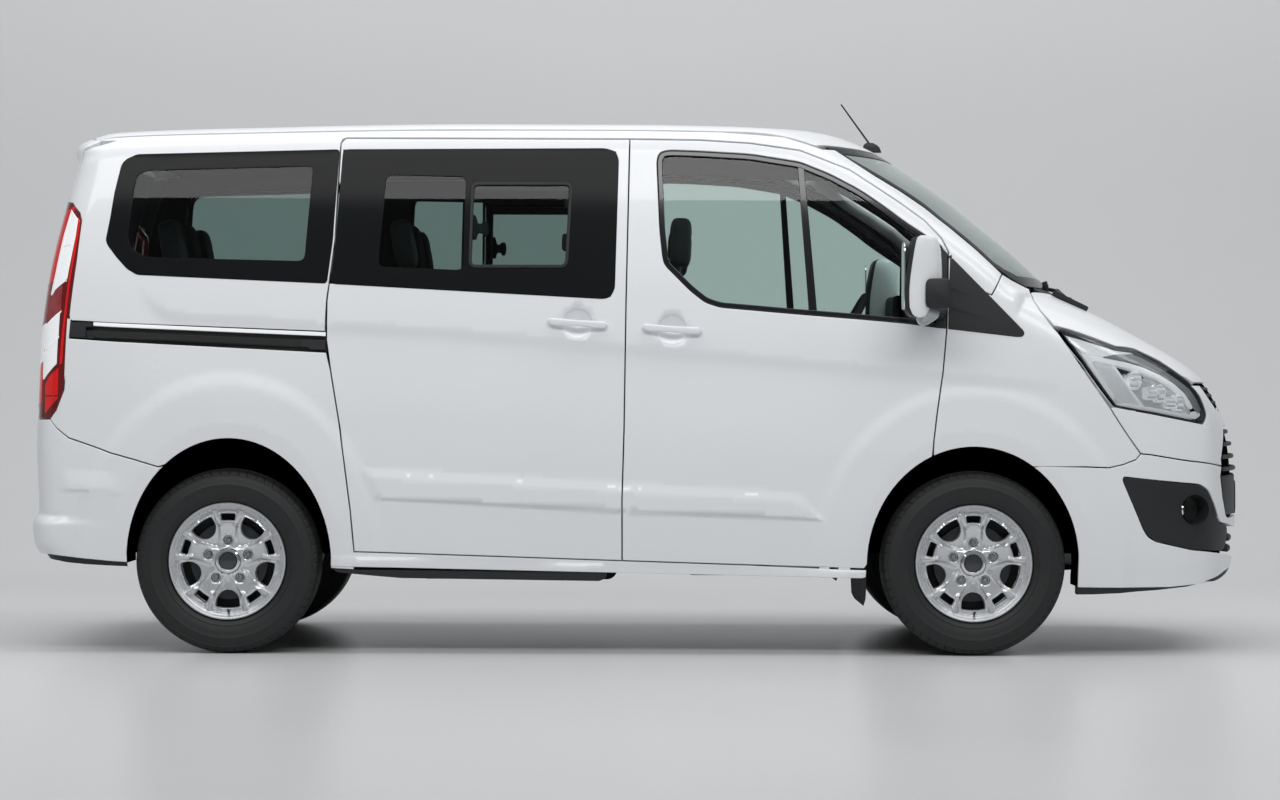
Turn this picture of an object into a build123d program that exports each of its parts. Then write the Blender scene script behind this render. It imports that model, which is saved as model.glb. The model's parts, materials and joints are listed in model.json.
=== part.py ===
from build123d import *
import os
from math import hypot, sqrt

# ---- driving sizes, mm: X forward, Y to the left, Z up, ground at zero
REAR_AXLE_X = -1600
WHEELBASE = 2880
FRONT_AXLE_X = REAR_AXLE_X + WHEELBASE
TYRE_R = 356
TYRE_W = 232
RIM_R = 226
TRACK_HALF = 850
HUB_Z = TYRE_R
SPINDLE_R = 30
RUNNING_FIT = 0.05
KINGPIN_Y = 752
KINGPIN_R = 14
DOOR_GAP = 6
SKIN = 15
FLANGE_DEPTH = 21
WALL = 62
DOOR_DEPTH = 74
SHEET = 25
ROOF = 34
REST_GAP = 0.3
GLASS = 5
ROOF_EDGE_Y = 735
SCREEN_AXIS_X = -150
SCREEN_TOP_R = 1130
SCREEN_BASE_R = 1820
BONNET_BACK_R = 1852
TAIL_AXIS_X = 3500
FLOOR_Z = 560
FLOOR_T = 40
TOW_SOCKET_R = 10
WHEELHOUSE_R = 446


def outline(rows):
    """Face in the local XY plane; a row is a point, or (via point, end point) for an arc."""
    edges = []
    here = rows[0]
    for row in rows[1:] + [rows[0]]:
        if isinstance(row[0], tuple):
            edges.append(ThreePointArc(here, row[0], row[1]))
            here = row[1]
        elif hypot(row[0] - here[0], row[1] - here[1]) > 1e-6:
            edges.append(Line(here, row))
            here = row
    return make_face(edges)


def inset(rows, depth):
    """The same closed outline with every point moved inward by a mitred depth."""
    flat = []
    for row in rows:
        flat.extend(row if isinstance(row[0], tuple) else (row,))
    area = sum(a[0] * b[1] - b[0] * a[1] for a, b in zip(flat, flat[1:] + flat[:1]))
    side = 1 if area > 0 else -1
    moved = []
    for index, point in enumerate(flat):
        before = flat[index - 1]
        after = flat[(index + 1) % len(flat)]
        normals = []
        for a, b in ((before, point), (point, after)):
            length = hypot(b[0] - a[0], b[1] - a[1])
            normals.append((-(b[1] - a[1]) / length * side, (b[0] - a[0]) / length * side))
        (n1x, n1y), (n2x, n2y) = normals
        scale = depth / max(0.35, 1 + n1x * n2x + n1y * n2y)
        moved.append((point[0] + (n1x + n2x) * scale, point[1] + (n1y + n2y) * scale))
    result = []
    for row in rows:
        if isinstance(row[0], tuple):
            result.append((moved.pop(0), moved.pop(0)))
        else:
            result.append(moved.pop(0))
    return result


def side_prism(rows, y_near, y_far):
    """Side-view outline drawn through the width between two Y values."""
    plane = Plane(origin=(0, y_near, 0), x_dir=(1, 0, 0), z_dir=(0, -1, 0))
    return extrude(plane * outline(rows), amount=y_near - y_far)


def box(x0, x1, y0, y1, z0, z1):
    return Pos((x0 + x1) / 2, (y0 + y1) / 2, (z0 + z1) / 2) * Box(abs(x1 - x0), abs(y1 - y0), abs(z1 - z0))


def rod_y(x, z, radius, y0, y1):
    return Pos(x, (y0 + y1) / 2, z) * Rot(90, 0, 0) * Cylinder(radius, abs(y1 - y0))


def rod_z(x, y, radius, z0, z1):
    return Pos(x, y, (z0 + z1) / 2) * Cylinder(radius, abs(z1 - z0))


def ring(r0, r1, z0, z1):
    """Upright ring about the axis the windscreen bends round."""
    whole = rod_z(SCREEN_AXIS_X, 0, r1, z0, z1)
    return whole - rod_z(SCREEN_AXIS_X, 0, r0, z0 - 1, z1 + 1)


def flip(shape):
    return mirror(shape, Plane.XZ)


# ---- body envelope: end view, roof line, plan, and nose and tail turned about upright axes
END_VIEW = [
    (925, 180), (962, 420), ((983, 620), (990, 860)), ((984, 1160), (962, 1400)),
    ((913, 1690), (845, 1950)), ((790, 2030), (690, 2066)), ((350, 2091), (0, 2100)),
    ((-350, 2091), (-690, 2066)), ((-790, 2030), (-845, 1950)), ((-913, 1690), (-962, 1400)),
    ((-984, 1160), (-990, 860)), ((-983, 620), (-962, 420)), (-925, 180),
]
ROOF_LINE = [
    (-2460, 170), (2450, 170), (2450, 2000), (970, 2000), ((760, 2063), (480, 2090)),
    ((-300, 2104), (-1200, 2093)), ((-1800, 2079), (-2200, 2050)), (-2300, 2000), (-2460, 1990),
]
NOSE = [
    (-150, 150), (2360, 150), (2395, 300), (2418, 400), ((2427, 520), (2424, 660)),
    ((2405, 800), (2358, 940)), (2293, 1056), ((2185, 1168), (2063, 1240)),
    ((1880, 1334), (1668, 1428)), ((1346, 1725), (975, 1990)), (900, 2110), (-150, 2110),
]
TAIL = [
    (3500, 150), (-2340, 150), (-2372, 340), (-2424, 420), (-2428, 500), (-2404, 545),
    ((-2412, 800), (-2406, 1010)), ((-2398, 1210), (-2372, 1430)), (-2302, 1744),
    (-2269, 1915), (-2276, 1950), (-2258, 2000), (-2200, 2110), (3500, 2110),
]
PLAN_HALF = [(2440, 0), ((2410, 330), (2318, 650)), ((2200, 852), (1990, 935)),
             ((1640, 980), (1280, 990)), (-1950, 990), ((-2270, 975), (-2385, 840)), (-2440, 780), (-2440, 0)]
# bonnet crown in the plane square to the bonnet line
CROWN = [(-1100, 400), (-1100, -330), (-930, -150), ((-800, -66), (-620, -22)), ((-320, 1), (0, 8)),
         ((320, 1), (620, -22)), ((800, -66), (930, -150)), (1100, -330), (1100, 400)]


def envelope(depth):
    """Body form with its outer surface moved inward."""
    end = extrude(Plane.YZ.offset(-2500) * outline(inset(END_VIEW, depth)), amount=5000)
    form = end & side_prism(inset(ROOF_LINE, depth), 1100, -1100)
    nose_plane = Plane(origin=(0, 0, 0), x_dir=(1, 0, 0), z_dir=(0, -1, 0))
    nose = revolve(nose_plane * outline(clamp(inset(NOSE, depth), -150, 1)), Axis((SCREEN_AXIS_X, 0, 0), (0, 0, 1)), 360)
    tail = revolve(nose_plane * outline(clamp(inset(TAIL, depth), 3500, -1)), Axis((TAIL_AXIS_X, 0, 0), (0, 0, 1)), 360)
    half = extrude(outline(clamp_y(inset(PLAN_HALF, depth))), amount=2200)
    front_half = form & nose & box(SCREEN_AXIS_X, 2500, -1100, 1100, 100, 2150)
    rear_half = form & box(-2500, SCREEN_AXIS_X, -1100, 1100, 100, 2150) & tail
    form = (front_half + rear_half) & (half + flip(half))
    slope = Plane(origin=(1668, 0, 1428 - depth / 0.875), x_dir=(0, 1, 0), z_dir=(0.875, 0, -0.4845))
    above = extrude(slope * outline(CROWN), amount=1100)
    back = extrude(slope * outline(CROWN), amount=-260)
    return form - ((above + back) - rod_z(SCREEN_AXIS_X, 0, SCREEN_BASE_R, 0, 2500))


def clamp(rows, limit, sign):
    """Keep a turned outline on its own side of its axis, with its closing edge on the axis."""
    def fix(point):
        return (limit, point[1]) if abs(point[0] - limit) < 120 else point
    return [(fix(r[0]), fix(r[1])) if isinstance(r[0], tuple) else fix(r) for r in rows]


def clamp_y(rows):
    def fix(point):
        return (point[0], 0) if abs(point[1]) < 100 else point
    return [(fix(r[0]), fix(r[1])) if isinstance(r[0], tuple) else fix(r) for r in rows]



# ---- side-view outlines of the panels, X and Z
FRONT_ARCH = (1278, 351, 408, 454)
REAR_ARCH = (-1594, 351, 392, 477)
SCREEN_EDGE = [(700, 2003), (752, 1970), (905, 1865), (1002, 1806), (1100, 1740), (1198, 1659),
               (1296, 1573), (1363, 1503), (1433, 1457), (1512, 1424)]
FRONT_DOOR = [(-53, 2000), (220, 1997), (415, 1985), (609, 1957), (802, 1882), (994, 1753), (1089, 1683),
              (1154, 1613), (1181, 1558), (1175, 1411), (1170, 1256), (1155, 1083), (1135, 949),
              (1121, 833), (1117, 745), (1117, 330), (-77, 362), (-78, 598), (-71, 867), (-65, 1368)]
SLIDING_DOOR = [(-1167, 1996), (-1190, 1597), (-1210, 1430), (-1219, 1300), (-1219, 1210), (-1202, 1094),
                (-1163, 864), (-1124, 556), (-1110, 394), (-77, 362), (-78, 598), (-71, 867),
                (-65, 1368), (-53, 2000)]
FRONT_WINDOW = [(53, 1915), (64, 1947), (103, 1955), (220, 1951), (414, 1940), (608, 1909), (724, 1862),
                (840, 1800), (936, 1733), (1012, 1675), (1089, 1624), (1146, 1350), (1146, 1266),
                (1009, 1283), (836, 1298), (605, 1316), (297, 1342), (239, 1361), (181, 1407),
                (85, 1504), (77, 1531), (65, 1640)]
SLIDING_GLASS = [(-1160, 1950), (-149, 1958), (-110, 1946), (-99, 1915), (-112, 1414), (-127, 1383),
                 (-150, 1375), (-1196, 1429), (-1180, 1597)]
SLIDING_OPENING = [(-1080, 1843), (-273, 1827), (-289, 1491), (-1084, 1515)]
QUARTER_GLASS = [(-1187, 1950), (-1967, 1928), (-2009, 1908), (-2024, 1888), (-2061, 1672), (-2074, 1594),
                 (-2066, 1574), (-1990, 1485), (-1951, 1462), (-1216, 1431), (-1196, 1597)]
QUARTER_OPENING = [(-1278, 1891), (-1934, 1869), (-1971, 1837), (-1993, 1594), (-1981, 1563),
                   (-1922, 1524), (-1304, 1511)]
LAMP_FRONT_EDGE = [(-2285, 902), (-2258, 937), (-2228, 1014), (-2225, 1052), (-2219, 1206), (-2206, 1360),
                   (-2188, 1515), (-2173, 1671), (-2182, 1699), (-2215, 1738), (-2240, 1745)]
BUMPER_EDGE = [(-1862, 719), (-1950, 746), (-2085, 787), (-2208, 829), (-2258, 868), (-2285, 902)]
SIDE_PANEL = ([(-1300, 335), (-1300, 500), (-1862, 500)] + BUMPER_EDGE + LAMP_FRONT_EDGE[1:]
              + [(-2500, 1745), (-2500, 2120), (700, 2120)] + SCREEN_EDGE
              + [(1510, 1404), (1470, 1232), (1180, 1262), (1180, 288)])
HINGE_POST = [(1090, 700), (1240, 700), (1240, 1250), (1090, 1250)]
SCREEN = SCREEN_EDGE + [(1512, 1380), (1800, 1380), (1800, 2120), (700, 2120)]
WING = [(1176, 1258), (1470, 1230), (1510, 1402), (1517, 1373), (1536, 1335), (1586, 1266), (1800, 962),
        (1924, 782), (1905, 759), (1855, 740), (1802, 728), (1480, 733), (1480, 560), (1124, 560),
        (1124, 833), (1138, 949), (1158, 1083)]
HEADLAMP = [(1605, 1264), (1834, 1195), (1912, 1188), (2009, 1145), (2126, 1064), (2165, 1010),
            (2192, 944), (2193, 925), (2177, 897), (1971, 936), (1823, 962)]
FRONT_PANEL = [(1586, 1266), (1605, 1264), (1823, 962), (1971, 936), (2177, 897), (2193, 925), (2192, 944),
               (2165, 1010), (2135, 1052), (2480, 1052), (2480, 734), (2269, 732), (2112, 755),
               (1966, 778), (1924, 782), (1800, 962)]
BONNET = [(1510, 1404), (1517, 1373), (1536, 1335), (1586, 1266), (1605, 1264), (1834, 1195), (1912, 1188),
          (2009, 1145), (2126, 1064), (2140, 1052), (2500, 1052), (2500, 1620), (1500, 1620)]
FRONT_BUMPER = [(1480, 733), (1802, 728), (1855, 740), (1905, 759), (1924, 782), (1966, 778), (2112, 755),
                (2269, 732), (2480, 734), (2480, 300), (2300, 262), (2070, 233), (1850, 254), (1640, 264)]
FOG_PANEL = [(1858, 692), (2163, 662), (2202, 638), (2253, 533), (2269, 510), (2320, 498), (2320, 443),
             (2301, 396), (2144, 407), (1988, 442), (1956, 462), (1937, 493), (1854, 680)]
REAR_BUMPER = BUMPER_EDGE + [(-2500, 902), (-2500, 345), (-1955, 332), (-1900, 500)]
RAIL_SLOT = [(-2214, 1218), (-2206, 1279), (-1224, 1238), (-1224, 1168)]
MIRROR_SHELL = [(1025, 1608), (1074, 1612), (1116, 1604), (1131, 1559), (1136, 1452), (1128, 1370),
                (1085, 1302), (1037, 1299), (1007, 1311), (991, 1337), (987, 1406), (1000, 1510)]
MIRROR_FOOT = [(1040, 1300), (1168, 1330), (1168, 1440), (1060, 1425)]

DEPTHS = (0, 7, 8, SKIN, SKIN + REST_GAP, FLANGE_DEPTH, SHEET, SHEET + REST_GAP, ROOF, ROOF + REST_GAP, WALL,
          DOOR_DEPTH)
FORM = {depth: envelope(depth) for depth in DEPTHS}
NODES = {}


def skin(region, outer, inner):
    """The part of the body wall between two depths that lies in a region."""
    return (FORM[outer] & region) - FORM[inner]


def side(rows, near=-480, far=-1100):
    return side_prism(rows, near, far)


def arch(values, y0=-480, y1=-1100):
    x, z, half_width, height = values
    plane = Plane(origin=(x, y0, z), x_dir=(1, 0, 0), z_dir=(0, -1, 0))
    upper = extrude(plane * Ellipse(half_width, height), amount=y0 - y1)
    return upper + box(x - half_width, x + half_width, y0, y1, 60, z)


def pair(name, right):
    NODES[name + "_right"] = right
    NODES[name + "_left"] = flip(right)


def both(right):
    return right + flip(right)


def wide(shape):
    """A sharp box eased along its edges."""
    return fillet(shape.edges(), 22)


front_arch = arch(FRONT_ARCH)
rear_arch = arch(REAR_ARCH)
screen_cap = rod_z(SCREEN_AXIS_X, 0, SCREEN_TOP_R, 1500, 2200)

# ---- side panels, each with both door frames, the rear pillar and the windscreen pillar
outer = skin(side(SIDE_PANEL), 0, FLANGE_DEPTH)
outer -= side(inset(FRONT_DOOR, -3)) + side(inset(SLIDING_DOOR, -3)) + side(WING)
inner = skin(side(SIDE_PANEL), FLANGE_DEPTH, WALL)
inner -= side(inset(FRONT_DOOR, 20)) + side(inset(SLIDING_DOOR, 20)) + skin(side(WING), FLANGE_DEPTH, ROOF)
post = skin(side(HINGE_POST), ROOF, WALL) - side(inset(FRONT_DOOR, 20))
wall = outer + inner + post
wall -= rear_arch + front_arch
wall -= box(-2172, 712, -ROOF_EDGE_Y, 0, 1700, 2200)
wall -= box(-2500, -2171, -796, 0, 300, 2200)
wall -= screen_cap & box(0, 1200, -ROOF_EDGE_Y, 0, 1500, 2200)
wall -= skin(side(QUARTER_GLASS), 0, 8) + side(QUARTER_OPENING)
wall -= skin(side(RAIL_SLOT), 0, SHEET)
gate_frame = skin(box(-2500, -2172, -796, -766, 600, 1985), ROOF + REST_GAP, WALL)
wall += gate_frame
pair("side_panel", wall)
NODES["door_rails"] = both(skin(side(RAIL_SLOT), SKIN, FLANGE_DEPTH))
NODES["quarter_glass"] = both(skin(side(inset(QUARTER_GLASS, 0.3)), 0, 7))

# ---- roof, windscreen, cowl
roof = skin(box(-2172, 1000, -ROOF_EDGE_Y, ROOF_EDGE_Y, 1850, 2200), 0, ROOF)
roof &= box(-2300, SCREEN_AXIS_X, -900, 900, 1800, 2200) + rod_z(SCREEN_AXIS_X, 0, SCREEN_TOP_R - 0.3, 1700, 2200)
roof += skin(box(-2215, -2140, -700, 700, 1900, 2200), ROOF + REST_GAP, WALL)
roof += skin(box(-2160, -2140, -700, 700, 1900, 2200), ROOF - 9, WALL)
NODES["roof_panel"] = roof
SCREEN_ARC = [(1124, 1990), ((1496, 1725), (1818, 1428)), (1820, 1427), (1820, 1412), ((1491, 1719.8), (1119, 1984.6))]
screen_plane = Plane(origin=(SCREEN_AXIS_X, 0, 0), x_dir=(1, 0, 0), z_dir=(0, -1, 0))
screen_shell = revolve(screen_plane * outline(SCREEN_ARC), Axis((SCREEN_AXIS_X, 0, 0), (0, 0, 1)), 360)
screen_shell &= side_prism(inset(SCREEN, 0.3), 900, -900)
NODES["windscreen"] = screen_shell - rod_z(SCREEN_AXIS_X, 0, SCREEN_TOP_R, 1700, 2200)
cowl_ring = ring(SCREEN_BASE_R + 0.3, BONNET_BACK_R - 6, 1300, 1500)
NODES["cowl"] = skin(box(1400, 1800, -700, 700, 1300, 1500), 7, ROOF) & cowl_ring
rest_ring = ring(BONNET_BACK_R - 6.5, BONNET_BACK_R + 22, 1300, 1500)
NODES["cowl"] += skin(box(1400, 1800, -700, 700, 1300, 1500), SHEET + REST_GAP, ROOF) & rest_ring

# ---- bonnet, wings, nose and bumpers
NODES["bonnet"] = skin(side_prism(inset(BONNET, 6), 1100, -1100), 0, SHEET) & ring(BONNET_BACK_R, 2700, 900, 1500)
wing = skin(side(WING), 0, SHEET) - front_arch - side(inset(FRONT_DOOR, -3))
pair("front_wing", wing)
NODES["headlamps"] = both(skin(side(HEADLAMP), 0, WALL))
grille_cut = box(2200, 2500, -430, 430, 738, 884)
NODES["front_panel"] = skin(side_prism(FRONT_PANEL, 1100, -1100), 0, SHEET) - grille_cut
tow_hole = Pos(2400, -435, 505) * Rot(0, 90, 0) * Cylinder(24, 200)
nose_cuts = tow_hole + box(2200, 2500, -330, 330, 540, 664) + box(2100, 2500, -520, 520, 350, 470)
bumper = skin(side_prism(FRONT_BUMPER, 1100, -1100), 0, SHEET) - both(front_arch + side(FOG_PANEL)) - nose_cuts
NODES["front_bumper"] = bumper
trim = skin(box(2200, 2500, -430, 430, 738, 884), 8, SHEET)
trim -= box(2200, 2500, -410, 410, 752, 780) + box(2200, 2500, -410, 410, 797, 825) + box(2200, 2500, -410, 410, 842, 870)
NODES["grille"] = trim + skin(box(2100, 2500, -520, 520, 350, 470), 8, SHEET) - box(2100, 2500, -490, 490, 380, 440)
NODES["plate_bar"] = skin(box(2200, 2500, -330, 330, 540, 664), 0, SHEET)
fog = skin(side(FOG_PANEL), 7, SHEET)
NODES["fog_surrounds"] = both(fog)

rear = skin(side_prism(REAR_BUMPER, 1100, -1100), 0, SHEET) - box(-2500, -2000, -745, 745, 545, 950)
rear += FORM[SHEET] & box(-2450, -2330, -744, 744, 533, 545)
NODES["rear_bumper"] = rear - both(rear_arch)
lamp_region = side(LAMP_FRONT_EDGE + [(-2500, 1745), (-2500, 902)], -796, -1100)
NODES["tail_lamps"] = both(skin(lamp_region, 0, WALL))

# ---- tailgate
REAR_VIEW = [(-790, 2120), (790, 2120), (790, 908), (739, 908), (739, 551), (-739, 551), (-739, 908), (-790, 908)]
REAR_WINDOW = [(-700, 1470), (700, 1470), (660, 1915), (-660, 1915)]
tail_plane = Plane.YZ.offset(-2600)
gate_region = extrude(tail_plane * outline(REAR_VIEW), amount=2600 - 2178)
window_region = extrude(tail_plane * outline(REAR_WINDOW), amount=2600 - 2200)
NODES["tailgate"] = skin(gate_region, 0, ROOF) - window_region
NODES["tailgate_glass"] = skin(window_region, 7, SKIN)

# ---- doors
leaf = skin(side(inset(FRONT_DOOR, 3)), 0, SKIN) + skin(side(inset(FRONT_DOOR, 34)), SKIN, DOOR_DEPTH)
leaf -= front_arch + side(FRONT_WINDOW)
pair("front_door", leaf)
seal = skin(side(inset(FRONT_DOOR, 6)) - side(inset(FRONT_DOOR, 19)), SKIN + REST_GAP, FLANGE_DEPTH)
NODES["door_seals"] = both((seal - front_arch) & box(-200, 1300, -1100, 0, 300, 1230))
pair("front_door_glass", skin(side(FRONT_WINDOW), 8, SKIN) & side(FRONT_WINDOW))
leaf = skin(side(inset(SLIDING_DOOR, 3)), 0, SKIN) + skin(side(inset(SLIDING_DOOR, 26)), SKIN, DOOR_DEPTH)
leaf -= side(SLIDING_OPENING) + skin(side(SLIDING_GLASS), 0, 8)
rollers = box(-1000, -940, -930, -905, 350, 440) + box(-280, -220, -930, -905, 350, 440)
rollers += box(-1000, -940, -840, -815, 1950, 1990) + box(-280, -220, -840, -815, 1950, 1990)
leaf += (rollers & FORM[FLANGE_DEPTH]) - wall
pair("sliding_door", leaf)
NODES["sliding_door_glass"] = both(skin(side(inset(SLIDING_GLASS, 0.3)), 0, 7))
shell = fillet(side_prism(MIRROR_SHELL, -1030, -1208).edges().filter_by(Axis.Y, reverse=True), 14)
mirror_body = shell + side_prism(MIRROR_FOOT, -940, -1031)
pair("door_mirror", mirror_body - FORM[0] - FORM[0])

# ---- wheels and the parts that carry them
WHEELS = (("front_right", FRONT_AXLE_X, -1), ("front_left", FRONT_AXLE_X, 1),
          ("rear_right", REAR_AXLE_X, -1), ("rear_left", REAR_AXLE_X, 1))
TYRE_IN = TRACK_HALF - TYRE_W / 2
TYRE_OUT = TRACK_HALF + TYRE_W / 2


def turned(rows, x):
    """Right-hand wheel form: rows of (radius, distance outboard), turned about the hub line."""
    plane = Plane(origin=(x, 0, HUB_Z), x_dir=(0, 0, 1), z_dir=(-1, 0, 0))
    return revolve(plane * outline(rows), Axis((x, 0, HUB_Z), (0, 1, 0)), 360)


BARREL = [(198, TYRE_IN + 4), (RIM_R, TYRE_IN + 4), (RIM_R, TYRE_IN + 9), (207, TYRE_IN + 12),
          (207, TYRE_OUT - 12), (RIM_R, TYRE_OUT - 9), (RIM_R, TYRE_OUT - 4), (198, TYRE_OUT - 4)]
TREAD = [(207.3, TYRE_IN + 13), (226, TYRE_IN + 9.5), ((282, TYRE_IN - 1), (332, TYRE_IN + 10)),
         ((350, TYRE_IN + 20), (354, TYRE_IN + 38)), ((356, TRACK_HALF), (354, TYRE_OUT - 38)),
         ((350, TYRE_OUT - 20), (332, TYRE_OUT - 10)), ((282, TYRE_OUT + 1), (226, TYRE_OUT - 9.5)),
         (207.3, TYRE_OUT - 13)]
for name, x, hand in WHEELS:
    rim = turned(BARREL, x)
    rim += rod_y(x, HUB_Z, 80, 796, 940)
    rim += rod_y(x, HUB_Z, 150, 796, 818)
    spoke = Pos(x, 0, HUB_Z) * box(70, 201, 914, 942, -11, 11)
    for index in range(10):
        turn = (index // 2) * 72 + (13 if index % 2 else -13) + 90
        rim += Pos(x, 0, HUB_Z) * Rot(0, turn, 0) * Pos(-x, 0, -HUB_Z) * spoke
    rim -= rod_y(x, HUB_Z, SPINDLE_R + RUNNING_FIT, 700, 905)
    tyre = turned(TREAD, x)
    NODES["wheel_" + name] = rim if hand > 0 else flip(rim)
    NODES["tyre_" + name] = tyre if hand > 0 else flip(tyre)

knuckle = box(FRONT_AXLE_X - 30, FRONT_AXLE_X + 30, 722, 782, HUB_Z - 92, HUB_Z + 92)
knuckle += rod_y(FRONT_AXLE_X, HUB_Z, SPINDLE_R, 760, 900) + rod_y(FRONT_AXLE_X, HUB_Z, 62, 760, 788)
caliper = Pos(FRONT_AXLE_X, 0, HUB_Z) * box(-182, -92, 783, 834, -60, 60)
knuckle += caliper - rod_y(FRONT_AXLE_X, HUB_Z, 156, 789, 825)
knuckle += Pos(FRONT_AXLE_X, 0, HUB_Z) * box(-110, 0, 760, 788, -40, 40)
knuckle -= rod_z(FRONT_AXLE_X, KINGPIN_Y, KINGPIN_R + RUNNING_FIT, 200, 520)
NODES["knuckle_left"] = knuckle
NODES["knuckle_right"] = flip(knuckle)

arms = rod_z(FRONT_AXLE_X, KINGPIN_Y, KINGPIN_R, 212, 508)
arms += box(FRONT_AXLE_X - 34, FRONT_AXLE_X + 34, 380, 780, 212, 242)
arms += box(FRONT_AXLE_X - 30, FRONT_AXLE_X + 30, 470, 780, 472, 500)
arms += box(FRONT_AXLE_X - 60, FRONT_AXLE_X + 60, 400, 470, 212, 430)
arms = both(arms) + box(FRONT_AXLE_X - 60, FRONT_AXLE_X + 60, -401, 401, 212, 262)
NODES["front_subframe"] = arms

axle = rod_y(REAR_AXLE_X, HUB_Z, SPINDLE_R, -900, 900) + rod_y(REAR_AXLE_X, HUB_Z, 46, -780, 780)
axle += Pos(REAR_AXLE_X, 0, HUB_Z) * Sphere(128)
axle += both(rod_y(REAR_AXLE_X, HUB_Z, 70, 762, 788))
axle += both(box(REAR_AXLE_X - 620, REAR_AXLE_X + 620, 505, 565, 402, 426))
axle += both(box(REAR_AXLE_X - 60, REAR_AXLE_X + 60, 500, 570, 300, 402))
axle += both(box(REAR_AXLE_X - 620, REAR_AXLE_X - 590, 470, 565, 402, 480))
axle += both(box(REAR_AXLE_X + 590, REAR_AXLE_X + 620, 470, 565, 402, 480))
NODES["rear_axle"] = axle

# ---- floor, chassis and what hangs below it
floor = box(-2285, 1180, -872, 872, FLOOR_Z - FLOOR_T, FLOOR_Z)
floor += both(box(-1190, 780, 830, 876, 440, FLOOR_Z))
HOUSES = ((FRONT_AXLE_X, 474, 484, 876), (REAR_AXLE_X, 494, 690, 876))
houses = []
for x, radius, y_in, y_out in HOUSES:
    floor -= both(rod_y(x, HUB_Z, radius + 6, y_in - 6, y_out + 20))
    house = rod_y(x, HUB_Z, radius + 6, y_in - 6, y_out) - rod_y(x, HUB_Z, radius, y_in, y_out + 1)
    house &= box(x - 520, x + 520, 0, 1000, HUB_Z + 20, 1000)
    house -= box(x - 140, x + 140, y_in - 10, y_in + 10, 300, 620)
    houses.append(house)
for x in (-1100, -400):
    floor += both(box(x, x + 60, 850, 905, 338, 366) + box(x, x + 60, 845, 872, 365, 445)) - wall - flip(wall)
NODES["floor_pan"] = floor
NODES["wheelhouses"] = both(houses[0] + houses[1])
rails = both(box(-2275, 2240, 400, 470, 430, FLOOR_Z - FLOOR_T + 20))
for x in (-2200, -1100, -100, 800, 2200):
    rails += box(x - 40, x + 40, -470, 470, 440, FLOOR_Z - FLOOR_T + 1)
rails -= floor
rails -= Pos(2210, -435, 505) * Rot(0, 90, 0) * Cylinder(TOW_SOCKET_R, 62)
NODES["chassis_rails"] = rails
bulkhead = [(1180, 560), (1196, 560), (1196, 1244), (1640, 1368), (1634, 1384), (1180, 1258)]
house_space = both(rod_y(FRONT_AXLE_X, HUB_Z, 483, 475, 900))
NODES["bulkhead"] = (FORM[DOOR_DEPTH] & side_prism(bulkhead, 860, -860)) - house_space
NODES["engine_block"] = box(1330, 1880, -300, 300, 530, 960) + both(box(1500, 1600, 299, 410, 540, 580))
NODES["fuel_tank"] = fillet(box(-900, -100, -390, 390, 262, 440).edges().filter_by(Axis.Y), 40)
pipe = Pos(0, -600, 350) * Rot(0, 90, 0) * Cylinder(26, 1600)
pipe += Pos(440, -600, 350) * Rot(0, 90, 0) * Cylinder(75, 520)
NODES["exhaust"] = pipe + box(-700, -690, -606, -594, 372, 520) + box(440, 450, -606, -594, 420, 520)
step = box(-1190, -140, -960, -800, 284, 312) + box(-1020, -990, -870, -835, 311, 440)
NODES["side_steps"] = both(step + box(-230, -200, -870, -835, 311, 440))
NODES["mud_flaps"] = both(box(846, 854, 740, 868, 190, 365) + box(800.5, 854, 740, 868, 364, 376))
mast = Pos(891, 0, 2112) * Rot(0, -38, 0) * Cylinder(4, 246)
NODES["antenna"] = mast + (rod_z(958, 0, 15, 1975, 2026) - FORM[0])

# ---- cabin
def seat(x, y, width, floor_z=FLOOR_Z):
    """One seat: base, cushion, raked back and headrest."""
    half = width / 2
    base = box(x + 40, x + 420, y - half + 60, y + half - 60, floor_z, floor_z + 230)
    cushion = wide(box(x, x + 490, y - half, y + half, floor_z + 225, floor_z + 375))
    back = wide(box(-60, 60, -half, half, 0, 640))
    back = Pos(x + 10, y, floor_z + 300) * Rot(0, -14, 0) * back
    head = wide(box(-45, 45, -130, 130, 650, 850))
    head += box(-6, 6, -70, -58, 600, 680) + box(-6, 6, 58, 70, 600, 680)
    head = Pos(x + 10, y, floor_z + 300) * Rot(0, -10, 0) * head
    return base + cushion + back + head


NODES["front_seats"] = seat(120, -470, 520) + seat(120, 470, 520)
NODES["second_row_seats"] = seat(-830, -520, 450) + seat(-830, 0, 450) + seat(-830, 520, 450)
NODES["third_row_seats"] = seat(-1760, -440, 430) + seat(-1760, 0, 430) + seat(-1760, 440, 430)
DASH = [(930, 1010), (1180, 1010), (1180, 1258), (1560, 1363.5), (1500, 1402), (1180, 1345), (960, 1300), (905, 1230)]
NODES["dashboard"] = side_prism(DASH, 760, -760) & FORM[DOOR_DEPTH]
wheel_place = Pos(800, -470, 1235) * Rot(0, -62, 0)
steering = Torus(185, 15) + box(-185, 185, -14, 14, -8, 8) + Cylinder(52, 30) + Pos(0, 0, -90) * Cylinder(24, 170)
NODES["steering_wheel"] = (wheel_place * steering) - NODES["dashboard"]

for node, shape in NODES.items():
    export_step(Compound(children=list(shape.solids())) if len(shape.solids()) > 1 else shape.solids()[0], f"parts/{node}.step")
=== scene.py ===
"""Short passenger minibus on wheels: finishes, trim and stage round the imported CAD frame.

The body is one smooth form. Each panel is an outline laid on that form, cut to its gaps and
given a rolled edge. Trim, glass, lamps, wheels and cabin are added on the same form.
All sizes are metres, +X forward, +Y to the vehicle's left, +Z up.
"""

from __future__ import annotations

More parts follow.
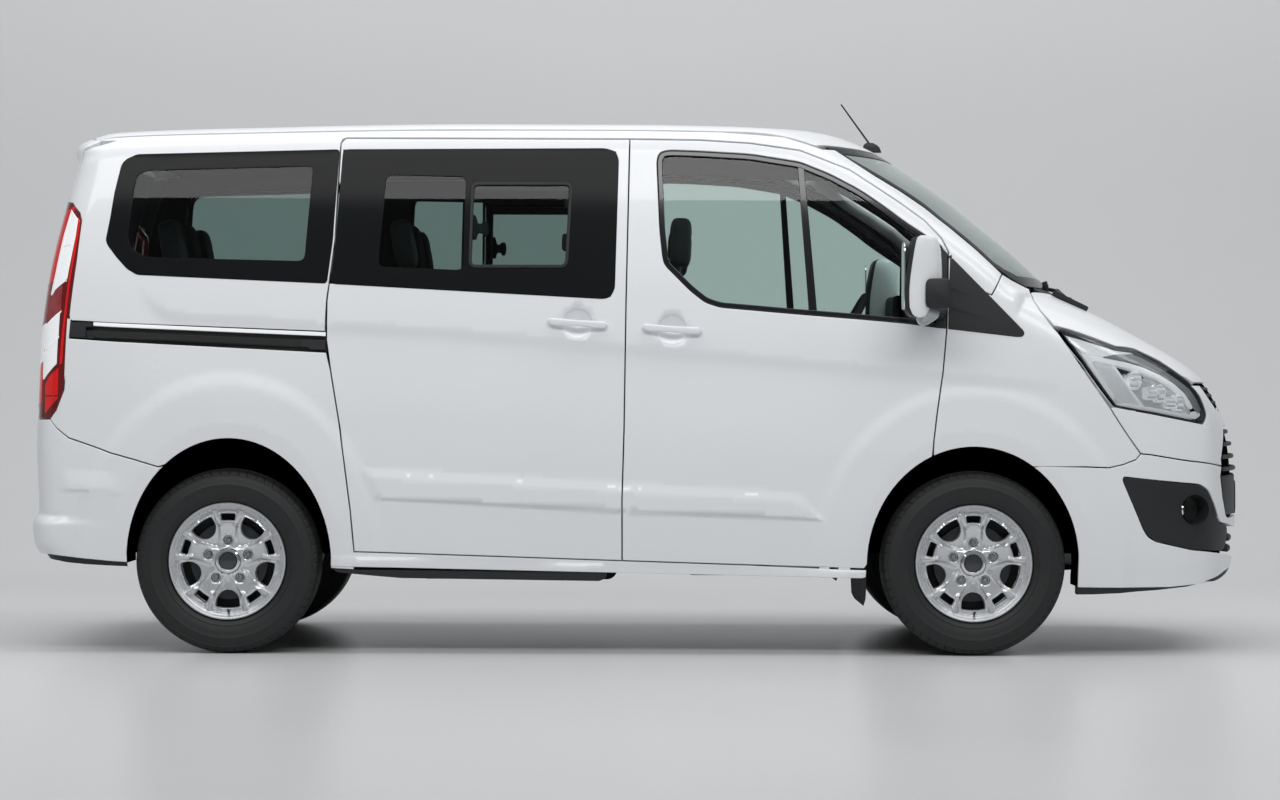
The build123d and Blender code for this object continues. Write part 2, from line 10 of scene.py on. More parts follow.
import json
import logging
import math
from dataclasses import dataclass
from enum import Enum
from typing import Callable, Iterable, Sequence

import bmesh
import bpy
import numpy as np
from mathutils import Matrix, Vector
from mathutils.geometry import delaunay_2d_cdt

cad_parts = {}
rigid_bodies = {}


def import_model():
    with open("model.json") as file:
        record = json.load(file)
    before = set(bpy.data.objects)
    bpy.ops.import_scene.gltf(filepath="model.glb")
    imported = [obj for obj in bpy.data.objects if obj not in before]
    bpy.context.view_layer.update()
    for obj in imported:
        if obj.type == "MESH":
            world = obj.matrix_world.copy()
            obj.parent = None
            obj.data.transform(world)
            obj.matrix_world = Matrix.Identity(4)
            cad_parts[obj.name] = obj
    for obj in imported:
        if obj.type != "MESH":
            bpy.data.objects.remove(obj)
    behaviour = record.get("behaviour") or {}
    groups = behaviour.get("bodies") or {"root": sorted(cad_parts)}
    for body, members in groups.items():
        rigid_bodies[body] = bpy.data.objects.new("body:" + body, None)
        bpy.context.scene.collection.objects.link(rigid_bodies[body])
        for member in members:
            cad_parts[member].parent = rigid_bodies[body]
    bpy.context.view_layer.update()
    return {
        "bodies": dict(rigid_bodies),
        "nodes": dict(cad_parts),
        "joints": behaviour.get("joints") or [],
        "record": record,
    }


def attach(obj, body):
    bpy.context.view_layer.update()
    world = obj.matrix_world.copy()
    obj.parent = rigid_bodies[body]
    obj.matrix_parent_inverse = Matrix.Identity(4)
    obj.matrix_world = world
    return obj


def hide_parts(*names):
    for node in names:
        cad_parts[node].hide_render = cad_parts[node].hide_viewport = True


LOG = logging.getLogger("minibus")
Array = np.ndarray
Row = tuple[float, float]
Rows = list[Row]
Outline = Sequence[Row]
Arch = tuple[float, float, float, float]
Mesh = bmesh.types.BMesh
Bulge = Callable[[Array, Array], Array]

HUB_Z = 0.356
FRONT_AXLE_X = 1.280
REAR_AXLE_X = -1.600
HALF_WIDTH = 0.990
SCREEN_AXIS_X = -0.150
TAIL_AXIS_X = 3.500
FLARE = 0.010
FRONT_ARCH = (1.278, 0.351, 0.408, 0.454)
REAR_ARCH = (-1.594, 0.351, 0.392, 0.477)


def mm(rows: Iterable[Sequence[float]]) -> Rows:
    """Rows given in millimetres, in metres."""
    return [(row[0] / 1000.0, row[1] / 1000.0) for row in rows]


# ---------------------------------------------------------------- outlines, side view, X and Z
SCREEN_EDGE = mm([(752, 1970), (905, 1865), (1002, 1806), (1100, 1740), (1198, 1659), (1296, 1573),
                  (1363, 1503), (1433, 1457), (1512, 1424)])
FRONT_DOOR = mm([(-53, 2000), (220, 1997), (415, 1985), (609, 1957), (802, 1882), (994, 1753), (1089, 1683),
                 (1154, 1613), (1179, 1560), (1175, 1411), (1170, 1256), (1155, 1083), (1135, 949),
                 (1121, 833), (1117, 772)])
FRONT_DOOR_REAR = mm([(-77, 362), (-78, 598), (-71, 867), (-65, 1368)])
SLIDING_DOOR = mm([(-1160, 2000), (-1177, 1979), (-1190, 1597), (-1210, 1430), (-1218, 1364), (-1219, 1210),
                   (-1202, 1094), (-1163, 864), (-1124, 556), (-1110, 394), (-77, 362), (-78, 598),
                   (-71, 867), (-65, 1368), (-53, 2000)])
FRONT_WINDOW = mm([(53, 1915), (64, 1947), (103, 1955), (220, 1951), (414, 1940), (608, 1909), (724, 1862),
                   (840, 1800), (936, 1733), (1012, 1675), (1089, 1624), (1146, 1588), (1163, 1560),
                   (1163, 1264), (1009, 1283), (836, 1298), (605, 1316), (297, 1342), (239, 1361),
                   (181, 1407), (85, 1504), (77, 1531), (65, 1640)])
SLIDING_GLASS = mm([(-1164, 1950), (-149, 1958), (-110, 1946), (-99, 1915), (-112, 1414), (-127, 1383),
                    (-150, 1375), (-1202, 1430), (-1184, 1597)])
QUARTER_GLASS = mm([(-1184, 1950), (-1967, 1928), (-2009, 1908), (-2024, 1888), (-2061, 1672), (-2074, 1594),
                    (-2066, 1574), (-1990, 1485), (-1951, 1462), (-1222, 1431), (-1202, 1597)])
QUARTER_CLEAR = mm([(-1278, 1891), (-1925, 1871), (-1958, 1858), (-1974, 1830), (-1995, 1605), (-1983, 1563),
                    (-1935, 1530), (-1900, 1523), (-1304, 1511)])
SLIDING_PANE = mm([(-668, 1826), (-273, 1827), (-289, 1491), (-675, 1490)])
BUMPER_EDGE = mm([(-1862, 719), (-1950, 746), (-2085, 787), (-2208, 829), (-2258, 868), (-2285, 902)])
LAMP_FRONT = mm([(-2285, 902), (-2258, 937), (-2228, 1014), (-2225, 1052), (-2219, 1206), (-2206, 1360),
                 (-2188, 1515), (-2173, 1671), (-2182, 1699), (-2215, 1738), (-2234, 1742)])
WING_FRONT = mm([(1510, 1404), (1517, 1373), (1536, 1335), (1586, 1266), (1800, 962), (1924, 782),
                 (1905, 759), (1855, 740), (1802, 728), (1702, 731), (1501, 734)])
HEADLAMP = mm([(1605, 1264), (1834, 1195), (1912, 1188), (2009, 1145), (2126, 1064), (2165, 1010),
               (2192, 944), (2193, 925), (2177, 897), (1971, 936), (1823, 962)])
BONNET_SIDE = mm([(1512, 1410), (1517, 1373), (1536, 1335), (1586, 1266), (1605, 1264), (1834, 1195),
                  (1912, 1188), (2009, 1145), (2100, 1082)])
BUMPER_TOP = mm([(1501, 734), (1702, 731), (1802, 728), (1855, 740), (1905, 759), (1924, 782), (1966, 778),
                 (2112, 755), (2269, 732)])
FOG_PANEL = mm([(1858, 692), (2163, 662), (2202, 638), (2253, 533), (2269, 510), (2320, 498), (2320, 443),
                (2301, 396), (2144, 407), (1988, 442), (1956, 462), (1937, 493), (1854, 680)])
MOULDING = mm([(-1078, 714), (-78, 660), (587, 624), (626, 604), (715, 512), (-78, 548), (-1009, 587),
               (-1039, 606)])
CREASE = mm([(-1957, 1427), (-1900, 1362), (-1868, 1332), (-1835, 1315), (-1780, 1305), (-742, 1246),
             (1182, 1087), (1604, 1046), (1720, 1020)])
HANDLES = ((-0.2515, 1.2775), (0.1125, 1.2560))
# right half, width and height
TAIL_WINDOW = [(0.0, 1.905), (0.60, 1.900), (0.68, 1.880), (0.715, 1.820), (0.735, 1.50), (0.715, 1.440),
               (0.64, 1.405), (0.0, 1.400)]


# ---------------------------------------------------------------- the body as one smooth form
def ramp(value: Array) -> Array:
    """Smooth step from 0 to 1."""
    held = np.clip(value, 0.0, 1.0)
    return held * held * (3.0 - 2.0 * held)


def blend_max(a: Array, b: Array, width: float) -> Array:
    """The larger of two distances with the corner between them rounded."""
    near = np.maximum(width - np.abs(a - b), 0.0) / width
    return np.maximum(a, b) + near * near * width * 0.25


class Profile:
    """A smooth curve through a few knots, kept as a dense table."""

    step = 0.002

    def __init__(self, knots: Outline, softness: float = 14.0) -> None:
        """Work the table out from the knots.

        Args:
            knots: rows of place and value, in millimetres.
            softness: how far the curve is eased, in millimetres.
        """
        places, values = np.array(sorted(knots), float).T / 1000.0
        steps = np.diff(places)
        rises = np.diff(values) / steps
        slopes = np.zeros(len(places))
        slopes[0], slopes[-1] = rises[0], rises[-1]
        same = rises[:-1] * rises[1:] > 0
        weight_a, weight_b = 2 * steps[1:] + steps[:-1], steps[1:] + 2 * steps[:-1]
        with np.errstate(divide="ignore", invalid="ignore"):
            eased = (weight_a + weight_b) / (weight_a / rises[:-1] + weight_b / rises[1:])
        slopes[1:-1] = np.where(same, np.nan_to_num(eased), 0.0)
        dense = np.arange(places[0], places[-1], self.step)
        index = np.clip(np.searchsorted(places, dense, side="right") - 1, 0, len(steps) - 1)
        span = steps[index]
        t = (dense - places[index]) / span
        curve = ((1 + 2 * t) * (1 - t) ** 2 * values[index] + t * (1 - t) ** 2 * span * slopes[index]
                 + t * t * (3 - 2 * t) * values[index + 1] - t * t * (1 - t) * span * slopes[index + 1])
        reach = max(3, int(softness / 1000.0 / self.step * 3))
        bell = np.exp(-0.5 * (np.arange(-reach, reach + 1) * self.step / (softness / 1000.0)) ** 2)
        lead = np.arange(1, reach + 1) * self.step
        wide = np.concatenate([curve[0] - slopes[0] * lead[::-1], curve, curve[-1] + slopes[-1] * lead])
        self.place = dense
        self.value = np.convolve(wide, bell / bell.sum(), mode="valid")
        self.slope = np.gradient(self.value, self.place)

    def __call__(self, at: Array) -> Array:
        """The curve's value."""
        return np.interp(at, self.place, self.value)

    def rise(self, at: Array) -> Array:
        """The curve's slope."""
        return np.interp(at, self.place, self.slope)


def inside_depths(x: Array, z: Array, outline: Outline) -> Array:
    """Distance inside each edge line of a convex outline, one row per edge.

    Args:
        x, z: places in side view.
        outline: a convex outline.

    Returns:
        Distances in metres, positive inside.
    """
    rows = []
    area = sum(a[0] * b[1] - b[0] * a[1] for a, b in zip(outline, list(outline[1:]) + [outline[0]]))
    turn = 1.0 if area > 0 else -1.0
    for a, b in zip(outline, list(outline[1:]) + [outline[0]]):
        length = math.hypot(b[0] - a[0], b[1] - a[1])
        rows.append(turn * (-(b[1] - a[1]) * (x - a[0]) + (b[0] - a[0]) * (z - a[1])) / length)
    return np.array(rows)


class Relief:
    """What is pressed into the sides: arch flares, shoulder crease, mouldings, cups, bumper creases."""

    crease_x, crease_z = np.array(CREASE).T
    moulding_bevels = (0.024, 0.024, 0.022, 0.018, 0.010, 0.010, 0.012, 0.018)
    moulding_height = 0.0115
    flare_flat, flare_fade = 0.178, 0.070
    lip_width, lip_depth = 0.052, 0.008
    crease_depth, crease_width = 0.0095, 0.050
    cup_radius, cup_depth = 0.058, 0.020

    def crease_height(self, x: Array) -> tuple[Array, Array]:
        """Height and slope of the shoulder crease.

        Args:
            x: places along the side.

        Returns:
            The two values at each place.
        """
        height = np.interp(x, self.crease_x, self.crease_z)
        slope = (np.interp(x + 0.01, self.crease_x, self.crease_z) - height) / 0.01
        return height, slope

    def flare(self, x: Array, z: Array, arch: Arch) -> Array:
        """Raised band round one wheel opening, with a turned-in lip.

        Args:
            x, z: places in side view.
            arch: centre X and Z, half width and height.

        Returns:
            Outward offset at each place.
        """
        centre_x, centre_z, half, height = arch
        reach = np.hypot((x - centre_x) / half, (np.maximum(z, centre_z) - centre_z) / height)
        out = (reach - 1.0) * 0.5 * (half + height)
        lift = FLARE * (1.0 - ramp((out - self.flare_flat) / self.flare_fade))
        return lift - self.lip_depth * (1.0 - np.clip(out / self.lip_width, 0.0, 1.0))

    def __call__(self, x: Array, z: Array) -> Array:
        """Outward offset of the side at a place in side view.

        Args:
            x, z: places in side view.

        Returns:
            The offset in metres.
        """
        offset = np.maximum(self.flare(x, z, FRONT_ARCH), self.flare(x, z, REAR_ARCH)) - FLARE
        # the shoulder crease, which fades out at both ends
        height, slope = self.crease_height(x)
        below = (height - z) / np.sqrt(1 + slope * slope)
        strength = ramp((x + 1.985) / 0.16) * (1.0 - ramp((x - 1.25) / 0.50))
        t = np.clip(below / self.crease_width, 0.0, 1.0)
        dent = t * (2 - t) - ramp((below - self.crease_width) / 0.30)
        offset = offset - self.crease_depth * strength * dent * (below > 0)
        # the door moulding, with a bevel of its own along each edge
        depths = inside_depths(x, z, MOULDING)
        share = np.min(depths / np.array(self.moulding_bevels)[:, None], axis=0)
        offset = offset + self.moulding_height * np.clip(share, 0.0, 1.0)
        for handle_x, handle_z in HANDLES:
            r = np.hypot(x - handle_x, z - handle_z) / self.cup_radius
            bowl = np.clip(1.0 - r * r, 0.0, 1.0)
            offset = offset - self.cup_depth * np.sqrt(bowl) * bowl ** 0.2
        # the turned-in edge above the sill
        sill = 0.378 - (x + 1.203) * 0.0234
        offset = offset + 0.006 * np.clip((sill - z) / 0.008, 0.0, 1.0) * (x > -1.21) * (x < 0.9)
        # the wedge on the rear bumper: it rises to a ledge and falls away below it
        wedge = ramp((x + 2.262) / 0.07) * (1.0 - ramp((x + 2.075) / 0.10))
        ledge_z = 0.640 - (x + 2.239) * 0.067
        rise = np.clip((0.075 - (z - ledge_z)) / 0.075, 0.0, 1.0) * (z >= ledge_z)
        fall = np.clip(1.0 - (ledge_z - z) / 0.016, 0.0, 1.0) * (z < ledge_z)
        offset = offset + 0.013 * wedge * (rise + fall)
        # the step out at the rear bumper's foot
        low_z = 0.505 - (x + 2.352) * 0.0726
        step_out = (1.0 - ramp((x + 2.33) / 0.30)) * 0.022
        offset = offset + step_out * ramp((low_z + 0.035 - z) / 0.035)
        return offset


class BodyForm:
    """The painted outside of the body as one rounded form."""

    end = Profile([(60, 905), (180, 925), (255, 934), (420, 962), (600, 982), (800, 990), (950, 990),
                   (1180, 983), (1400, 962), (1680, 914), (1950, 846), (2030, 825), (2130, 800),
                   (2300, 758)], 20.0)
    plan = Profile([(-2700, 950), (-2385, 965), (-2270, 978), (-1950, 990), (1280, 990), (1640, 980),
                    (1850, 957), (1990, 935), (2110, 899), (2200, 852), (2264, 766), (2318, 650),
                    (2368, 500), (2410, 330), (2470, 60)], 18.0)
    roof = Profile([(-2700, 1985), (-2460, 2012), (-2300, 2033), (-2200, 2047), (-2036, 2062), (-1793, 2073),
                    (-1470, 2082), (-1227, 2089), (-661, 2098), (-54, 2098), (310, 2093), (552, 2083),
                    (674, 2073), (795, 2056), (896, 2034), (1100, 1960), (1500, 1760), (2600, 1200)], 25.0)
    nose = Profile([(60, 2340), (150, 2360), (300, 2395), (400, 2418), (520, 2427), (660, 2424), (800, 2405),
                    (940, 2358), (1056, 2293), (1115, 2243), (1168, 2180), (1240, 2063), (1334, 1880),
                    (1428, 1668), (1473, 1629), (1534, 1568), (1624, 1465), (1706, 1362), (1791, 1259),
                    (1865, 1156), (1930, 1056), (1992, 965), (2050, 870), (2300, 500)], 12.0)
    tail = Profile([(60, -2320), (150, -2340), (340, -2372), (420, -2420), (500, -2428), (545, -2404),
                    (800, -2412), (1010, -2406), (1210, -2398), (1430, -2372), (1744, -2302), (1880, -2268),
                    (1912, -2264), (1935, -2274), (1962, -2282), (1990, -2272), (2015, -2250), (2065, -2216),
                    (2110, -2200), (2300, -2120)], 6.0)
    crown = Profile([(-50, 8), (0, 8), (320, 1), (620, -22), (800, -66), (930, -150), (1100, -330),
                     (1300, -560)], 16.0)
    relief = Relief()
    roof_bow = 0.0735
    roof_round, nose_round = 0.11, 0.05
    bonnet_point, bonnet_normal = (1.668, 1.428), (0.4848, 0.8746)
    crown_start = 1.86

    def excess(self, x: Array, y: Array, z: Array) -> Array:
        """Signed distance outside the form, close to it.

        Args:
            x, y, z: places.

        Returns:
            Distance in metres, positive outside.
        """
        wide = np.abs(y)
        half = self.end(z) + self.plan(x) - HALF_WIDTH + self.relief(x, z)
        side = (wide - half) / np.sqrt(1 + self.end.rise(z) ** 2 + self.plan.rise(x) ** 2)
        top = (z - self.roof(x) + self.roof_bow * y * y) / np.sqrt(1 + self.roof.rise(x) ** 2)
        turn = np.hypot(np.maximum(x - SCREEN_AXIS_X, 0.0), y)
        nose = (turn - (self.nose(z) - SCREEN_AXIS_X)) / np.sqrt(1 + self.nose.rise(z) ** 2)
        nose = np.where(x > SCREEN_AXIS_X, nose, -1.0)
        back = np.hypot(x - TAIL_AXIS_X, y)
        tail = (back - (TAIL_AXIS_X - self.tail(z))) / np.sqrt(1 + self.tail.rise(z) ** 2)
        (point_x, point_z), (normal_x, normal_z) = self.bonnet_point, self.bonnet_normal
        lift = (x - point_x) * normal_x + (z - point_z) * normal_z
        crown = (lift - self.crown(wide)) / np.sqrt(1 + self.crown.rise(wide) ** 2)
        crown = crown - 3.0 * np.maximum(0.0, self.crown_start - turn)
        total = blend_max(top, side, self.roof_round)
        total = blend_max(total, nose, self.nose_round)
        total = blend_max(total, crown, self.nose_round)
        return blend_max(total, tail, self.roof_round)

    def meet(self, origin: Array, way: Array, reach: float) -> Array:
        """Where rays that start inside the form leave it.

        Args:
            origin: ray starts, one row each.
            way: unit directions, one row each.
            reach: a length at which every ray is outside.

        Returns:
            One point on the form per ray.
        """
        low = np.zeros(len(origin))
        high = np.full(len(origin), reach)
        for _ in range(9):
            middle = 0.5 * (low + high)
            outside = self.excess(*(origin + way * middle[:, None]).T) > 0
            high = np.where(outside, middle, high)
            low = np.where(outside, low, middle)
        f_low = self.excess(*(origin + way * low[:, None]).T)
        f_high = self.excess(*(origin + way * high[:, None]).T)
        at = 0.5 * (low + high)
        for _ in range(5):
            spread = np.where(np.abs(f_high - f_low) < 1e-12, 1.0, f_high - f_low)
            at = np.clip(low - f_low * (high - low) / spread, low, high)
            f_at = self.excess(*(origin + way * at[:, None]).T)
            outside = f_at > 0
            high, f_high = np.where(outside, at, high), np.where(outside, f_at, f_high * 0.6)
            low, f_low = np.where(outside, low, at), np.where(outside, f_low * 0.6, f_at)
        return origin + way * at[:, None]

    def side_points(self, outline: Outline) -> Array:
        """Points on the right side at places given in side view.

        Args:
            outline: places in side view.

        Returns:
            One point per place.
        """
        rows = np.array(outline, float)
        origin = np.stack([rows[:, 0], np.full(len(rows), -0.30), rows[:, 1]], axis=1)
        return self.meet(origin, np.tile((0.0, -1.0, 0.0), (len(rows), 1)), 1.0)


class Chart:
    """A flat sheet of coordinates laid on the form."""

    reach = 1.3

    def __init__(self, form: BodyForm) -> None:
        """Lay the sheet on a form."""
        self.form = form

    def rays(self, u: Array, v: Array) -> tuple[Array, Array]:
        """Ray starts and directions for sheet coordinates."""
        raise NotImplementedError

    def coords(self, points: Array) -> Array:
        """Sheet coordinates of points on the form."""
        raise NotImplementedError

    def lay(self, u: Array, v: Array) -> Array:
        """Points on the form."""
        return self.form.meet(*self.rays(u, v), self.reach)

    def frame(self, u: Array, v: Array) -> tuple[Array, Array]:
        """Points on the form and their outward normals.

        Args:
            u, v: sheet coordinates.

        Returns:
            The points and the unit normals, one row each.
        """
        step = 0.0012
        point = self.lay(u, v)
        across = self.lay(u + step, v) - self.lay(u - step, v)
        along = self.lay(u, v + step) - self.lay(u, v - step)
        normal = np.cross(across, along)
        normal /= np.maximum(np.linalg.norm(normal, axis=1, keepdims=True), 1e-12)
        facing = np.sum(normal * self.rays(u, v)[1], axis=1)
        return point, normal * np.where(facing < 0, -1.0, 1.0)[:, None]


class Top(Chart):
    """Looks down: X and Y."""

    def rays(self, u: Array, v: Array) -> tuple[Array, Array]:
        """Upward rays."""
        return np.stack([u, v, np.full(len(u), 0.9)], 1), np.tile((0.0, 0.0, 1.0), (len(u), 1))

    def coords(self, points: Array) -> Array:
        """X and Y."""
        return points[:, :2]


class Belt(Chart):
    """Runs level round the body: length along a core inside it, and height.

    Positive lengths are on the right. From the front they start at the middle of the nose,
    and from the rear at the middle of the tail.
    """

    core_half, core_front, core_rear, fan = 0.55, 1.60, -2.05, 0.60

    def __init__(self, form: BodyForm, from_rear: bool = False) -> None:
        """Mark where the core's sides and corners meet.

        Args:
            form: the body form.
            from_rear: whether length is counted from the tail.
        """
        super().__init__(form)
        quarter = self.fan * math.pi / 2
        self.marks = np.cumsum([self.core_half, quarter, self.core_front - self.core_rear, quarter,
                                self.core_half])
        self.from_rear = from_rear

    def rays(self, u: Array, v: Array) -> tuple[Array, Array]:
        """Level rays out of the core.

        Args:
            u, v: length and height.

        Returns:
            Ray starts and directions, one row each.
        """
        a = self.marks[4] - np.abs(u) if self.from_rear else np.abs(u)
        hand = np.where(u < 0, 1.0, -1.0)
        m = self.marks
        behind = np.where(a < m[2], self.core_front - (a - m[1]), self.core_rear)
        x = np.where(a < m[1], self.core_front, behind)
        y = np.where(a < m[0], a, np.where(a < m[3], self.core_half, self.core_half - (a - m[3])))
        turn = np.clip((a - m[0]) / self.fan, 0, math.pi / 2) + np.clip((a - m[2]) / self.fan, 0, math.pi / 2)
        way = np.stack([np.cos(turn), np.sin(turn) * hand, np.zeros(len(u))], 1)
        return np.stack([x, y * hand, v], 1), way

    def coords(self, points: Array) -> Array:
        """Length along the core and height.

        Args:
            points: points on the form, one row each.

        Returns:
            Length and height, one row each.
        """
        x, y, z = np.asarray(points).T
        wide = np.abs(y)
        m = self.marks
        front = np.where(wide <= self.core_half, wide,
                         m[0] + self.fan * np.arctan2(wide - self.core_half, x - self.core_front))
        rear = np.where(wide >= self.core_half,
                        m[2] + self.fan * np.arctan2(self.core_rear - x, wide - self.core_half),
                        m[3] + self.core_half - wide)
        behind = np.where(x > self.core_rear, m[1] + self.core_front - x, rear)
        a = np.where(x >= self.core_front, front, behind)
        a = m[4] - a if self.from_rear else a
        return np.stack([a * np.where(y > 0, -1.0, 1.0), z], 1)

    def side(self, outline: Outline) -> Rows:
        """Sheet coordinates of a right-hand side-view outline."""
        return [tuple(row) for row in self.coords(self.form.side_points(outline))]


# ---------------------------------------------------------------- flat outlines
def area_of(rows: Outline) -> float:
    """Signed area of a closed outline."""
    return 0.5 * sum(a[0] * b[1] - b[0] * a[1] for a, b in zip(rows, list(rows[1:]) + [rows[0]]))


def inset(rows: Outline, depth: float) -> Rows:
    """A closed outline moved inward by a mitred depth, or outward if it is negative.

    Args:
        rows: the outline.
        depth: how far each edge moves.

    Returns:
        The moved outline, point for point.
    """
    turn = 1.0 if area_of(rows) > 0 else -1.0
    moved = []
    for index, point in enumerate(rows):
        normals = []
        for a, b in ((rows[index - 1], point), (point, rows[(index + 1) % len(rows)])):
            length = max(math.hypot(b[0] - a[0], b[1] - a[1]), 1e-9)
            normals.append((-(b[1] - a[1]) / length * turn, (b[0] - a[0]) / length * turn))
        (ax, ay), (bx, by) = normals
        scale = depth / max(0.4, 1 + ax * bx + ay * by)
        moved.append((point[0] + (ax + bx) * scale, point[1] + (ay + by) * scale))
    return moved


def soften(rows: Outline, radius: float, closed: bool = True, steps: int = 5) -> Rows:
    """An outline with each corner eased by a short curve.

    Args:
        rows: the outline.
        radius: longest cut along each side of a corner.
        closed: whether the last point joins the first.
        steps: points in each eased corner.

    Returns:
        The eased outline.
    """
    result: Rows = []
    count = len(rows)
    for index, point in enumerate(rows):
        if not closed and index in (0, count - 1):
            result.append(tuple(point))
            continue
        corner = Vector(point)
        before, after = Vector(rows[index - 1]), Vector(rows[(index + 1) % count])
        cut_a = min(radius, 0.48 * (before - corner).length)
        cut_b = min(radius, 0.48 * (after - corner).length)
        start = corner + (before - corner).normalized() * cut_a
        stop = corner + (after - corner).normalized() * cut_b
        bend = (corner - start).angle(stop - corner, 0.0)
        number = steps if bend > 0.12 else 2
        for k in range(number):
            t = k / (number - 1)
            spot = start * (1 - t) ** 2 + corner * 2 * t * (1 - t) + stop * t * t
            result.append((spot.x, spot.y))
    return result


def densify(rows: Outline, pitch: float, closed: bool = True) -> Rows:
    """An outline with points no further apart than the pitch.

    Args:
        rows: the outline.
        pitch: the longest step allowed.
        closed: whether the last point joins the first.

    Returns:
        The outline with the added points.
    """
    result: Rows = []
    pairs = zip(rows, list(rows[1:]) + [rows[0]]) if closed else zip(rows[:-1], rows[1:])
    for a, b in pairs:
        number = max(1, math.ceil(math.hypot(b[0] - a[0], b[1] - a[1]) / pitch))
        result.extend((a[0] + (b[0] - a[0]) * k / number, a[1] + (b[1] - a[1]) * k / number)
                      for k in range(number))
    if not closed:
        result.append(tuple(rows[-1]))
    return result


def inside(points: Array, rows: Outline) -> Array:
    """Which points lie in a closed outline.

    Args:
        points: flat points, one row each.
        rows: the outline.

    Returns:
        One truth value per point.
    """
    hit = np.zeros(len(points), bool)
    x, y = points[:, 0], points[:, 1]
    for (ax, ay), (bx, by) in zip(rows, list(rows[1:]) + [rows[0]]):
        if ay == by:
            continue
        crossing = (ay > y) != (by > y)
        hit ^= crossing & (x < (bx - ax) * (y - ay) / (by - ay) + ax)
    return hit


def arch_line(arch: Arch, start: float, stop: float, number: int, grow: float = 0.0) -> Rows:
    """Points along a wheel opening between two angles in degrees, with 0 forward and 90 up.

    Args:
        arch: centre X and Z, half width and height.
        start: first angle.
        stop: last angle.
        number: how many points.
        grow: added to both radii.

    Returns:
        Places in side view.
    """
    centre_x, centre_z, half, height = arch
    turns = [math.radians(a) for a in np.linspace(start, stop, number)]
    return [(centre_x + (half + grow) * math.cos(a), centre_z + (height + grow) * math.sin(a)) for a in turns]


def fill_outline(outline: Outline, holes: Sequence[Outline], lines: Sequence[Outline], pitch: float,
                 box_pitch: tuple[float, float] | None = None) -> tuple[Array, list[tuple[int, ...]]]:
    """Triangles over a flat outline.

    Args:
        outline: closed outer edge.
        holes: closed inner edges.
        lines: open polylines that the triangles follow.
        pitch: usual spacing of the points.
        box_pitch: spacing along and up the sheet if they differ.

    Returns:
        The flat points and the triangles.
    """
    step_u, step_v = box_pitch or (pitch, pitch)
    marks: Rows = []
    edges: list[tuple[int, int]] = []
    for rows, closed in [(outline, True), *((h, True) for h in holes), *((l, False) for l in lines)]:
        dense = densify(rows, pitch, closed)
        first = len(marks)
        marks.extend(dense)
        edges.extend((first + k, first + k + 1) for k in range(len(dense) - 1))
        if closed:
            edges.append((len(marks) - 1, first))
    fixed = np.array(marks)
    low, high = fixed.min(0), fixed.max(0)
    across = np.arange(low[0] + step_u * 0.25, high[0], step_u)
    upward = np.arange(low[1] + step_v * 0.5, high[1], step_v * 0.88)
    grid = np.stack(np.meshgrid(across, upward), axis=-1)
    grid[1::2, :, 0] += step_u * 0.5
    grid = grid.reshape(-1, 2)
    keep = inside(grid, outline)
    for hole in holes:
        keep &= ~inside(grid, hole)
    grid = grid[keep]
    scale = np.array([step_u, step_v])
    clear = np.ones(len(grid), bool)
    for start in range(0, len(fixed) if len(grid) else 0, 400):
        gap = (grid[:, None, :] - fixed[None, start:start + 400, :]) / scale
        clear &= (gap[..., 0] ** 2 + gap[..., 1] ** 2).min(1) > 0.30
    grid = grid[clear]
    flat = [Vector(p) for p in marks] + [Vector(p) for p in grid]
    points, _, faces, *_ = delaunay_2d_cdt(flat, edges, [], 0, 1e-7)
    spots = np.array([p[:] for p in points])
    triangles = np.array(faces)
    centres = spots[triangles].mean(1)
    keep = inside(centres, outline)
    for hole in holes:
        keep &= ~inside(centres, hole)
    return spots, [tuple(t) for t in triangles[keep]]


# ---------------------------------------------------------------- finishes
def tone(code: str, alpha: float = 1.0) -> tuple[float, float, float, float]:
    """Linear colour of an sRGB hex code.

    Args:
        code: the colour as #RRGGBB.
        alpha: opacity.

    Returns:
        Red, green, blue and alpha.
    """
    values = [int(code[k:k + 2], 16) / 255.0 for k in (1, 3, 5)]
    linear = [v / 12.92 if v <= 0.04045 else ((v + 0.055) / 1.055) ** 2.4 for v in values]
    return (*linear, alpha)


def add_node(tree: bpy.types.NodeTree, kind: str, settings: dict | None = None,
             links: dict | None = None) -> bpy.types.Node:
    """One node with its settings and incoming links.

    Args:
        tree: node tree.
        kind: node type name.
        settings: input sockets by name or number, or node attributes.
        links: output sockets to join, by input name or number.

    Returns:
        The node.
    """
    node = tree.nodes.new(kind)
    for key, value in (settings or {}).items():
        if isinstance(key, str) and hasattr(node, key) and key not in node.inputs:
            setattr(node, key, value)
        else:
            node.inputs[key].default_value = value
    for key, socket in (links or {}).items():
        tree.links.new(socket, node.inputs[key])
    return node


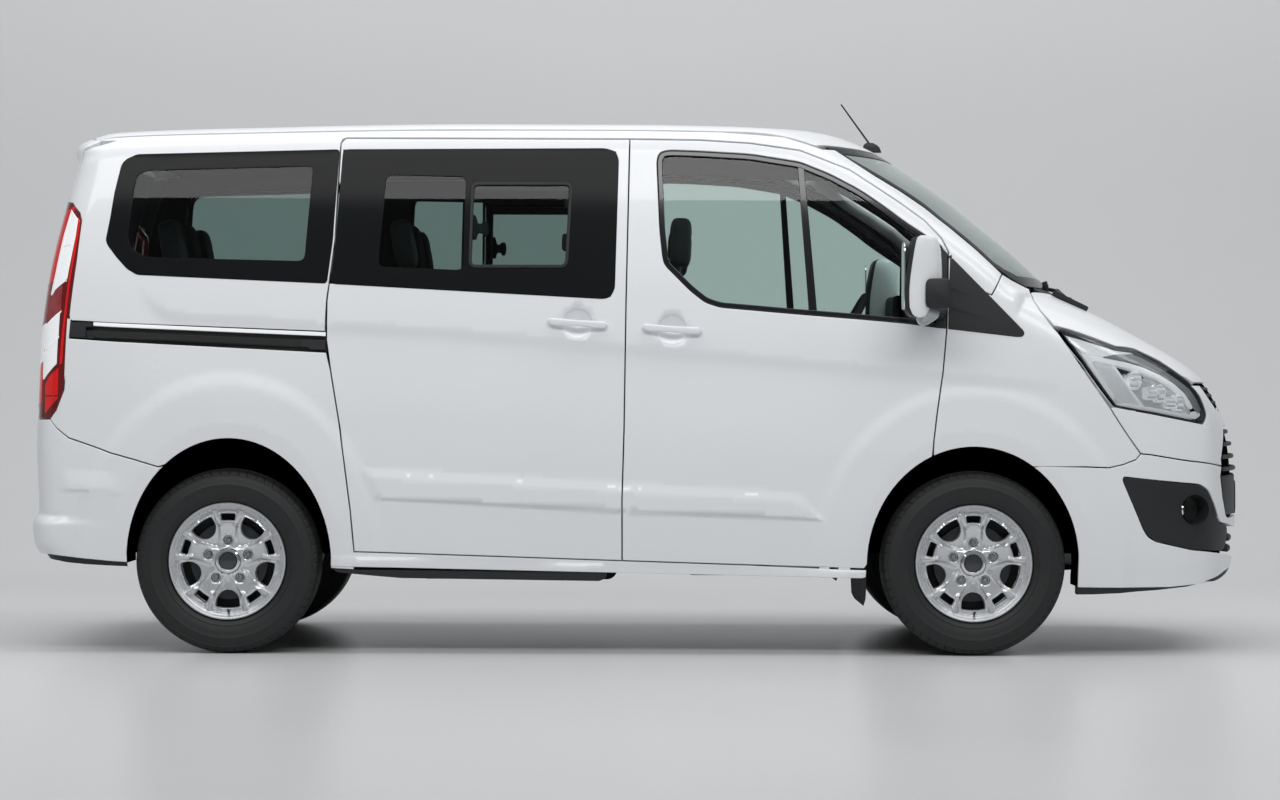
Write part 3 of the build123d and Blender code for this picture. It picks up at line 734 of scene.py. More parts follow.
def start_material(name: str, dark: str, light: str, drift: float, detail: float = 2.0
                   ) -> tuple[bpy.types.Material, bpy.types.NodeSocket, bpy.types.Node, bpy.types.Node]:
    """An empty material with a colour that drifts between two tones.

    Args:
        name: the material's name.
        dark: one tone.
        light: the other tone.
        drift: size of the tone patches in metres.
        detail: octaves in the patches.

    Returns:
        The material, the object coordinates, the patches and the colour.
    """
    material = bpy.data.materials.new(name)
    material.use_nodes = True
    tree = material.node_tree
    tree.nodes.clear()
    place = add_node(tree, "ShaderNodeTexCoord").outputs["Object"]
    patches = add_node(tree, "ShaderNodeTexNoise", {"Scale": 1.0 / drift, "Detail": detail},
                       {"Vector": place})
    colour = add_node(tree, "ShaderNodeMix", {"data_type": "RGBA"}, {0: patches.outputs["Fac"]})
    colour.inputs[6].default_value = tone(dark)
    colour.inputs[7].default_value = tone(light)
    return material, place, patches, colour


@dataclass(frozen=True)
class Finish:
    """A surface whose tone drifts between two close colours, with fine grain.

    Attributes:
        name: the real material.
        dark, light: the two tones.
        drift: size of the tone patches in metres.
        roughness: base roughness.
        metallic: 1 for bare metal.
        coat: clear-coat weight.
        grain: depth of the surface grain in metres.
        grain_size: spacing of the surface grain in metres.
        emission: strength of a painted glow in its own light tone, which keeps an unlit part light in the
            shade.
        sheen: weight of the fibre sheen.
        specular: level of the plain surface reflection.
        one_sided: whether it can be seen through from behind.
    """

    name: str
    dark: str
    light: str
    drift: float = 0.25
    roughness: float = 0.5
    metallic: float = 0.0
    coat: float = 0.0
    grain: float = 0.0
    grain_size: float = 0.002
    emission: float = 0.0
    sheen: float = 0.0
    specular: float = 0.5
    one_sided: bool = False

    def build(self) -> bpy.types.Material:
        """The material, made once.

        Returns:
            The material of this name.
        """
        ready = bpy.data.materials.get(self.name)
        if ready:
            return ready
        material, place, patches, colour = start_material(self.name, self.dark, self.light, self.drift, 3.0)
        tree = material.node_tree
        span = {"To Min": max(0.0, self.roughness * 0.9), "To Max": min(1.0, self.roughness * 1.1)}
        spread = add_node(tree, "ShaderNodeMapRange", span, {"Value": patches.outputs["Fac"]})
        surface = add_node(tree, "ShaderNodeBsdfPrincipled",
                           {"Metallic": self.metallic, "Coat Weight": self.coat, "Coat Roughness": 0.03,
                            "Sheen Weight": self.sheen, "Specular IOR Level": self.specular},
                           {"Base Color": colour.outputs[2], "Roughness": spread.outputs["Result"]})
        # a painted glow in the light tone: unlit parts stay light in the shade
        if self.emission:
            surface.inputs["Emission Color"].default_value = tone(self.light)
            surface.inputs["Emission Strength"].default_value = self.emission
        if self.grain:
            fine = add_node(tree, "ShaderNodeTexNoise", {"Scale": 1.0 / self.grain_size, "Detail": 2.0},
                            {"Vector": place})
            bump = add_node(tree, "ShaderNodeBump", {"Strength": 0.6, "Distance": self.grain},
                            {"Height": fine.outputs["Fac"]})
            tree.links.new(bump.outputs["Normal"], surface.inputs["Normal"])
        shown = surface.outputs[0]
        if self.one_sided:
            behind = add_node(tree, "ShaderNodeNewGeometry").outputs["Backfacing"]
            clear = add_node(tree, "ShaderNodeBsdfTransparent").outputs[0]
            shown = add_node(tree, "ShaderNodeMixShader", {}, {0: behind, 1: shown, 2: clear}).outputs[0]
        add_node(tree, "ShaderNodeOutputMaterial", {}, {"Surface": shown})
        return material


@dataclass(frozen=True)
class Glazing:
    """Tinted glass: light passes straight through, coloured, under a polished surface.

    Attributes:
        name: the real material.
        tint_low, tint_high: the drifting tint of what passes through.
        shine: brightness of the polished reflection.
        index: refractive index behind the reflection's strength.
        drift: size of the tint patches in metres.
        reflection_veil: share of a pale diffuse veil mixed in, a painted reflection of the bright room.
    """

    name: str
    tint_low: str
    tint_high: str
    shine: float = 0.9
    index: float = 1.45
    drift: float = 0.6
    reflection_veil: float = 0.0

    def build(self) -> bpy.types.Material:
        """The material, made once.

        Returns:
            The material of this name.
        """
        ready = bpy.data.materials.get(self.name)
        if ready:
            return ready
        material, _, _, colour = start_material(self.name, self.tint_low, self.tint_high, self.drift)
        tree = material.node_tree
        through = add_node(tree, "ShaderNodeBsdfTransparent", {}, {"Color": colour.outputs[2]})
        polish = add_node(tree, "ShaderNodeBsdfGlossy",
                          {"Color": (self.shine, self.shine, self.shine, 1.0), "Roughness": 0.02})
        edge = add_node(tree, "ShaderNodeFresnel", {"IOR": self.index})
        both = add_node(tree, "ShaderNodeMixShader", {},
                        {0: edge.outputs[0], 1: through.outputs[0], 2: polish.outputs[0]})
        # pale diffuse veil: a painted reflection of the bright room on the glass
        if self.reflection_veil:
            veil = add_node(tree, "ShaderNodeBsdfDiffuse", {}, {"Color": colour.outputs[2]})
            both = add_node(tree, "ShaderNodeMixShader", {0: self.reflection_veil},
                            {1: both.outputs[0], 2: veil.outputs[0]})
        add_node(tree, "ShaderNodeOutputMaterial", {}, {"Surface": both.outputs[0]})
        return material


class Finishes:
    """Every finish on the vehicle."""

    # solid acrylic under clear coat: an even white with a soft sheen
    paint = Finish("white_acrylic_paint", "#E6E8EB", "#EBEDEF", 0.9, 0.36, coat=0.40)
    # black print fired on the glass edge: joins the windows in one flush dark band
    frit = Finish("black_ceramic_print_glass", "#18191A", "#1D1E1F", 0.8, 0.14, specular=0.07)
    # dotted print: softens the band where it meets the clear glass
    frit_soft = Finish("dark_dotted_print_glass", "#2A3030", "#2F3535", 0.8, 0.14, specular=0.10)
    # grey-green tint: the rear seats show dimly behind it
    privacy = Glazing("privacy_tinted_glass", "#AEBFBB", "#B3C3BF", 0.5)
    # pale green tint: a cool cast over the front seats
    clear_glass = Glazing("green_tinted_door_glass", "#DDEBE7", "#E0EDE9", 0.8)
    # laminate with a pale diffuse veil mixed in: a painted reflection of the bright room on the sloping
    # screen
    screen_glass = Glazing("laminated_screen_glass", "#BCCBC7", "#C4D2CE", 1.0, reflection_veil=0.34)
    # moulded-in-colour polypropylene: grain breaks its highlights into a soft black; it is drawn at
    # 1.8 mm, coarser than the real one, so that it shows
    trim = Finish("black_textured_polypropylene", "#17181A", "#1E1F21", 0.12, 0.55, grain=0.0002,
                  grain_size=0.0018)
    # polished moulding: one sharp highlight along a black edge
    gloss_trim = Finish("gloss_black_moulding", "#101113", "#151618", 0.2, 0.16, coat=0.4)
    # thick enamel: metal that stays dark in gaps and under the sills
    chassis_black = Finish("black_chassis_enamel", "#0A0B0B", "#101112", 0.08, 0.6, specular=0.2)
    # rubber: a matt black line round an opening
    seal = Finish("black_epdm_rubber_seal", "#0E0F10", "#141516", 0.04, 0.6)
    # tyre rubber: dark grey, with a dull gleam on the shoulder; its 4 mm mottle is coarser than the
    # real one, so that it shows
    tyre = Finish("black_tyre_rubber", "#161718", "#1C1D1E", 0.09, 0.62, grain=0.0003, grain_size=0.004)
    # lacquered casting: pale silver spokes with soft highlights
    alloy = Finish("silver_lacquered_cast_alloy", "#CDCFD1", "#D8DADC", 0.06, 0.28, metallic=0.6, coat=0.5)
    # plated steel: small bright points on the wheels and the headrest posts
    nut = Finish("plated_wheel_nut_steel", "#9EA0A3", "#B4B6B9", 0.02, 0.25, metallic=1.0)
    # machined iron: a dark turned gleam behind the spokes
    disc = Finish("machined_brake_disc_iron", "#3A3C3E", "#4A4C4F", 0.03, 0.42, metallic=0.9)
    # enamel: the plain dark caps and badge plate
    cap = Finish("graphite_enamel_cap", "#2A2C30", "#303338", 0.01, 0.25, coat=0.8)
    # vapour-coated metal: mirror-bright, it shows the room
    chrome = Finish("bright_vapour_metal_reflector", "#D9DBDD", "#E6E8EA", 0.02, 0.08, metallic=1.0)
    # satin-coated plastic: an even silver, with a painted glow that keeps it light in the shade
    satin = Finish("satin_silver_lamp_bezel_painted_glow", "#CDD0D2", "#E2E4E6", 0.03, 0.26, metallic=0.2, emission=0.22)
    # polycarbonate: nearly unseen but for a hard reflection
    lens = Glazing("clear_polycarbonate_lens", "#F4F6F7", "#F8F9FA", 0.9)
    # acrylic: the strongest red of the rear lamp, with a painted glow though the lamp is unlit
    red_lens = Finish("red_acrylic_lens_painted_glow", "#C40A08", "#E0120E", 0.03, 0.15, coat=0.9, emission=0.12)
    # thick acrylic: an unlit, nearly black red
    deep_red_lens = Finish("dark_red_acrylic_lens", "#5B0A0D", "#74090D", 0.03, 0.15, coat=0.9)
    # smoked acrylic: a dull red between the other two
    mid_red_lens = Finish("smoked_red_acrylic_lens", "#7A1A1C", "#A8484A", 0.05, 0.15, coat=0.9)
    # faceted metal coating: sparkle behind the clear lens, with a painted glow that keeps it light in the
    # shade
    chamber = Finish("silvered_faceted_reflector_painted_glow", "#A9ADB0", "#E0E3E5", 0.012, 0.14, metallic=0.5,
                     emission=0.14)
    # coated barrel: light rings, kept light by a painted glow, that keep the reflectors readable
    lamp_chrome = Finish("vapour_metal_lamp_barrel_painted_glow", "#D5D8DA", "#ECEEF0", 0.01, 0.10, metallic=0.7,
                         emission=0.25)
    # smoked plastic: a grey step between the clear and the silver parts
    smoke = Finish("smoked_grey_lamp_shade", "#85898B", "#A6AAAC", 0.03, 0.2, coat=0.6)
    # plain plastic: an empty plate holder, a little lighter than the trim
    plate = Finish("blank_plate_holder", "#1C1D1F", "#212224", 0.1, 0.35)
    # ribbed acrylic: pale lamp cells, with a painted glow that keeps them light in the shade
    white_lens = Finish("clear_ribbed_acrylic_lens_painted_glow", "#DDE0E2", "#ECEEF0", 0.01, 0.16, coat=0.9,
                        emission=0.28)
    # frosted acrylic: the small lamp below the mirror
    grey_lens = Finish("grey_repeater_lamp_lens", "#8B9194", "#A3A9AC", 0.012, 0.15, coat=0.9)
    # woven cloth: fibres that catch a faint light rim on the pads; its 1.6 mm weave is coarser than
    # the real one, so that it shows
    cloth = Finish("dark_grey_woven_seat_cloth", "#26282A", "#313335", 0.015, 0.9, grain=0.0006,
                   grain_size=0.0016, sheen=0.3)
    # grained plastic: the dark of the dashboard and the seat bases
    cabin = Finish("dark_grained_cabin_plastic", "#202325", "#272A2C", 0.1, 0.8, specular=0.2)
    # foam-backed cloth, a dark grey pushed near black as painted shade: the shade of the cabin roof, with no
    # highlight
    lining = Finish("dark_lining_cloth_painted_shade", "#15191A", "#171B1C", 0.2, 0.98, specular=0.02)
    # felt: the real black liners, darkened to near black as painted shade, so that wheel openings and the
    # space behind grille and mouth read as black holes
    liner = Finish("black_felt_liner_painted_shade", "#020202", "#030404", 0.05, 0.98, specular=0.01)
    # black wax, darkened further as painted shade: floor and rails read as the shade under the body, which no
    # gap gives away
    underbody = Finish("black_chassis_wax_painted_shade", "#070808", "#0B0C0C", 0.15, 0.8, specular=0.08)
    # bare casting: dark parts with a dull metal edge
    steel = Finish("cast_steel_parts", "#1E2022", "#2A2C2E", 0.05, 0.6, metallic=0.6)
    # aluminised steel: the lighter tube below the floor
    pipe = Finish("aluminised_pipe_steel", "#77797B", "#8A8C8E", 0.1, 0.4, metallic=0.9)
    # blow-moulded plastic: a smooth dark block below the floor
    tank = Finish("black_blow_moulded_tank", "#0B0C0C", "#121314", 0.1, 0.6, specular=0.2)
    # rolled metal edge: a thin light line, with a painted glow that keeps it bright as a painted highlight
    bright = Finish("light_edge_painted_glow", "#EDEFF1", "#F6F7F8", 0.2, 0.25, coat=0.6, emission=0.22)
    # painted floor: a pale ground with a soft reflection, clear from below
    floor = Finish("pale_studio_floor", "#D0D1D2", "#D6D7D8", 2.5, 0.30, specular=0.35, one_sided=True)


# ---------------------------------------------------------------- making and placing pieces
class Hand(Enum):
    """Side of the vehicle a piece belongs to."""

    RIGHT = "right"
    LEFT = "left"


class Workshop:
    """Makes pieces on the body form and fixes them to the frame's bodies."""

    def __init__(self, form: BodyForm) -> None:
        """Lay the sheets that pieces are drawn on.

        Args:
            form: the body form.
        """
        self.form = form
        self.belt = Belt(form)
        self.rear_belt = Belt(form, from_rear=True)
        self.top = Top(form)
        self.count = 0

    def attach(self, obj: bpy.types.Object, body: str, replaces: Sequence[str] = ()) -> bpy.types.Object:
        """Fix a finished object to a body.

        Args:
            obj: the object, in place.
            body: name of the CAD body it moves with.
            replaces: CAD nodes it stands for.

        Returns:
            The object.
        """
        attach(obj, body)
        if replaces:
            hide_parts(*replaces)
        self.count += 1
        LOG.info("piece %s on %s", obj.name, body)
        return obj

    def piece(self, name: str, bm: Mesh, finish: Finish | Glazing, body: str,
              replaces: Sequence[str] = (), slot: str | None = None, smooth: bool = True,
              sharp_angle: float = 0.6, merge: float = 1e-5) -> bpy.types.Object:
        """Turn a bmesh into a placed piece with clean normals.

        Args:
            name: piece name.
            bm: the shape, which is used up.
            finish: what it is made of.
            body: name of the CAD body it moves with.
            replaces: CAD nodes it stands for.
            slot: material slot of the record that it shows; not used.
            smooth: whether its faces are shaded smooth.
            sharp_angle: bend in radians from which an edge stays sharp.
            merge: distance within which points are joined.

        Returns:
            The object.
        """
        bmesh.ops.remove_doubles(bm, verts=bm.verts, dist=merge)
        bmesh.ops.recalc_face_normals(bm, faces=bm.faces)
        for face in bm.faces:
            face.smooth = smooth
        for edge in bm.edges:
            if len(edge.link_faces) == 2:
                edge.smooth = edge.calc_face_angle(0.0) < sharp_angle
        mesh = bpy.data.meshes.new(name)
        bm.to_mesh(mesh)
        bm.free()
        mesh.materials.append(finish.build())
        obj = bpy.data.objects.new(name, mesh)
        bpy.context.scene.collection.objects.link(obj)
        return self.attach(obj, body, replaces)

    def both(self, make: Callable[[str], Mesh], name: str, finish: Finish | Glazing, body: str,
             **options: object) -> None:
        """A right-hand piece and its mirror image on the left; {} in names takes the hand.

        Args:
            make: gives the right-hand shape, from the hand's name.
            name: piece name without its hand.
            finish: what it is made of.
            body: body it moves with.
            options: passed on to piece.
        """
        for hand in Hand:
            bm = make(hand.value)
            if hand is Hand.LEFT:
                mirror_y(bm)
            chosen = {key: [n.format(hand.value) for n in value] if key == "replaces" else value
                      for key, value in options.items()}
            self.piece(f"{name}_{hand.value}", bm, finish, body.format(hand.value), **chosen)

    def skin(self, name: str, chart: Chart, outline: Outline, finish: Finish | Glazing, body: str,
             holes: Sequence[Outline] = (), lines: Sequence[Outline] = (), pitch: float = 0.022,
             gap: float = 0.0025, lip: float = 0.003, rim: float = 0.018, depth: float = 0.0,
             inner_finish: Finish | None = None, hands: Sequence[Hand] = (Hand.RIGHT,),
             box_pitch: tuple[float, float] | None = None, bulge: Bulge | None = None,
             **options: object) -> list[bpy.types.Object]:
        """A panel laid on the form, with rolled edges.

        Args:
            name: piece name; the hand is added if it is made for both.
            chart: sheet the outline is drawn on.
            outline: outer edge.
            finish: outer finish.
            body: body it moves with; {} takes the hand.
            holes: openings.
            lines: feature lines that the surface follows.
            pitch: spacing of the surface points.
            gap: half the gap to the neighbours.
            lip: radius of the rolled edge.
            rim: depth of the turned-in flange.
            depth: how far below the form the panel lies.
            inner_finish: finish of the flange.
            hands: sides it is made for.
            box_pitch: uneven spacing of the points.
            bulge: extra outward offset at places in side view.
            options: replaces, for attach; a slot among them is not used.

        Returns:
            The pieces.
        """
        shrink = gap + lip
        outer = inset(outline, shrink) if shrink else list(outline)
        inner = [inset(hole, -shrink) if shrink else list(hole) for hole in holes]
        flat, triangles = fill_outline(outer, inner, lines, pitch, box_pitch)
        point, normal = chart.frame(flat[:, 0], flat[:, 1])
        if bulge is not None:
            point = point + normal * bulge(point[:, 0], point[:, 2])[:, None]
        point = point - normal * depth
        bm = bmesh.new()
        layer = bm.verts.layers.float_vector.new("facing")
        verts = []
        for p, n in zip(point, normal):
            vert = bm.verts.new(p)
            vert[layer] = Vector(n)
            verts.append(vert)
        a, b, c = (point[[t[k] for t in triangles]] for k in range(3))
        if np.sum(np.cross(b - a, c - a) * normal[[t[0] for t in triangles]]) < 0:
            triangles = [t[::-1] for t in triangles]
        for t in triangles:
            bm.faces.new([verts[k] for k in t])
        for vert in [v for v in verts if not v.link_faces]:
            bm.verts.remove(vert)
        if lip or rim:
            self.roll_edge(bm, layer, lip, rim, inner_finish is not None)
        made = []
        for hand in hands:
            mesh = bpy.data.meshes.new(name)
            bm.to_mesh(mesh)
            facing = np.zeros(len(mesh.vertices) * 3, np.float32)
            mesh.attributes["facing"].data.foreach_get("vector", facing)
            facing = facing.reshape(-1, 3)
            if hand is Hand.LEFT:
                mesh.transform(Matrix.Diagonal((1.0, -1.0, 1.0, 1.0)))
                mesh.flip_normals()
                facing = facing * (1.0, -1.0, 1.0)
            mesh.attributes.remove(mesh.attributes["facing"])
            mesh.shade_smooth()
            mesh.normals_split_custom_set_from_vertices([tuple(n) for n in facing])
            mesh.materials.append(finish.build())
            if inner_finish is not None:
                mesh.materials.append(inner_finish.build())
            full = f"{name}_{hand.value}" if len(hands) > 1 else name
            obj = bpy.data.objects.new(full, mesh)
            bpy.context.scene.collection.objects.link(obj)
            nodes = [n.format(hand.value) for n in options.get("replaces", ())]
            made.append(self.attach(obj, body.format(hand.value), nodes))
        bm.free()
        return made

    @staticmethod
    def roll_edge(bm: Mesh, layer: object, lip: float, rim: float, second_material: bool) -> None:
        """Turn every free edge of a panel inward round a small radius, then down as a flange.

        Args:
            bm: the panel.
            layer: point layer that holds the outward normals.
            lip: radius of the turn.
            rim: depth of the flange.
            second_material: whether the flange takes the second material.
        """
        edges = [e for e in bm.edges if len(e.link_faces) == 1]
        outward: dict[int, Vector] = {}
        place: dict[int, Vector] = {}
        facing: dict[int, Vector] = {}
        bm.verts.index_update()
        for edge in edges:
            loop = edge.link_loops[0]
            start, stop = loop.vert, loop.link_loop_next.vert
            along = (stop.co - start.co).normalized()
            for vert in (start, stop):
                away = along.cross(vert[layer])
                outward[vert.index] = outward.get(vert.index, Vector()) + away
                place[vert.index] = vert.co.copy()
                facing[vert.index] = vert[layer].copy()
        for key, value in outward.items():
            size = value.length
            value.normalize()
            value *= 1.0 / max(0.6, min(1.0, size / 2.0 if size > 1e-6 else 1.0))
        origin = {v: v.index for e in edges for v in e.verts}
        stages = [(math.radians(a), 0.0, 0) for a in (30.0, 60.0, 90.0)] if lip else []
        if rim:
            stages += [(math.pi / 2, min(0.005, rim * 0.3), 0), (math.pi / 2, rim, 1)]
        for angle, drop, part in stages:
            grown = bmesh.ops.extrude_edge_only(bm, edges=edges)["geom"]
            fresh = {item for item in grown if isinstance(item, bmesh.types.BMVert)}
            follow = {}
            for vert in fresh:
                for edge in vert.link_edges:
                    other = edge.other_vert(vert)
                    if other in origin and other not in fresh:
                        follow[vert] = origin[other]
                        break
            for vert, key in follow.items():
                out, up = outward[key], facing[key]
                sunk = lip * (1 - math.cos(angle)) + drop
                vert.co = place[key] + out * (lip * math.sin(angle)) - up * sunk
                vert[layer] = up * math.cos(angle) + out.normalized() * math.sin(angle)
            for item in grown:
                if isinstance(item, bmesh.types.BMFace) and part and second_material:
                    item.material_index = 1
            edges = [item for item in grown if isinstance(item, bmesh.types.BMEdge)
                     and item.verts[0] in fresh and item.verts[1] in fresh]
            origin = follow


def shift(bm: Mesh, by: Sequence[float], verts: Iterable[bmesh.types.BMVert] | None = None) -> None:
    """Move a shape, or some of its points."""
    bmesh.ops.translate(bm, vec=by, verts=bm.verts if verts is None else verts)


def rotate(bm: Mesh, degrees: float, axis: str, verts: Iterable[bmesh.types.BMVert] | None = None) -> None:
    """Turn a shape, or some of its points, about an axis through the origin."""
    bmesh.ops.rotate(bm, matrix=Matrix.Rotation(math.radians(degrees), 3, axis),
                     verts=bm.verts if verts is None else verts)


def mirror_y(bm: Mesh) -> None:
    """Reflect a bmesh across the middle of the vehicle."""
    bmesh.ops.transform(bm, matrix=Matrix.Diagonal((1.0, -1.0, 1.0, 1.0)), verts=bm.verts)
    bmesh.ops.reverse_faces(bm, faces=bm.faces)


# ---------------------------------------------------------------- painted body
PAINT_SLOT = {"slot": "body_paint"}
ROOF_SEAM = 0.770
GATE_HALF = 0.788


def arc_x(radius: float, y: float) -> float:
    """X of a curve round the screen's upright axis."""
    return SCREEN_AXIS_X + math.sqrt(radius ** 2 - y * y)


def roof_end_x(y: Array) -> Array:
    """X of the seam between roof and tailgate."""
    return -2.14 - 0.045 * (1 - (y / ROOF_SEAM) ** 4)


def both_halves(half: Outline) -> Rows:
    """A closed outline seen from above, from its half at negative Y."""
    return half + [(x, -y) for x, y in reversed(half) if abs(y) > 1e-6]


def mirrored_outline(half: Outline) -> Rows:
    """A closed outline from its right half, drawn from the middle line and back to it."""
    rows = [tuple(p) for p in half]
    return rows + [(-u, v) for u, v in reversed(rows) if abs(u) > 1e-6]


@dataclass
class BodyShell:
    """White panels of the body: sides, doors, wings, roof, bonnet, nose, bumpers and tailgate."""

    shop: Workshop
    pitch: float = 0.022

    def side_lines(self, low_x: float, high_x: float, chart: Belt) -> list[Rows]:
        """Crease and moulding lines between two places along the side.

        Args:
            low_x: rear end of the lines.
            high_x: front end of the lines.
            chart: sheet they are drawn on.

        Returns:
            Open lines in sheet coordinates.
        """
        lines = []
        for drop in (0.0, 0.018, 0.050):
            rows = densify(CREASE[:-2], 0.04, closed=False)
            lines.append([(x, z - drop) for x, z in rows if low_x < x < high_x])
        for share in (0.0, 1.0):
            rows = self.bevel_ring(MOULDING, share)
            dense = densify(rows, 0.02)
            run: Rows = []
            for spot in dense + dense[:1]:
                if low_x < spot[0] < high_x:
                    run.append(spot)
                elif run:
                    lines.append(run)
                    run = []
            if run:
                lines.append(run)
        return [chart.side(rows) for rows in lines if len(rows) > 1]

    def bevel_ring(self, rows: Outline, share: float) -> Rows:
        """The moulding's edge moved in by a share of each edge's own bevel width.

        Args:
            rows: the moulding's outline.
            share: 0 at the outer edge and 1 at the flat.

        Returns:
            The ring, point for point.
        """
        moved = []
        widths = [w * share for w in Relief.moulding_bevels]
        turn = 1.0 if area_of(rows) > 0 else -1.0
        for k, point in enumerate(rows):
            sides = []
            ends = ((rows[k - 1], point, widths[k - 1]), (point, rows[(k + 1) % len(rows)], widths[k]))
            for a, b, w in ends:
                length = math.hypot(b[0] - a[0], b[1] - a[1])
                n = (-(b[1] - a[1]) / length * turn, (b[0] - a[0]) / length * turn)
                sides.append((n, w))
            (n1, w1), (n2, w2) = sides
            cross = n1[0] * n2[1] - n1[1] * n2[0]
            if abs(cross) < 0.05:
                moved.append((point[0] + n1[0] * w1, point[1] + n1[1] * w1))
            else:
                moved.append((point[0] + (w1 * n2[1] - w2 * n1[1]) / cross,
                              point[1] + (n1[0] * w2 - n2[0] * w1) / cross))
        return moved

    def cup_lines(self, centre: tuple[float, float], chart: Belt) -> list[Rows]:
        """Circles round a handle cup.

        Args:
            centre: X and Z of the cup.
            chart: sheet they are drawn on.

        Returns:
            Closed lines in sheet coordinates.
        """
        lines = []
        for radius in (0.0585, 0.0565, 0.051, 0.040):
            ring = [(centre[0] + radius * math.cos(a), centre[1] + radius * math.sin(a))
                    for a in np.linspace(0, 2 * math.pi, 33)]
            lines.append(chart.side(ring))
        return lines

    def flare_lines(self, arch: Arch, start: float, stop: float, chart: Belt) -> list[Rows]:
        """Lines along the lip and the shoulders of a flare."""
        reaches = (0.030, 0.052, 0.178, 0.213, 0.248)
        return [chart.side(arch_line(arch, start, stop, 40, grow)) for grow in reaches]

    def build_side(self) -> None:
        """Side panels above and below the sliding door's rail."""
        belt, form = self.shop.belt, self.shop.form
        seam_x = np.array([0.70, 0.55, 0.30, 0.0, -0.5, -1.0, -1.5, -1.9, -2.05, -2.14])
        seam = form.meet(np.stack([seam_x, np.full(10, -ROOF_SEAM), np.full(10, 0.9)], 1),
                         np.tile((0.0, 0.0, 1.0), (10, 1)), 1.4)
        gate_z = np.array([1.990, 1.95, 1.90, 1.82, 1.745])
        gate = self.gate_edge(gate_z)
        upper = belt.side(mm([(-1223, 1242), (-1222, 1300), (-1219, 1364), (-1210, 1430), (-1190, 1597),
                              (-1177, 1979)]))
        upper += belt.side(mm([(-1170, 1995), (-1155, 2000), (-53, 2000)]) + FRONT_DOOR[1:9]
                           + mm([(1176, 1450), (1345, 1393), (1393, 1478)]) + SCREEN_EDGE[5::-1])
        upper += [tuple(r) for r in belt.coords(seam)]
        upper += [tuple(r) for r in belt.coords(gate)]
        upper += belt.side(LAMP_FRONT[::-1][:8] + mm([(-2212, 1281)]))
        both = {"hands": tuple(Hand), "replaces": ["side_panel_{}"], **PAINT_SLOT}
        opening = belt.side(inset(soften(QUARTER_CLEAR, 0.03), -0.015))
        self.shop.skin("side_panel_upper", belt, upper, Finishes.paint, "shell", pitch=self.pitch, rim=0.055,
                       holes=[opening], lines=self.side_lines(-1.97, -1.24, belt), **both)
        lower = belt.side(mm([(-2222, 1215)]) + LAMP_FRONT[4::-1] + BUMPER_EDGE[::-1][1:])
        lower += belt.side(arch_line(REAR_ARCH, 128.0, 2.0, 34))
        lower += belt.side(mm([(-1203, 351), (-1203, 335), (849, 295), (866, 300), (868, 333), (-77, 362),
                               (-1110, 394)]))
        lower += belt.side(mm([(-1124, 556), (-1163, 864), (-1202, 1094), (-1219, 1163)]))
        sill = belt.side(mm([(-1195, 378), (-1115, 376)]))
        self.shop.skin("side_panel_lower", belt, lower, Finishes.paint, "shell", pitch=self.pitch, rim=0.055,
                       lines=self.flare_lines(REAR_ARCH, 20, 124, belt) + [sill], **both)

    def gate_edge(self, heights: Array, half: float = GATE_HALF + 0.006) -> Array:
        """Points on the tail along the tailgate's side gap, right side.

        Args:
            heights: height of each point.
            half: distance from the middle line.

        Returns:
            One point per height.
        """
        count = len(heights)
        return self.shop.form.meet(np.stack([np.full(count, -1.7), np.full(count, -half), heights], 1),
                                   np.tile((-1.0, 0.0, 0.0), (count, 1)), 1.0)

    def build_doors(self) -> None:
        """Sliding doors and front doors."""
        belt = self.shop.belt
        self.shop.skin("sliding_door_panel", belt, belt.side(SLIDING_DOOR), Finishes.paint, "shell",
                       holes=[belt.side(SLIDING_GLASS)], pitch=self.pitch, rim=0.05,
                       lines=self.side_lines(-1.195, -0.09, belt) + self.cup_lines(HANDLES[0], belt),
                       hands=tuple(Hand), replaces=["sliding_door_{}"], **PAINT_SLOT)
        foot = arch_line(FRONT_ARCH, 113.5, 180.0, 16) + mm([(858, 334)])
        door = FRONT_DOOR + foot + FRONT_DOOR_REAR
        self.shop.skin("front_door_panel", belt, belt.side(door), Finishes.paint, "door_{}",
                       holes=[belt.side(soften(FRONT_WINDOW, 0.02))], pitch=self.pitch, rim=0.05,
                       lines=self.side_lines(-0.05, 1.14, belt) + self.cup_lines(HANDLES[1], belt)
                       + self.flare_lines(FRONT_ARCH, 126, 168, belt),
                       hands=tuple(Hand), replaces=["front_door_{}"], **PAINT_SLOT)

    def build_wings(self) -> None:
        """Front wings with the foot of the windscreen pillar."""
        belt = self.shop.belt
        rows = mm([(1121, 833), (1135, 949), (1155, 1083), (1170, 1256), (1175, 1411), (1176, 1450),
                   (1345, 1393), (1393, 1478)])
        rows += SCREEN_EDGE[7:] + WING_FRONT[:-1] + arch_line(FRONT_ARCH, 56.5, 113.0, 20)
        crease = densify([(1.20, 1.0853), (1.604, 1.046)], 0.04, closed=False)
        lines = [belt.side([(x, z - drop) for x, z in crease]) for drop in (0, 0.018, 0.05)]
        lines += self.flare_lines(FRONT_ARCH, 60, 106, belt)
        self.shop.skin("front_wing_skin", belt, belt.side(rows), Finishes.paint, "shell", pitch=0.020,
                       rim=0.02, lines=lines, hands=tuple(Hand), replaces=["front_wing_{}"], **PAINT_SLOT)

    def build_roof(self) -> None:
        """Roof between the two side seams, back to the tailgate."""
        y = np.linspace(-ROOF_SEAM, ROOF_SEAM, 19)
        front = [(arc_x(1.128, v), v) for v in y]
        back = [(roof_end_x(v), v) for v in y[::-1]]
        self.shop.skin("roof_skin", self.shop.top, front + back, Finishes.paint, "shell", pitch=0.035,
                       rim=0.03, replaces=["roof_panel"], **PAINT_SLOT)

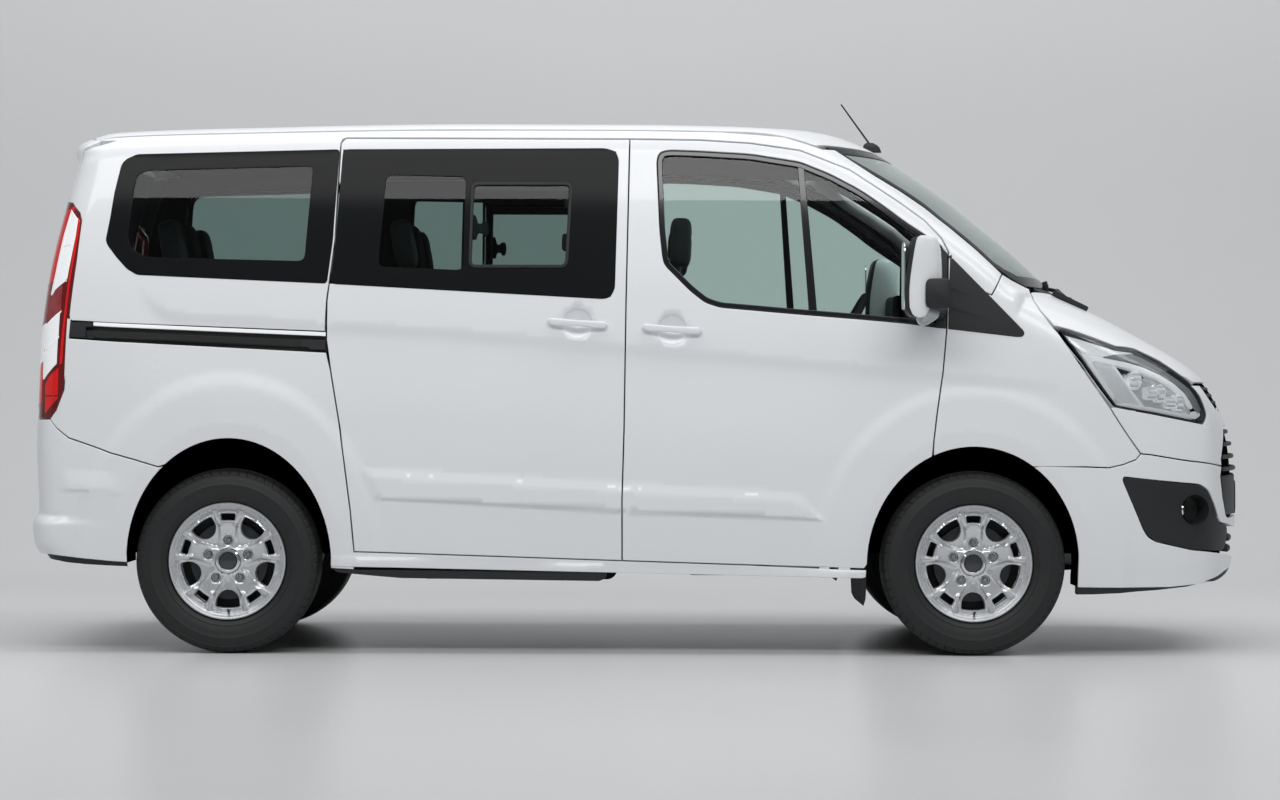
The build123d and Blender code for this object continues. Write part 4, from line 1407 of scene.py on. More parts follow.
    def build_bonnet(self) -> None:
        """Bonnet from the screen base to the lip over the nose."""
        form = self.shop.form
        edge = form.side_points(BONNET_SIDE)
        y = np.linspace(0.0, 0.66, 12)
        base = [(arc_x(1.852, v), -v) for v in y if v < 0.60]
        rows = [(p[0], p[1]) for p in edge if p[1] < -0.3]
        lip_y = np.linspace(0.0, 0.80, 15)
        lip = form.meet(np.stack([np.full(15, 1.6), -lip_y, np.full(15, 1.056)], 1),
                        np.tile((1.0, 0.0, 0.0), (15, 1)), 1.0)
        tip = rows[-1]
        front = [(p[0], p[1]) for p in lip[::-1] if p[1] > tip[1] + 0.012]
        outline = both_halves(base + rows + front)
        self.shop.skin("bonnet_skin", self.shop.top, outline, Finishes.paint, "bonnet_lid", pitch=0.020,
                       gap=0.003, rim=0.02, replaces=["bonnet"], **PAINT_SLOT)

    def build_nose(self) -> None:
        """Front panel round the grille, and the front bumper."""
        belt = self.shop.belt
        rows = [(0.0, 0.944), (0.60, 0.946), (0.690, 0.962), (0.730, 0.990), (0.748, 1.020), (0.752, 1.050)]
        rows += belt.side(mm([(2125, 1050), (2165, 1010), (2192, 944), (2193, 925), (2177, 897), (1971, 936),
                              (1823, 962), (1802, 962), (1924, 782), (1966, 778), (2112, 755), (2269, 732)]))
        rows += [(0.722, 0.760), (0.690, 0.820), (0.652, 0.868), (0.625, 0.886), (0.0, 0.890)]
        self.shop.skin("front_panel_skin", belt, mirrored_outline(rows), Finishes.paint, "shell",
                       pitch=0.020, rim=0.03, replaces=["front_panel"], **PAINT_SLOT)
        top = belt.side(BUMPER_TOP)
        low = belt.side(mm([(2300, 300), (2180, 272), (2050, 261), (1850, 260), (1684, 262)]))
        bumper = [(0.0, 0.526), (0.625, 0.528), (0.655, 0.540), (0.700, 0.610), (0.728, 0.690)] + top[::-1]
        bumper += belt.side(arch_line(FRONT_ARCH, 55.8, 4.0, 22)) + low[::-1] + [(0.35, 0.328), (0.0, 0.332)]
        fog = belt.side(FOG_PANEL)
        mouth = [(0.0, 0.478), (0.40, 0.480)] + fog[5::-1] + fog[:7:-1] + [(0.45, 0.368), (0.0, 0.352)]
        self.shop.skin("front_bumper_skin", belt, mirrored_outline(bumper), Finishes.paint, "shell",
                       holes=[soften(mirrored_outline(mouth), 0.012)], pitch=0.020, rim=0.03,
                       replaces=["front_bumper"], **PAINT_SLOT)

    def build_tail(self) -> None:
        """Tailgate and rear bumper."""
        form, belt = self.shop.form, self.shop.rear_belt
        y = np.array([0.0, 0.2, 0.4, 0.55, 0.68, 0.74])
        x = roof_end_x(y)
        top = form.meet(np.stack([x, -y, np.full(6, 0.9)], 1), np.tile((0.0, 0.0, 1.0), (6, 1)), 1.4)
        edge = self.gate_edge(np.array([1.985, 1.95, 1.7, 1.4, 1.1, 0.9, 0.7, 0.58]), GATE_HALF)
        half = [tuple(r) for r in belt.coords(top)] + [tuple(r) for r in belt.coords(edge)]
        half = [(abs(u), v) for u, v in half] + [(0.70, 0.556), (0.0, 0.556)]
        window = mirrored_outline(TAIL_WINDOW)
        self.shop.skin("tailgate_skin", belt, mirrored_outline(half), Finishes.paint, "tail_lid",
                       holes=[soften(window, 0.04)], pitch=0.025, gap=0.003, rim=0.05, replaces=["tailgate"],
                       **PAINT_SLOT)
        corner = belt.coords(self.gate_edge(np.array([0.900, 0.75, 0.60, 0.546]), GATE_HALF))
        rows = [(0.0, 0.546), (0.65, 0.546)] + [(abs(u), v) for u, v in corner[::-1]]
        rows += belt.side(BUMPER_EDGE[::-1]) + belt.side(arch_line(REAR_ARCH, 129.0, 176.0, 20))
        rows += belt.side(mm([(-1984, 348), (-2150, 362), (-2282, 376)])) + [(0.0, 0.385)]
        lines = [belt.side(mm([(-2262, 643), (-2239, 641), (-2016, 626), (-1990, 624)])),
                 belt.side(mm([(-2230, 722), (-2016, 706)]))]
        self.shop.skin("rear_bumper_skin", belt, mirrored_outline(rows), Finishes.paint, "shell", pitch=0.020,
                       rim=0.03, lines=lines, replaces=["rear_bumper"], **PAINT_SLOT)

    def build(self) -> None:
        """Make every painted panel."""
        self.build_side()
        self.build_doors()
        self.build_wings()
        self.build_roof()
        self.build_bonnet()
        self.build_nose()
        self.build_tail()


# ---------------------------------------------------------------- glass and side trim
@dataclass
class SideGlass:
    """Flush rear side glass with its printed border, the sliding pane, and the door windows."""

    shop: Workshop

    def build_quarter(self) -> None:
        """Quarter window behind the sliding door."""
        belt = self.shop.belt
        both = {"hands": tuple(Hand), "replaces": ["quarter_glass"], "slot": "side_glass"}
        outer, clear = belt.side(soften(QUARTER_GLASS, 0.012)), belt.side(soften(QUARTER_CLEAR, 0.03))
        self.shop.skin("quarter_border", belt, outer, Finishes.frit, "shell", holes=[clear], gap=-0.004,
                       lip=0.0015, rim=0.004, depth=-0.0012, pitch=0.05, **both)
        self.shop.skin("quarter_pane", belt, clear, Finishes.privacy, "shell", gap=-0.006, lip=0, rim=0,
                       depth=0.003, pitch=0.06, hands=tuple(Hand), slot="side_glass")

    def build_sliding(self) -> None:
        """Sliding-door window: fixed clear part and a framed pane."""
        belt = self.shop.belt
        both = {"hands": tuple(Hand), "replaces": ["sliding_door_glass"], "slot": "side_glass"}
        outer = belt.side(soften(SLIDING_GLASS, 0.02))
        pane = soften(SLIDING_PANE, 0.034, steps=9)
        fixed = mm([(-1000, 1857), (-684, 1851), (-691, 1478), (-1026, 1490)])
        self.shop.skin("sliding_border", belt, outer, Finishes.frit, "shell",
                       holes=[belt.side(inset(pane, -0.001)), belt.side(soften(fixed, 0.03))], gap=-0.004,
                       lip=0.0015, rim=0.004, depth=-0.0012, pitch=0.05, **both)
        self.shop.skin("sliding_fixed_pane", belt, belt.side(soften(fixed, 0.03)), Finishes.privacy, "shell",
                       gap=-0.006, lip=0, rim=0, depth=0.003, pitch=0.06, hands=tuple(Hand),
                       slot="side_glass")
        frame = inset(pane, 0.013)
        self.shop.skin("sliding_pane_frame", belt, belt.side(pane), Finishes.seal, "shell",
                       holes=[belt.side(frame)], gap=0, lip=0.003, rim=0.012, depth=-0.004, pitch=0.03,
                       hands=tuple(Hand))
        self.shop.skin("sliding_pane_glass", belt, belt.side(inset(frame, -0.003)), Finishes.privacy, "shell",
                       gap=0, lip=0, rim=0, depth=0.005, pitch=0.06, hands=tuple(Hand), slot="side_glass")
        band = mm([(-655, 1815), (-286, 1815), (-286, 1795), (-655, 1795)])
        self.shop.skin("sliding_pane_band", belt, belt.side(band), Finishes.frit_soft, "shell", gap=0, lip=0,
                       rim=0, depth=0.006, pitch=0.06, hands=tuple(Hand))
        latch = mm([(-661, 1700), (-650, 1700), (-645, 1690), (-640, 1668), (-627, 1666), (-620, 1676),
                    (-606, 1676), (-600, 1666), (-598, 1640), (-604, 1620), (-616, 1618), (-622, 1630),
                    (-636, 1632), (-642, 1622), (-645, 1606), (-664, 1606)])
        catches = [mm([(-301, 1765), (-284, 1765), (-284, 1727), (-298, 1727), (-305, 1735), (-306, 1755)]),
                   mm([(-309, 1628), (-284, 1628), (-286, 1562), (-306, 1562), (-314, 1570), (-314, 1618)])]
        for name, rows in (("pane_latch", latch), ("pane_catch_upper", catches[0]),
                           ("pane_catch_lower", catches[1])):
            self.shop.skin(name, belt, belt.side(soften(rows, 0.004)), Finishes.trim, "shell", gap=0,
                           lip=0.002, rim=0.012, depth=0.012, pitch=0.02, hands=tuple(Hand))

    def build_front_door(self) -> None:
        """Door window with its seal, division bar and clear glass."""
        belt = self.shop.belt
        outer = soften(FRONT_WINDOW, 0.02)
        hole = inset(outer, 0.021)
        hands = {"hands": tuple(Hand)}
        self.shop.skin("door_window_seal", belt, belt.side(outer), Finishes.gloss_trim, "door_{}",
                       holes=[belt.side(hole)], gap=0.001, lip=0.003, rim=0.014, depth=0.003,
                       pitch=0.03, **hands)
        self.shop.skin("door_glass", belt, belt.side(inset(outer, 0.016)), Finishes.clear_glass, "door_{}",
                       gap=0, lip=0, rim=0, depth=0.012, pitch=0.06, replaces=["front_door_glass_{}"],
                       slot="side_glass", **hands)
        bar = mm([(598, 1898), (624, 1893), (672, 1316), (640, 1319)])
        self.shop.skin("door_division_bar", belt, belt.side(bar), Finishes.gloss_trim, "door_{}", gap=0,
                       lip=0.003, rim=0.014, depth=0.004, pitch=0.03, **hands)

    def build(self) -> None:
        """Make all side glass."""
        self.build_quarter()
        self.build_sliding()
        self.build_front_door()


@dataclass
class Screens:
    """Windscreen with its printed border, and the tailgate glass."""

    shop: Workshop

    def build(self) -> None:
        """Make both screens."""
        form, top, rear = self.shop.form, self.shop.top, self.shop.rear_belt
        edge = form.side_points(SCREEN_EDGE)
        head_y = np.linspace(0.0, 0.74, 12)
        head = [(arc_x(1.134, v), -v) for v in head_y]
        foot_y = np.linspace(0.76, 0.0, 12)
        foot = [(arc_x(1.818, v), -v) for v in foot_y]
        side = [(p[0], p[1]) for p in edge[1:-1]]
        outline = both_halves(head + side + foot)
        inner = inset(outline, 0.045)
        self.shop.skin("windscreen_border", top, outline, Finishes.frit, "shell", holes=[inner], gap=0.003,
                       lip=0.002, rim=0.006, depth=0.001, pitch=0.03, replaces=["windscreen"],
                       slot="windscreen_glass")
        self.shop.skin("windscreen_pane", top, inset(outline, 0.040), Finishes.screen_glass, "shell", gap=0,
                       lip=0, rim=0, depth=0.004, pitch=0.05, slot="windscreen_glass")
        window = soften(mirrored_outline(TAIL_WINDOW), 0.04)
        clear = inset(window, 0.06)
        self.shop.skin("tailgate_glass_border", rear, window, Finishes.frit, "tail_lid", holes=[clear],
                       gap=-0.001, lip=0.002, rim=0.006, depth=0.0, pitch=0.04, replaces=["tailgate_glass"],
                       slot="side_glass")
        self.shop.skin("tailgate_pane", rear, inset(window, 0.055), Finishes.privacy, "tail_lid", gap=0,
                       lip=0, rim=0, depth=0.004, pitch=0.05, slot="side_glass")


@dataclass
class SideTrim:
    """Sliding-door rail, sail triangles, door handles and lower strips."""

    shop: Workshop
    handle_half: float = 0.1145
    handle_drop: float = 0.064
    sail_ridges = (((1.186, 1.4205), (1.300, 1.3785)), ((1.186, 1.3447), (1.400, 1.2805)))
    ridge_height, ridge_fall = 0.0065, 0.040

    def build_rail(self) -> None:
        """Black rail let into the rear quarter, with its bright upper edge."""
        belt = self.shop.belt
        hands = {"hands": tuple(Hand)}
        self.shop.skin("rail_channel", belt,
                       belt.side(mm([(-2226, 1214), (-2214, 1281), (-1216, 1240), (-1216, 1164)])),
                       Finishes.seal, "shell", gap=0, lip=0, rim=0, depth=0.020, pitch=0.05,
                       replaces=["door_rails"], slot="black_plastic", **hands)
        bar = mm([(-2146, 1246), (-1222, 1208), (-1222, 1178), (-2146, 1218)])
        self.shop.skin("rail_bar", belt, belt.side(bar), Finishes.seal, "shell", gap=0, lip=0.003, rim=0.012,
                       depth=0.008, pitch=0.05, **hands)
        rear = mm([(-2221, 1219), (-2211, 1277), (-2120, 1274), (-2120, 1258), (-2146, 1257), (-2146, 1219),
                   (-2118, 1217), (-2118, 1214)])
        front = mm([(-1316, 1212), (-1222, 1209), (-1222, 1172), (-1280, 1174), (-1292, 1183), (-1318, 1184)])
        for name, rows in (("rail_end_rear", rear), ("rail_end_front", front)):
            self.shop.skin(name, belt, belt.side(rows), Finishes.trim, "shell", gap=0.0, lip=0.002, rim=0.010,
                           depth=0.002, pitch=0.03, **hands)
        # light strip along the rail's ledge; its finish carries a painted glow that stands for the highlight
        # there
        strip = mm([(-2116, 1276), (-1222, 1240), (-1222, 1225), (-2116, 1262)])
        self.shop.skin("rail_bright_edge", belt, belt.side(strip), Finishes.bright, "shell", gap=0, lip=0.003,
                       rim=0.010, depth=0.001, pitch=0.04, **hands)

    def build_sail(self) -> None:
        """Black triangle ahead of the door glass, cut by the door gap."""
        belt = self.shop.belt
        body = mm([(1183, 1548), (1210, 1521), (1467, 1257), (1472, 1243), (1462, 1230), (1440, 1229),
                   (1174, 1259), (1178, 1400), (1184, 1535)])
        door = mm([(1131, 1592), (1146, 1586), (1177, 1554), (1173, 1400), (1168, 1260), (1130, 1265)])
        shares = np.linspace(0.02, 0.98, 20)
        ridges = [[(a[0] + t * (b[0] - a[0]), a[1] + t * (b[1] - a[1]) - drop) for t in shares]
                  for a, b in self.sail_ridges for drop in (0.0, 0.0025)]
        for name, rows, where in (("sail_body", body, "shell"), ("sail_door", door, "door_{}")):
            lines = [belt.side(r) for r in ridges] if where == "shell" else []
            self.shop.skin(name, belt, belt.side(soften(rows, 0.006)), Finishes.trim, where, gap=0.001,
                           lip=0.004, rim=0.010, depth=-0.003, pitch=0.014, hands=tuple(Hand), lines=lines,
                           bulge=self.sail_relief)

    @classmethod
    def sail_relief(cls, x: Array, z: Array) -> Array:
        """Two ridges across the sail, raised above and stepping in below, that fade forward.

        Args:
            x, z: places in side view.

        Returns:
            Outward offset at each place.
        """
        lift = np.zeros_like(x)
        for (ax, az), (bx, bz) in cls.sail_ridges:
            over = z - (az + (x - ax) * (bz - az) / (bx - ax))
            fade = (1.0 - ramp((x - ax) / (bx - ax))) * (x > ax - 0.005)
            fall = np.where(over >= -0.0012, np.clip(1.0 - over / cls.ridge_fall, 0.0, 1.0), 0.0)
            lift = lift + cls.ridge_height * fade * fall
        return lift

    def handle(self, centre: tuple[float, float], half: float) -> Mesh:
        """One door handle: a bowed bar between two feet.

        Args:
            centre: X and Z of its middle.
            half: half its length.

        Returns:
            The right-hand shape.
        """
        x0, z0 = centre
        bm = bmesh.new()
        rings = []
        base = self.shop.form.side_points([(x0 + d, z0 - d * self.handle_drop) for d in (-half, 0.085, half)])
        y_out = min(base[:, 1])
        for d in np.linspace(-half, half, 25):
            t = abs(d) / half
            end = max(0.0, (abs(d) - half + 0.016) / 0.016)
            tall = (0.0150 - 0.0035 * (1 - t)) * math.sqrt(max(0.03, 1 - end * end * 0.93))
            reach = 0.026 - 0.006 * t * t - 0.010 * end * end
            thick = 0.013 + 0.010 * max(0.0, (t - 0.55) / 0.45)
            spots = []
            for a in np.linspace(0, 2 * math.pi, 17)[:-1]:
                c, s = math.cos(a), math.sin(a)
                y = y_out - reach + thick * (1 - math.copysign(abs(c) ** 0.6, c)) * 0.5
                z = z0 - d * self.handle_drop + tall * math.copysign(abs(s) ** 0.6, s)
                spots.append(bm.verts.new((x0 + d, y, z)))
            rings.append(spots)
        for a, b in zip(rings[:-1], rings[1:]):
            for k in range(16):
                bm.faces.new((a[k], a[(k + 1) % 16], b[(k + 1) % 16], b[k]))
        for ring in (rings[0], rings[-1]):
            bm.faces.new(ring)
        return bm

    def build_handles(self) -> None:
        """White handles over their cups."""
        for name, centre, body in (("sliding_door_handle", HANDLES[0], "shell"),
                                   ("front_door_handle", HANDLES[1], "door_{}")):
            self.shop.both(lambda _, c=centre: self.handle(c, self.handle_half), name, Finishes.paint, body,
                           slot="body_paint", sharp_angle=0.9)

    def build_lower(self) -> None:
        """Black strips under the bumpers."""
        belt, rear = self.shop.belt, self.shop.rear_belt
        sliver = mm([(1681, 236), (1681, 264), (1850, 262), (2050, 264), (2178, 276), (2120, 264),
                     (2000, 252), (1850, 241), (1750, 237)])
        self.shop.skin("front_lip_side", belt, belt.side(sliver), Finishes.trim, "shell", gap=0, lip=0.0,
                       rim=0.03, depth=0.004, pitch=0.03, hands=tuple(Hand))
        scoop = belt.side(mm([(2195, 283), (2245, 297), (2300, 317), (2338, 322), (2310, 303), (2262, 286),
                              (2238, 281)]))
        self.shop.skin("front_lip_scoop", belt, scoop, Finishes.trim, "shell", gap=0, lip=0.002, rim=0.02,
                       depth=-0.001, pitch=0.02, hands=tuple(Hand))
        lip = mirrored_outline([(0.0, 0.336), (0.35, 0.332), (0.52, 0.322), (0.50, 0.300), (0.35, 0.292),
                                (0.0, 0.294)])
        self.shop.skin("front_lip", belt, lip, Finishes.trim, "shell", gap=0, lip=0.003, rim=0.02,
                       depth=0.014, pitch=0.03)
        tail = [(0.0, 0.388)] + belt.side(mm([(-2282, 380), (-2150, 366), (-1990, 352), (-1984, 330),
                                              (-2150, 338), (-2262, 349)])) + [(0.0, 0.350)]
        tail = [(belt.marks[4] - abs(u), v) if u else (0.0, v) for u, v in tail]
        self.shop.skin("rear_lip", rear, mirrored_outline(tail), Finishes.trim, "shell", gap=0, lip=0.003,
                       rim=0.02, depth=0.018, pitch=0.03)

    def build(self) -> None:
        """Make all side trim."""
        self.build_rail()
        self.build_sail()
        self.build_handles()
        self.build_lower()


# ---------------------------------------------------------------- lamps, mirrors and nose
def ring_loft(rings: Sequence[Sequence[Sequence[float]]], caps: bool = True) -> Mesh:
    """A closed skin through rings that have the same number of points.

    Args:
        rings: loops of 3-D points.
        caps: whether both ends are closed.

    Returns:
        The skin.
    """
    bm = bmesh.new()
    loops = []
    for ring in rings:
        verts = [bm.verts.new(p) for p in ring]
        loops.append([bm.edges.new((verts[k], verts[(k + 1) % len(verts)])) for k in range(len(verts))])
        if caps and len(loops) in (1, len(rings)):
            bm.faces.new(verts)
    for low, high in zip(loops[:-1], loops[1:]):
        bmesh.ops.bridge_loops(bm, edges=low + high)
    return bm


def squircle(half_a: float, half_b: float, power: float, count: int) -> Rows:
    """A rounded rectangle's outline about the origin; a smaller power makes squarer corners.

    Args:
        half_a: half size along the first axis.
        half_b: half size along the second axis.
        power: squareness of the corners.
        count: how many points.

    Returns:
        The outline.
    """
    rows = []
    for angle in np.linspace(0, math.tau, count + 1)[:-1]:
        c, s = math.cos(angle), math.sin(angle)
        rows.append((half_a * math.copysign(abs(c) ** power, c), half_b * math.copysign(abs(s) ** power, s)))
    return rows


@dataclass
class Mirrors:
    """Door mirrors: white shell, black frame and arm, reflecting glass and a clear lamp below."""

    shop: Workshop
    outer: float = -1.204
    inner: float = -1.040
    low_z: float = 1.2965
    high_z: float = 1.613
    bow_power: float = 2.6

    heights = np.array([1.2995, 1.303, 1.312, 1.337, 1.370, 1.406, 1.450, 1.500, 1.559, 1.590, 1.604, 1.610])
    rear = np.array([1.034, 1.020, 1.007, 0.993, 0.990, 0.9895, 0.993, 1.001, 1.012, 1.020, 1.028, 1.044])
    front = np.array([1.078, 1.094, 1.106, 1.121, 1.132, 1.137, 1.138, 1.1365, 1.132, 1.124, 1.116, 1.094])

    def shell(self, start: float, stop: float, grow: float = 0.0) -> Mesh:
        """The housing between two shares of its depth, from the mirror side forward.

        Args:
            start: share of the depth where it begins.
            stop: share of the depth where it ends.
            grow: added to its size all round.

        Returns:
            The right-hand shape.
        """
        rings = []
        middle = 0.5 * (self.outer + self.inner)
        for z, low, high in zip(self.heights, self.rear, self.front):
            edge = min(1.0, (min(z - self.low_z, self.high_z - z) / 0.03) ** 0.5)
            half = 0.5 * (self.inner - self.outer) * (0.86 + 0.14 * edge) + grow
            ring = []
            for first, last, way in ((start, stop, -half), (stop, start, half)):
                for share in np.linspace(first, last, 9):
                    bow = math.sqrt(max(0.0, 1.0 - share ** self.bow_power))
                    ring.append((low + (high - low) * share, middle + way * bow, z))
            rings.append(ring)
        return ring_loft(rings)

    def blob(self, centre: tuple[float, float, float], size: tuple[float, float, float], lean: float) -> Mesh:
        """A rounded block leaning about the Y axis.

        Args:
            centre: its middle.
            size: full size along X, Y and Z.
            lean: its turn about Y.

        Returns:
            The shape.
        """
        bm = bmesh.new()
        bmesh.ops.create_cube(bm, size=1.0)
        bmesh.ops.subdivide_edges(bm, edges=bm.edges, cuts=7, use_grid_fill=True)
        for vert in bm.verts:
            x, y, z = (2.0 * v for v in vert.co)
            power = 3.2
            size_now = (abs(x) ** power + abs(y) ** power + abs(z) ** power) ** (1 / power)
            vert.co = Vector((x, y, z)) / max(size_now, 1e-6) * 0.5
        bmesh.ops.scale(bm, vec=size, verts=bm.verts)
        rotate(bm, lean, "Y")
        shift(bm, centre)
        return bm

    def arm(self) -> Mesh:
        """The black arm from the shell to the door.

        Returns:
            The right-hand shape.
        """
        stations = [(-1.2068, 1.1150, 1.390, 0.0440, 0.052), (-1.2040, 1.1180, 1.390, 0.0490, 0.057),
                    (-1.1900, 1.1180, 1.390, 0.0500, 0.058), (-1.100, 1.119, 1.388, 0.049, 0.058),
                    (-1.030, 1.126, 1.380, 0.044, 0.062), (-0.985, 1.134, 1.374, 0.036, 0.072),
                    (-0.958, 1.136, 1.372, 0.034, 0.076)]
        return ring_loft([[(x + a, y, z + b) for a, b in squircle(wide, tall, 0.42, 40)]
                          for y, x, z, wide, tall in stations])

    def build(self) -> None:
        """Make both mirrors."""
        shop = self.shop
        shop.both(lambda _: self.shell(0.10, 0.9995), "mirror_shell", Finishes.paint, "door_{}",
                  replaces=["door_mirror_{}"], slot="body_paint", sharp_angle=0.8)
        shop.both(lambda _: self.shell(0.0, 0.12, 0.0015), "mirror_frame", Finishes.trim, "door_{}",
                  slot="black_plastic", sharp_angle=0.8)
        shop.both(lambda _: self.arm(), "mirror_arm", Finishes.trim, "door_{}", slot="black_plastic",
                  sharp_angle=0.8)
        glass = squircle(0.068, 0.128, 0.45, 48)
        shop.both(lambda _: ring_loft([[(0.9885, -1.122 + y, 1.458 + z) for y, z in glass],
                                       [(0.9925, -1.122 + y * 1.02, 1.458 + z * 1.02) for y, z in glass]]),
                  "mirror_glass", Finishes.chrome, "door_{}", sharp_angle=0.5)
        shop.both(lambda _: self.blob((1.082, -1.130, 1.3085), (0.092, 0.110, 0.062), -32.0), "mirror_lamp",
                  Finishes.grey_lens, "door_{}", slot="clear_lamp", sharp_angle=0.9)


@dataclass
class Headlamps:
    """Lamp units: black edge, clear lens, white blade, ribs, tinted band, panel and three reflectors."""

    shop: Workshop

    @staticmethod
    def spots(rows: Outline) -> Rows:
        """Side-view places of points drawn on the lamp's own sheet."""
        return [((1605 + (x - 315) * 0.6933) / 1000.0, (1264 - (y - 560) * 0.690) / 1000.0) for x, y in rows]

    def lay(self, name: str, rows: Outline, finish: Finish | Glazing, depth: float, round_by: float = 0.004,
            **options: object) -> None:
        """One flat part of the lamp under its lens.

        Args:
            name: piece name.
            rows: outline on the lamp's own sheet.
            finish: what it is made of.
            depth: how far below the form it lies.
            round_by: radius of its corners.
            options: passed on to skin.
        """
        belt = self.shop.belt
        settings = {"gap": 0.0, "lip": 0.0015, "rim": 0.012, "pitch": 0.016, "hands": tuple(Hand)} | options
        self.shop.skin(name, belt, belt.side(soften(self.spots(rows), round_by)), finish, "shell",
                       depth=depth, **settings)

    def barrel(self, rows: Sequence[tuple[float, float]], place: tuple[float, float],
               depth: float, turn: float) -> Mesh:
        """A reflector barrel, drawn along its axis and pointed forward and a little outward.

        Args:
            rows: radius and offset along its axis.
            place: its spot on the lamp's own sheet.
            depth: how far in it stands.
            turn: how far it looks outward, in degrees.

        Returns:
            The right-hand shape.
        """
        bm = lathe(rows, 40)
        rotate(bm, 90.0 + turn, "Z")
        spot = self.shop.form.side_points(self.spots([place]))[0]
        shift(bm, Vector(spot) + Vector((-0.2, 1.0, 0.0)).normalized() * depth)
        return bm

    def build(self) -> None:
        """Make both lamps."""
        belt, shop = self.shop.belt, self.shop
        both = {"hands": tuple(Hand)}
        edge = soften(HEADLAMP, 0.012)
        shop.skin("headlamp_lens", belt, belt.side(edge), Finishes.lens, "shell", gap=0.003, lip=0.003,
                  rim=0.0, depth=0.0, pitch=0.03, replaces=["headlamps"], slot="clear_lamp", **both)
        shop.skin("headlamp_edge", belt, belt.side(edge), Finishes.gloss_trim, "shell",
                  holes=[belt.side(inset(edge, 0.0095))], gap=0.0015, lip=0.0015, rim=0.030, depth=0.0025,
                  pitch=0.02, **both)
        shop.skin("headlamp_bowl", belt, belt.side(inset(edge, 0.004)), Finishes.satin, "shell", gap=0, lip=0,
                  rim=0, depth=0.062, pitch=0.02, bulge=self.bowl, **both)
        self.lay("headlamp_ribs", [(345, 592), (470, 622), (640, 668), (745, 686), (640, 698), (560, 712),
                                   (448, 694)], Finishes.white_lens, 0.012, bulge=self.ribs, pitch=0.006)
        self.lay("headlamp_tint", [(572, 712), (640, 694), (745, 690), (800, 712), (900, 768), (1010, 842),
                                   (1068, 885), (1112, 950), (1140, 1012), (1128, 1030), (1090, 990),
                                   (1040, 905), (980, 850), (900, 800), (800, 757), (700, 732)],
                 Finishes.smoke, 0.009)
        self.lay("headlamp_blade", [(436, 690), (560, 714), (700, 736), (800, 762), (900, 805), (980, 855),
                                    (1040, 912), (1092, 1000), (1075, 1012), (1010, 930), (950, 872),
                                    (880, 828), (760, 786), (632, 756), (516, 738), (500, 745), (632, 945),
                                    (620, 958), (596, 930)], Finishes.bright, 0.014, 0.008)
        self.lay("headlamp_panel", [(518, 746), (622, 762), (700, 880), (790, 1005), (700, 992), (648, 975),
                                    (620, 930)], Finishes.satin, 0.022, 0.006)
        self.lay("headlamp_panel_edge", [(622, 760), (640, 764), (712, 880), (815, 1008), (790, 1005),
                                         (700, 880)], Finishes.bright, 0.019, 0.003)
        self.lay("headlamp_shade", [(630, 760), (700, 776), (800, 806), (812, 822), (740, 800), (690, 800),
                                    (672, 822)], Finishes.gloss_trim, 0.030, 0.006)
        self.lay("headlamp_chamber", [(640, 768), (760, 796), (880, 838), (950, 884), (1005, 940),
                                      (1040, 1012), (1030, 1045), (815, 1005), (712, 880)], Finishes.chamber,
                 0.046, 0.01, bulge=self.facets)
        self.lay("headlamp_foot", [(640, 985), (850, 1018), (1110, 1066), (1150, 1040), (1140, 1018),
                                   (1095, 1020), (1085, 1040), (850, 1000), (690, 975)], Finishes.bright,
                 0.020, 0.006)
        cup = [(0.0, 0.010), (0.020, 0.008), (0.030, 0.000), (0.035, -0.014), (0.0365, -0.032),
               (0.0345, -0.034), (0.031, -0.026), (0.026, -0.006), (0.014, 0.000), (0.0, 0.001)]
        shop.both(lambda _: self.barrel(cup, (722, 850), 0.030, 38), "reflector_rear", Finishes.lamp_chrome,
                  "shell", sharp_angle=0.5)
        tube = [(0.0, 0.030), (0.024, 0.030), (0.026, 0.010), (0.0265, -0.010), (0.035, -0.014),
                (0.0365, -0.040), (0.034, -0.044), (0.030, -0.030), (0.020, -0.018), (0.0, -0.012)]
        shop.both(lambda _: self.barrel(tube, (850, 920), 0.034, 25), "reflector_middle",
                  Finishes.lamp_chrome, "shell", sharp_angle=0.5)
        shop.both(lambda _: self.barrel([(r * 0.92, y) for r, y in tube], (965, 972), 0.038, 20),
                  "reflector_front", Finishes.lamp_chrome, "shell", sharp_angle=0.5)

    @staticmethod
    def bowl(x: Array, z: Array) -> Array:
        """Shallow waves of the reflector bowl."""
        return 0.004 * np.sin(x * 70.0 + z * 30.0)

    @staticmethod
    def facets(x: Array, z: Array) -> Array:
        """Vertical and slanting facets of the reflector chamber."""
        slanting = 0.006 * np.abs(np.mod(x * 14.0 + z * 9.0, 1.0) - 0.5)
        return slanting + 0.004 * np.abs(np.mod(x * 31.0, 1.0) - 0.5)

    @staticmethod
    def ribs(x: Array, z: Array) -> Array:
        """Five steps along the upper rear of the lamp."""
        along = (z - 1.264) + (x - 1.605) * 0.30
        return 0.004 * (np.abs((along / 0.017) % 1.0 - 0.5) * 2.0)


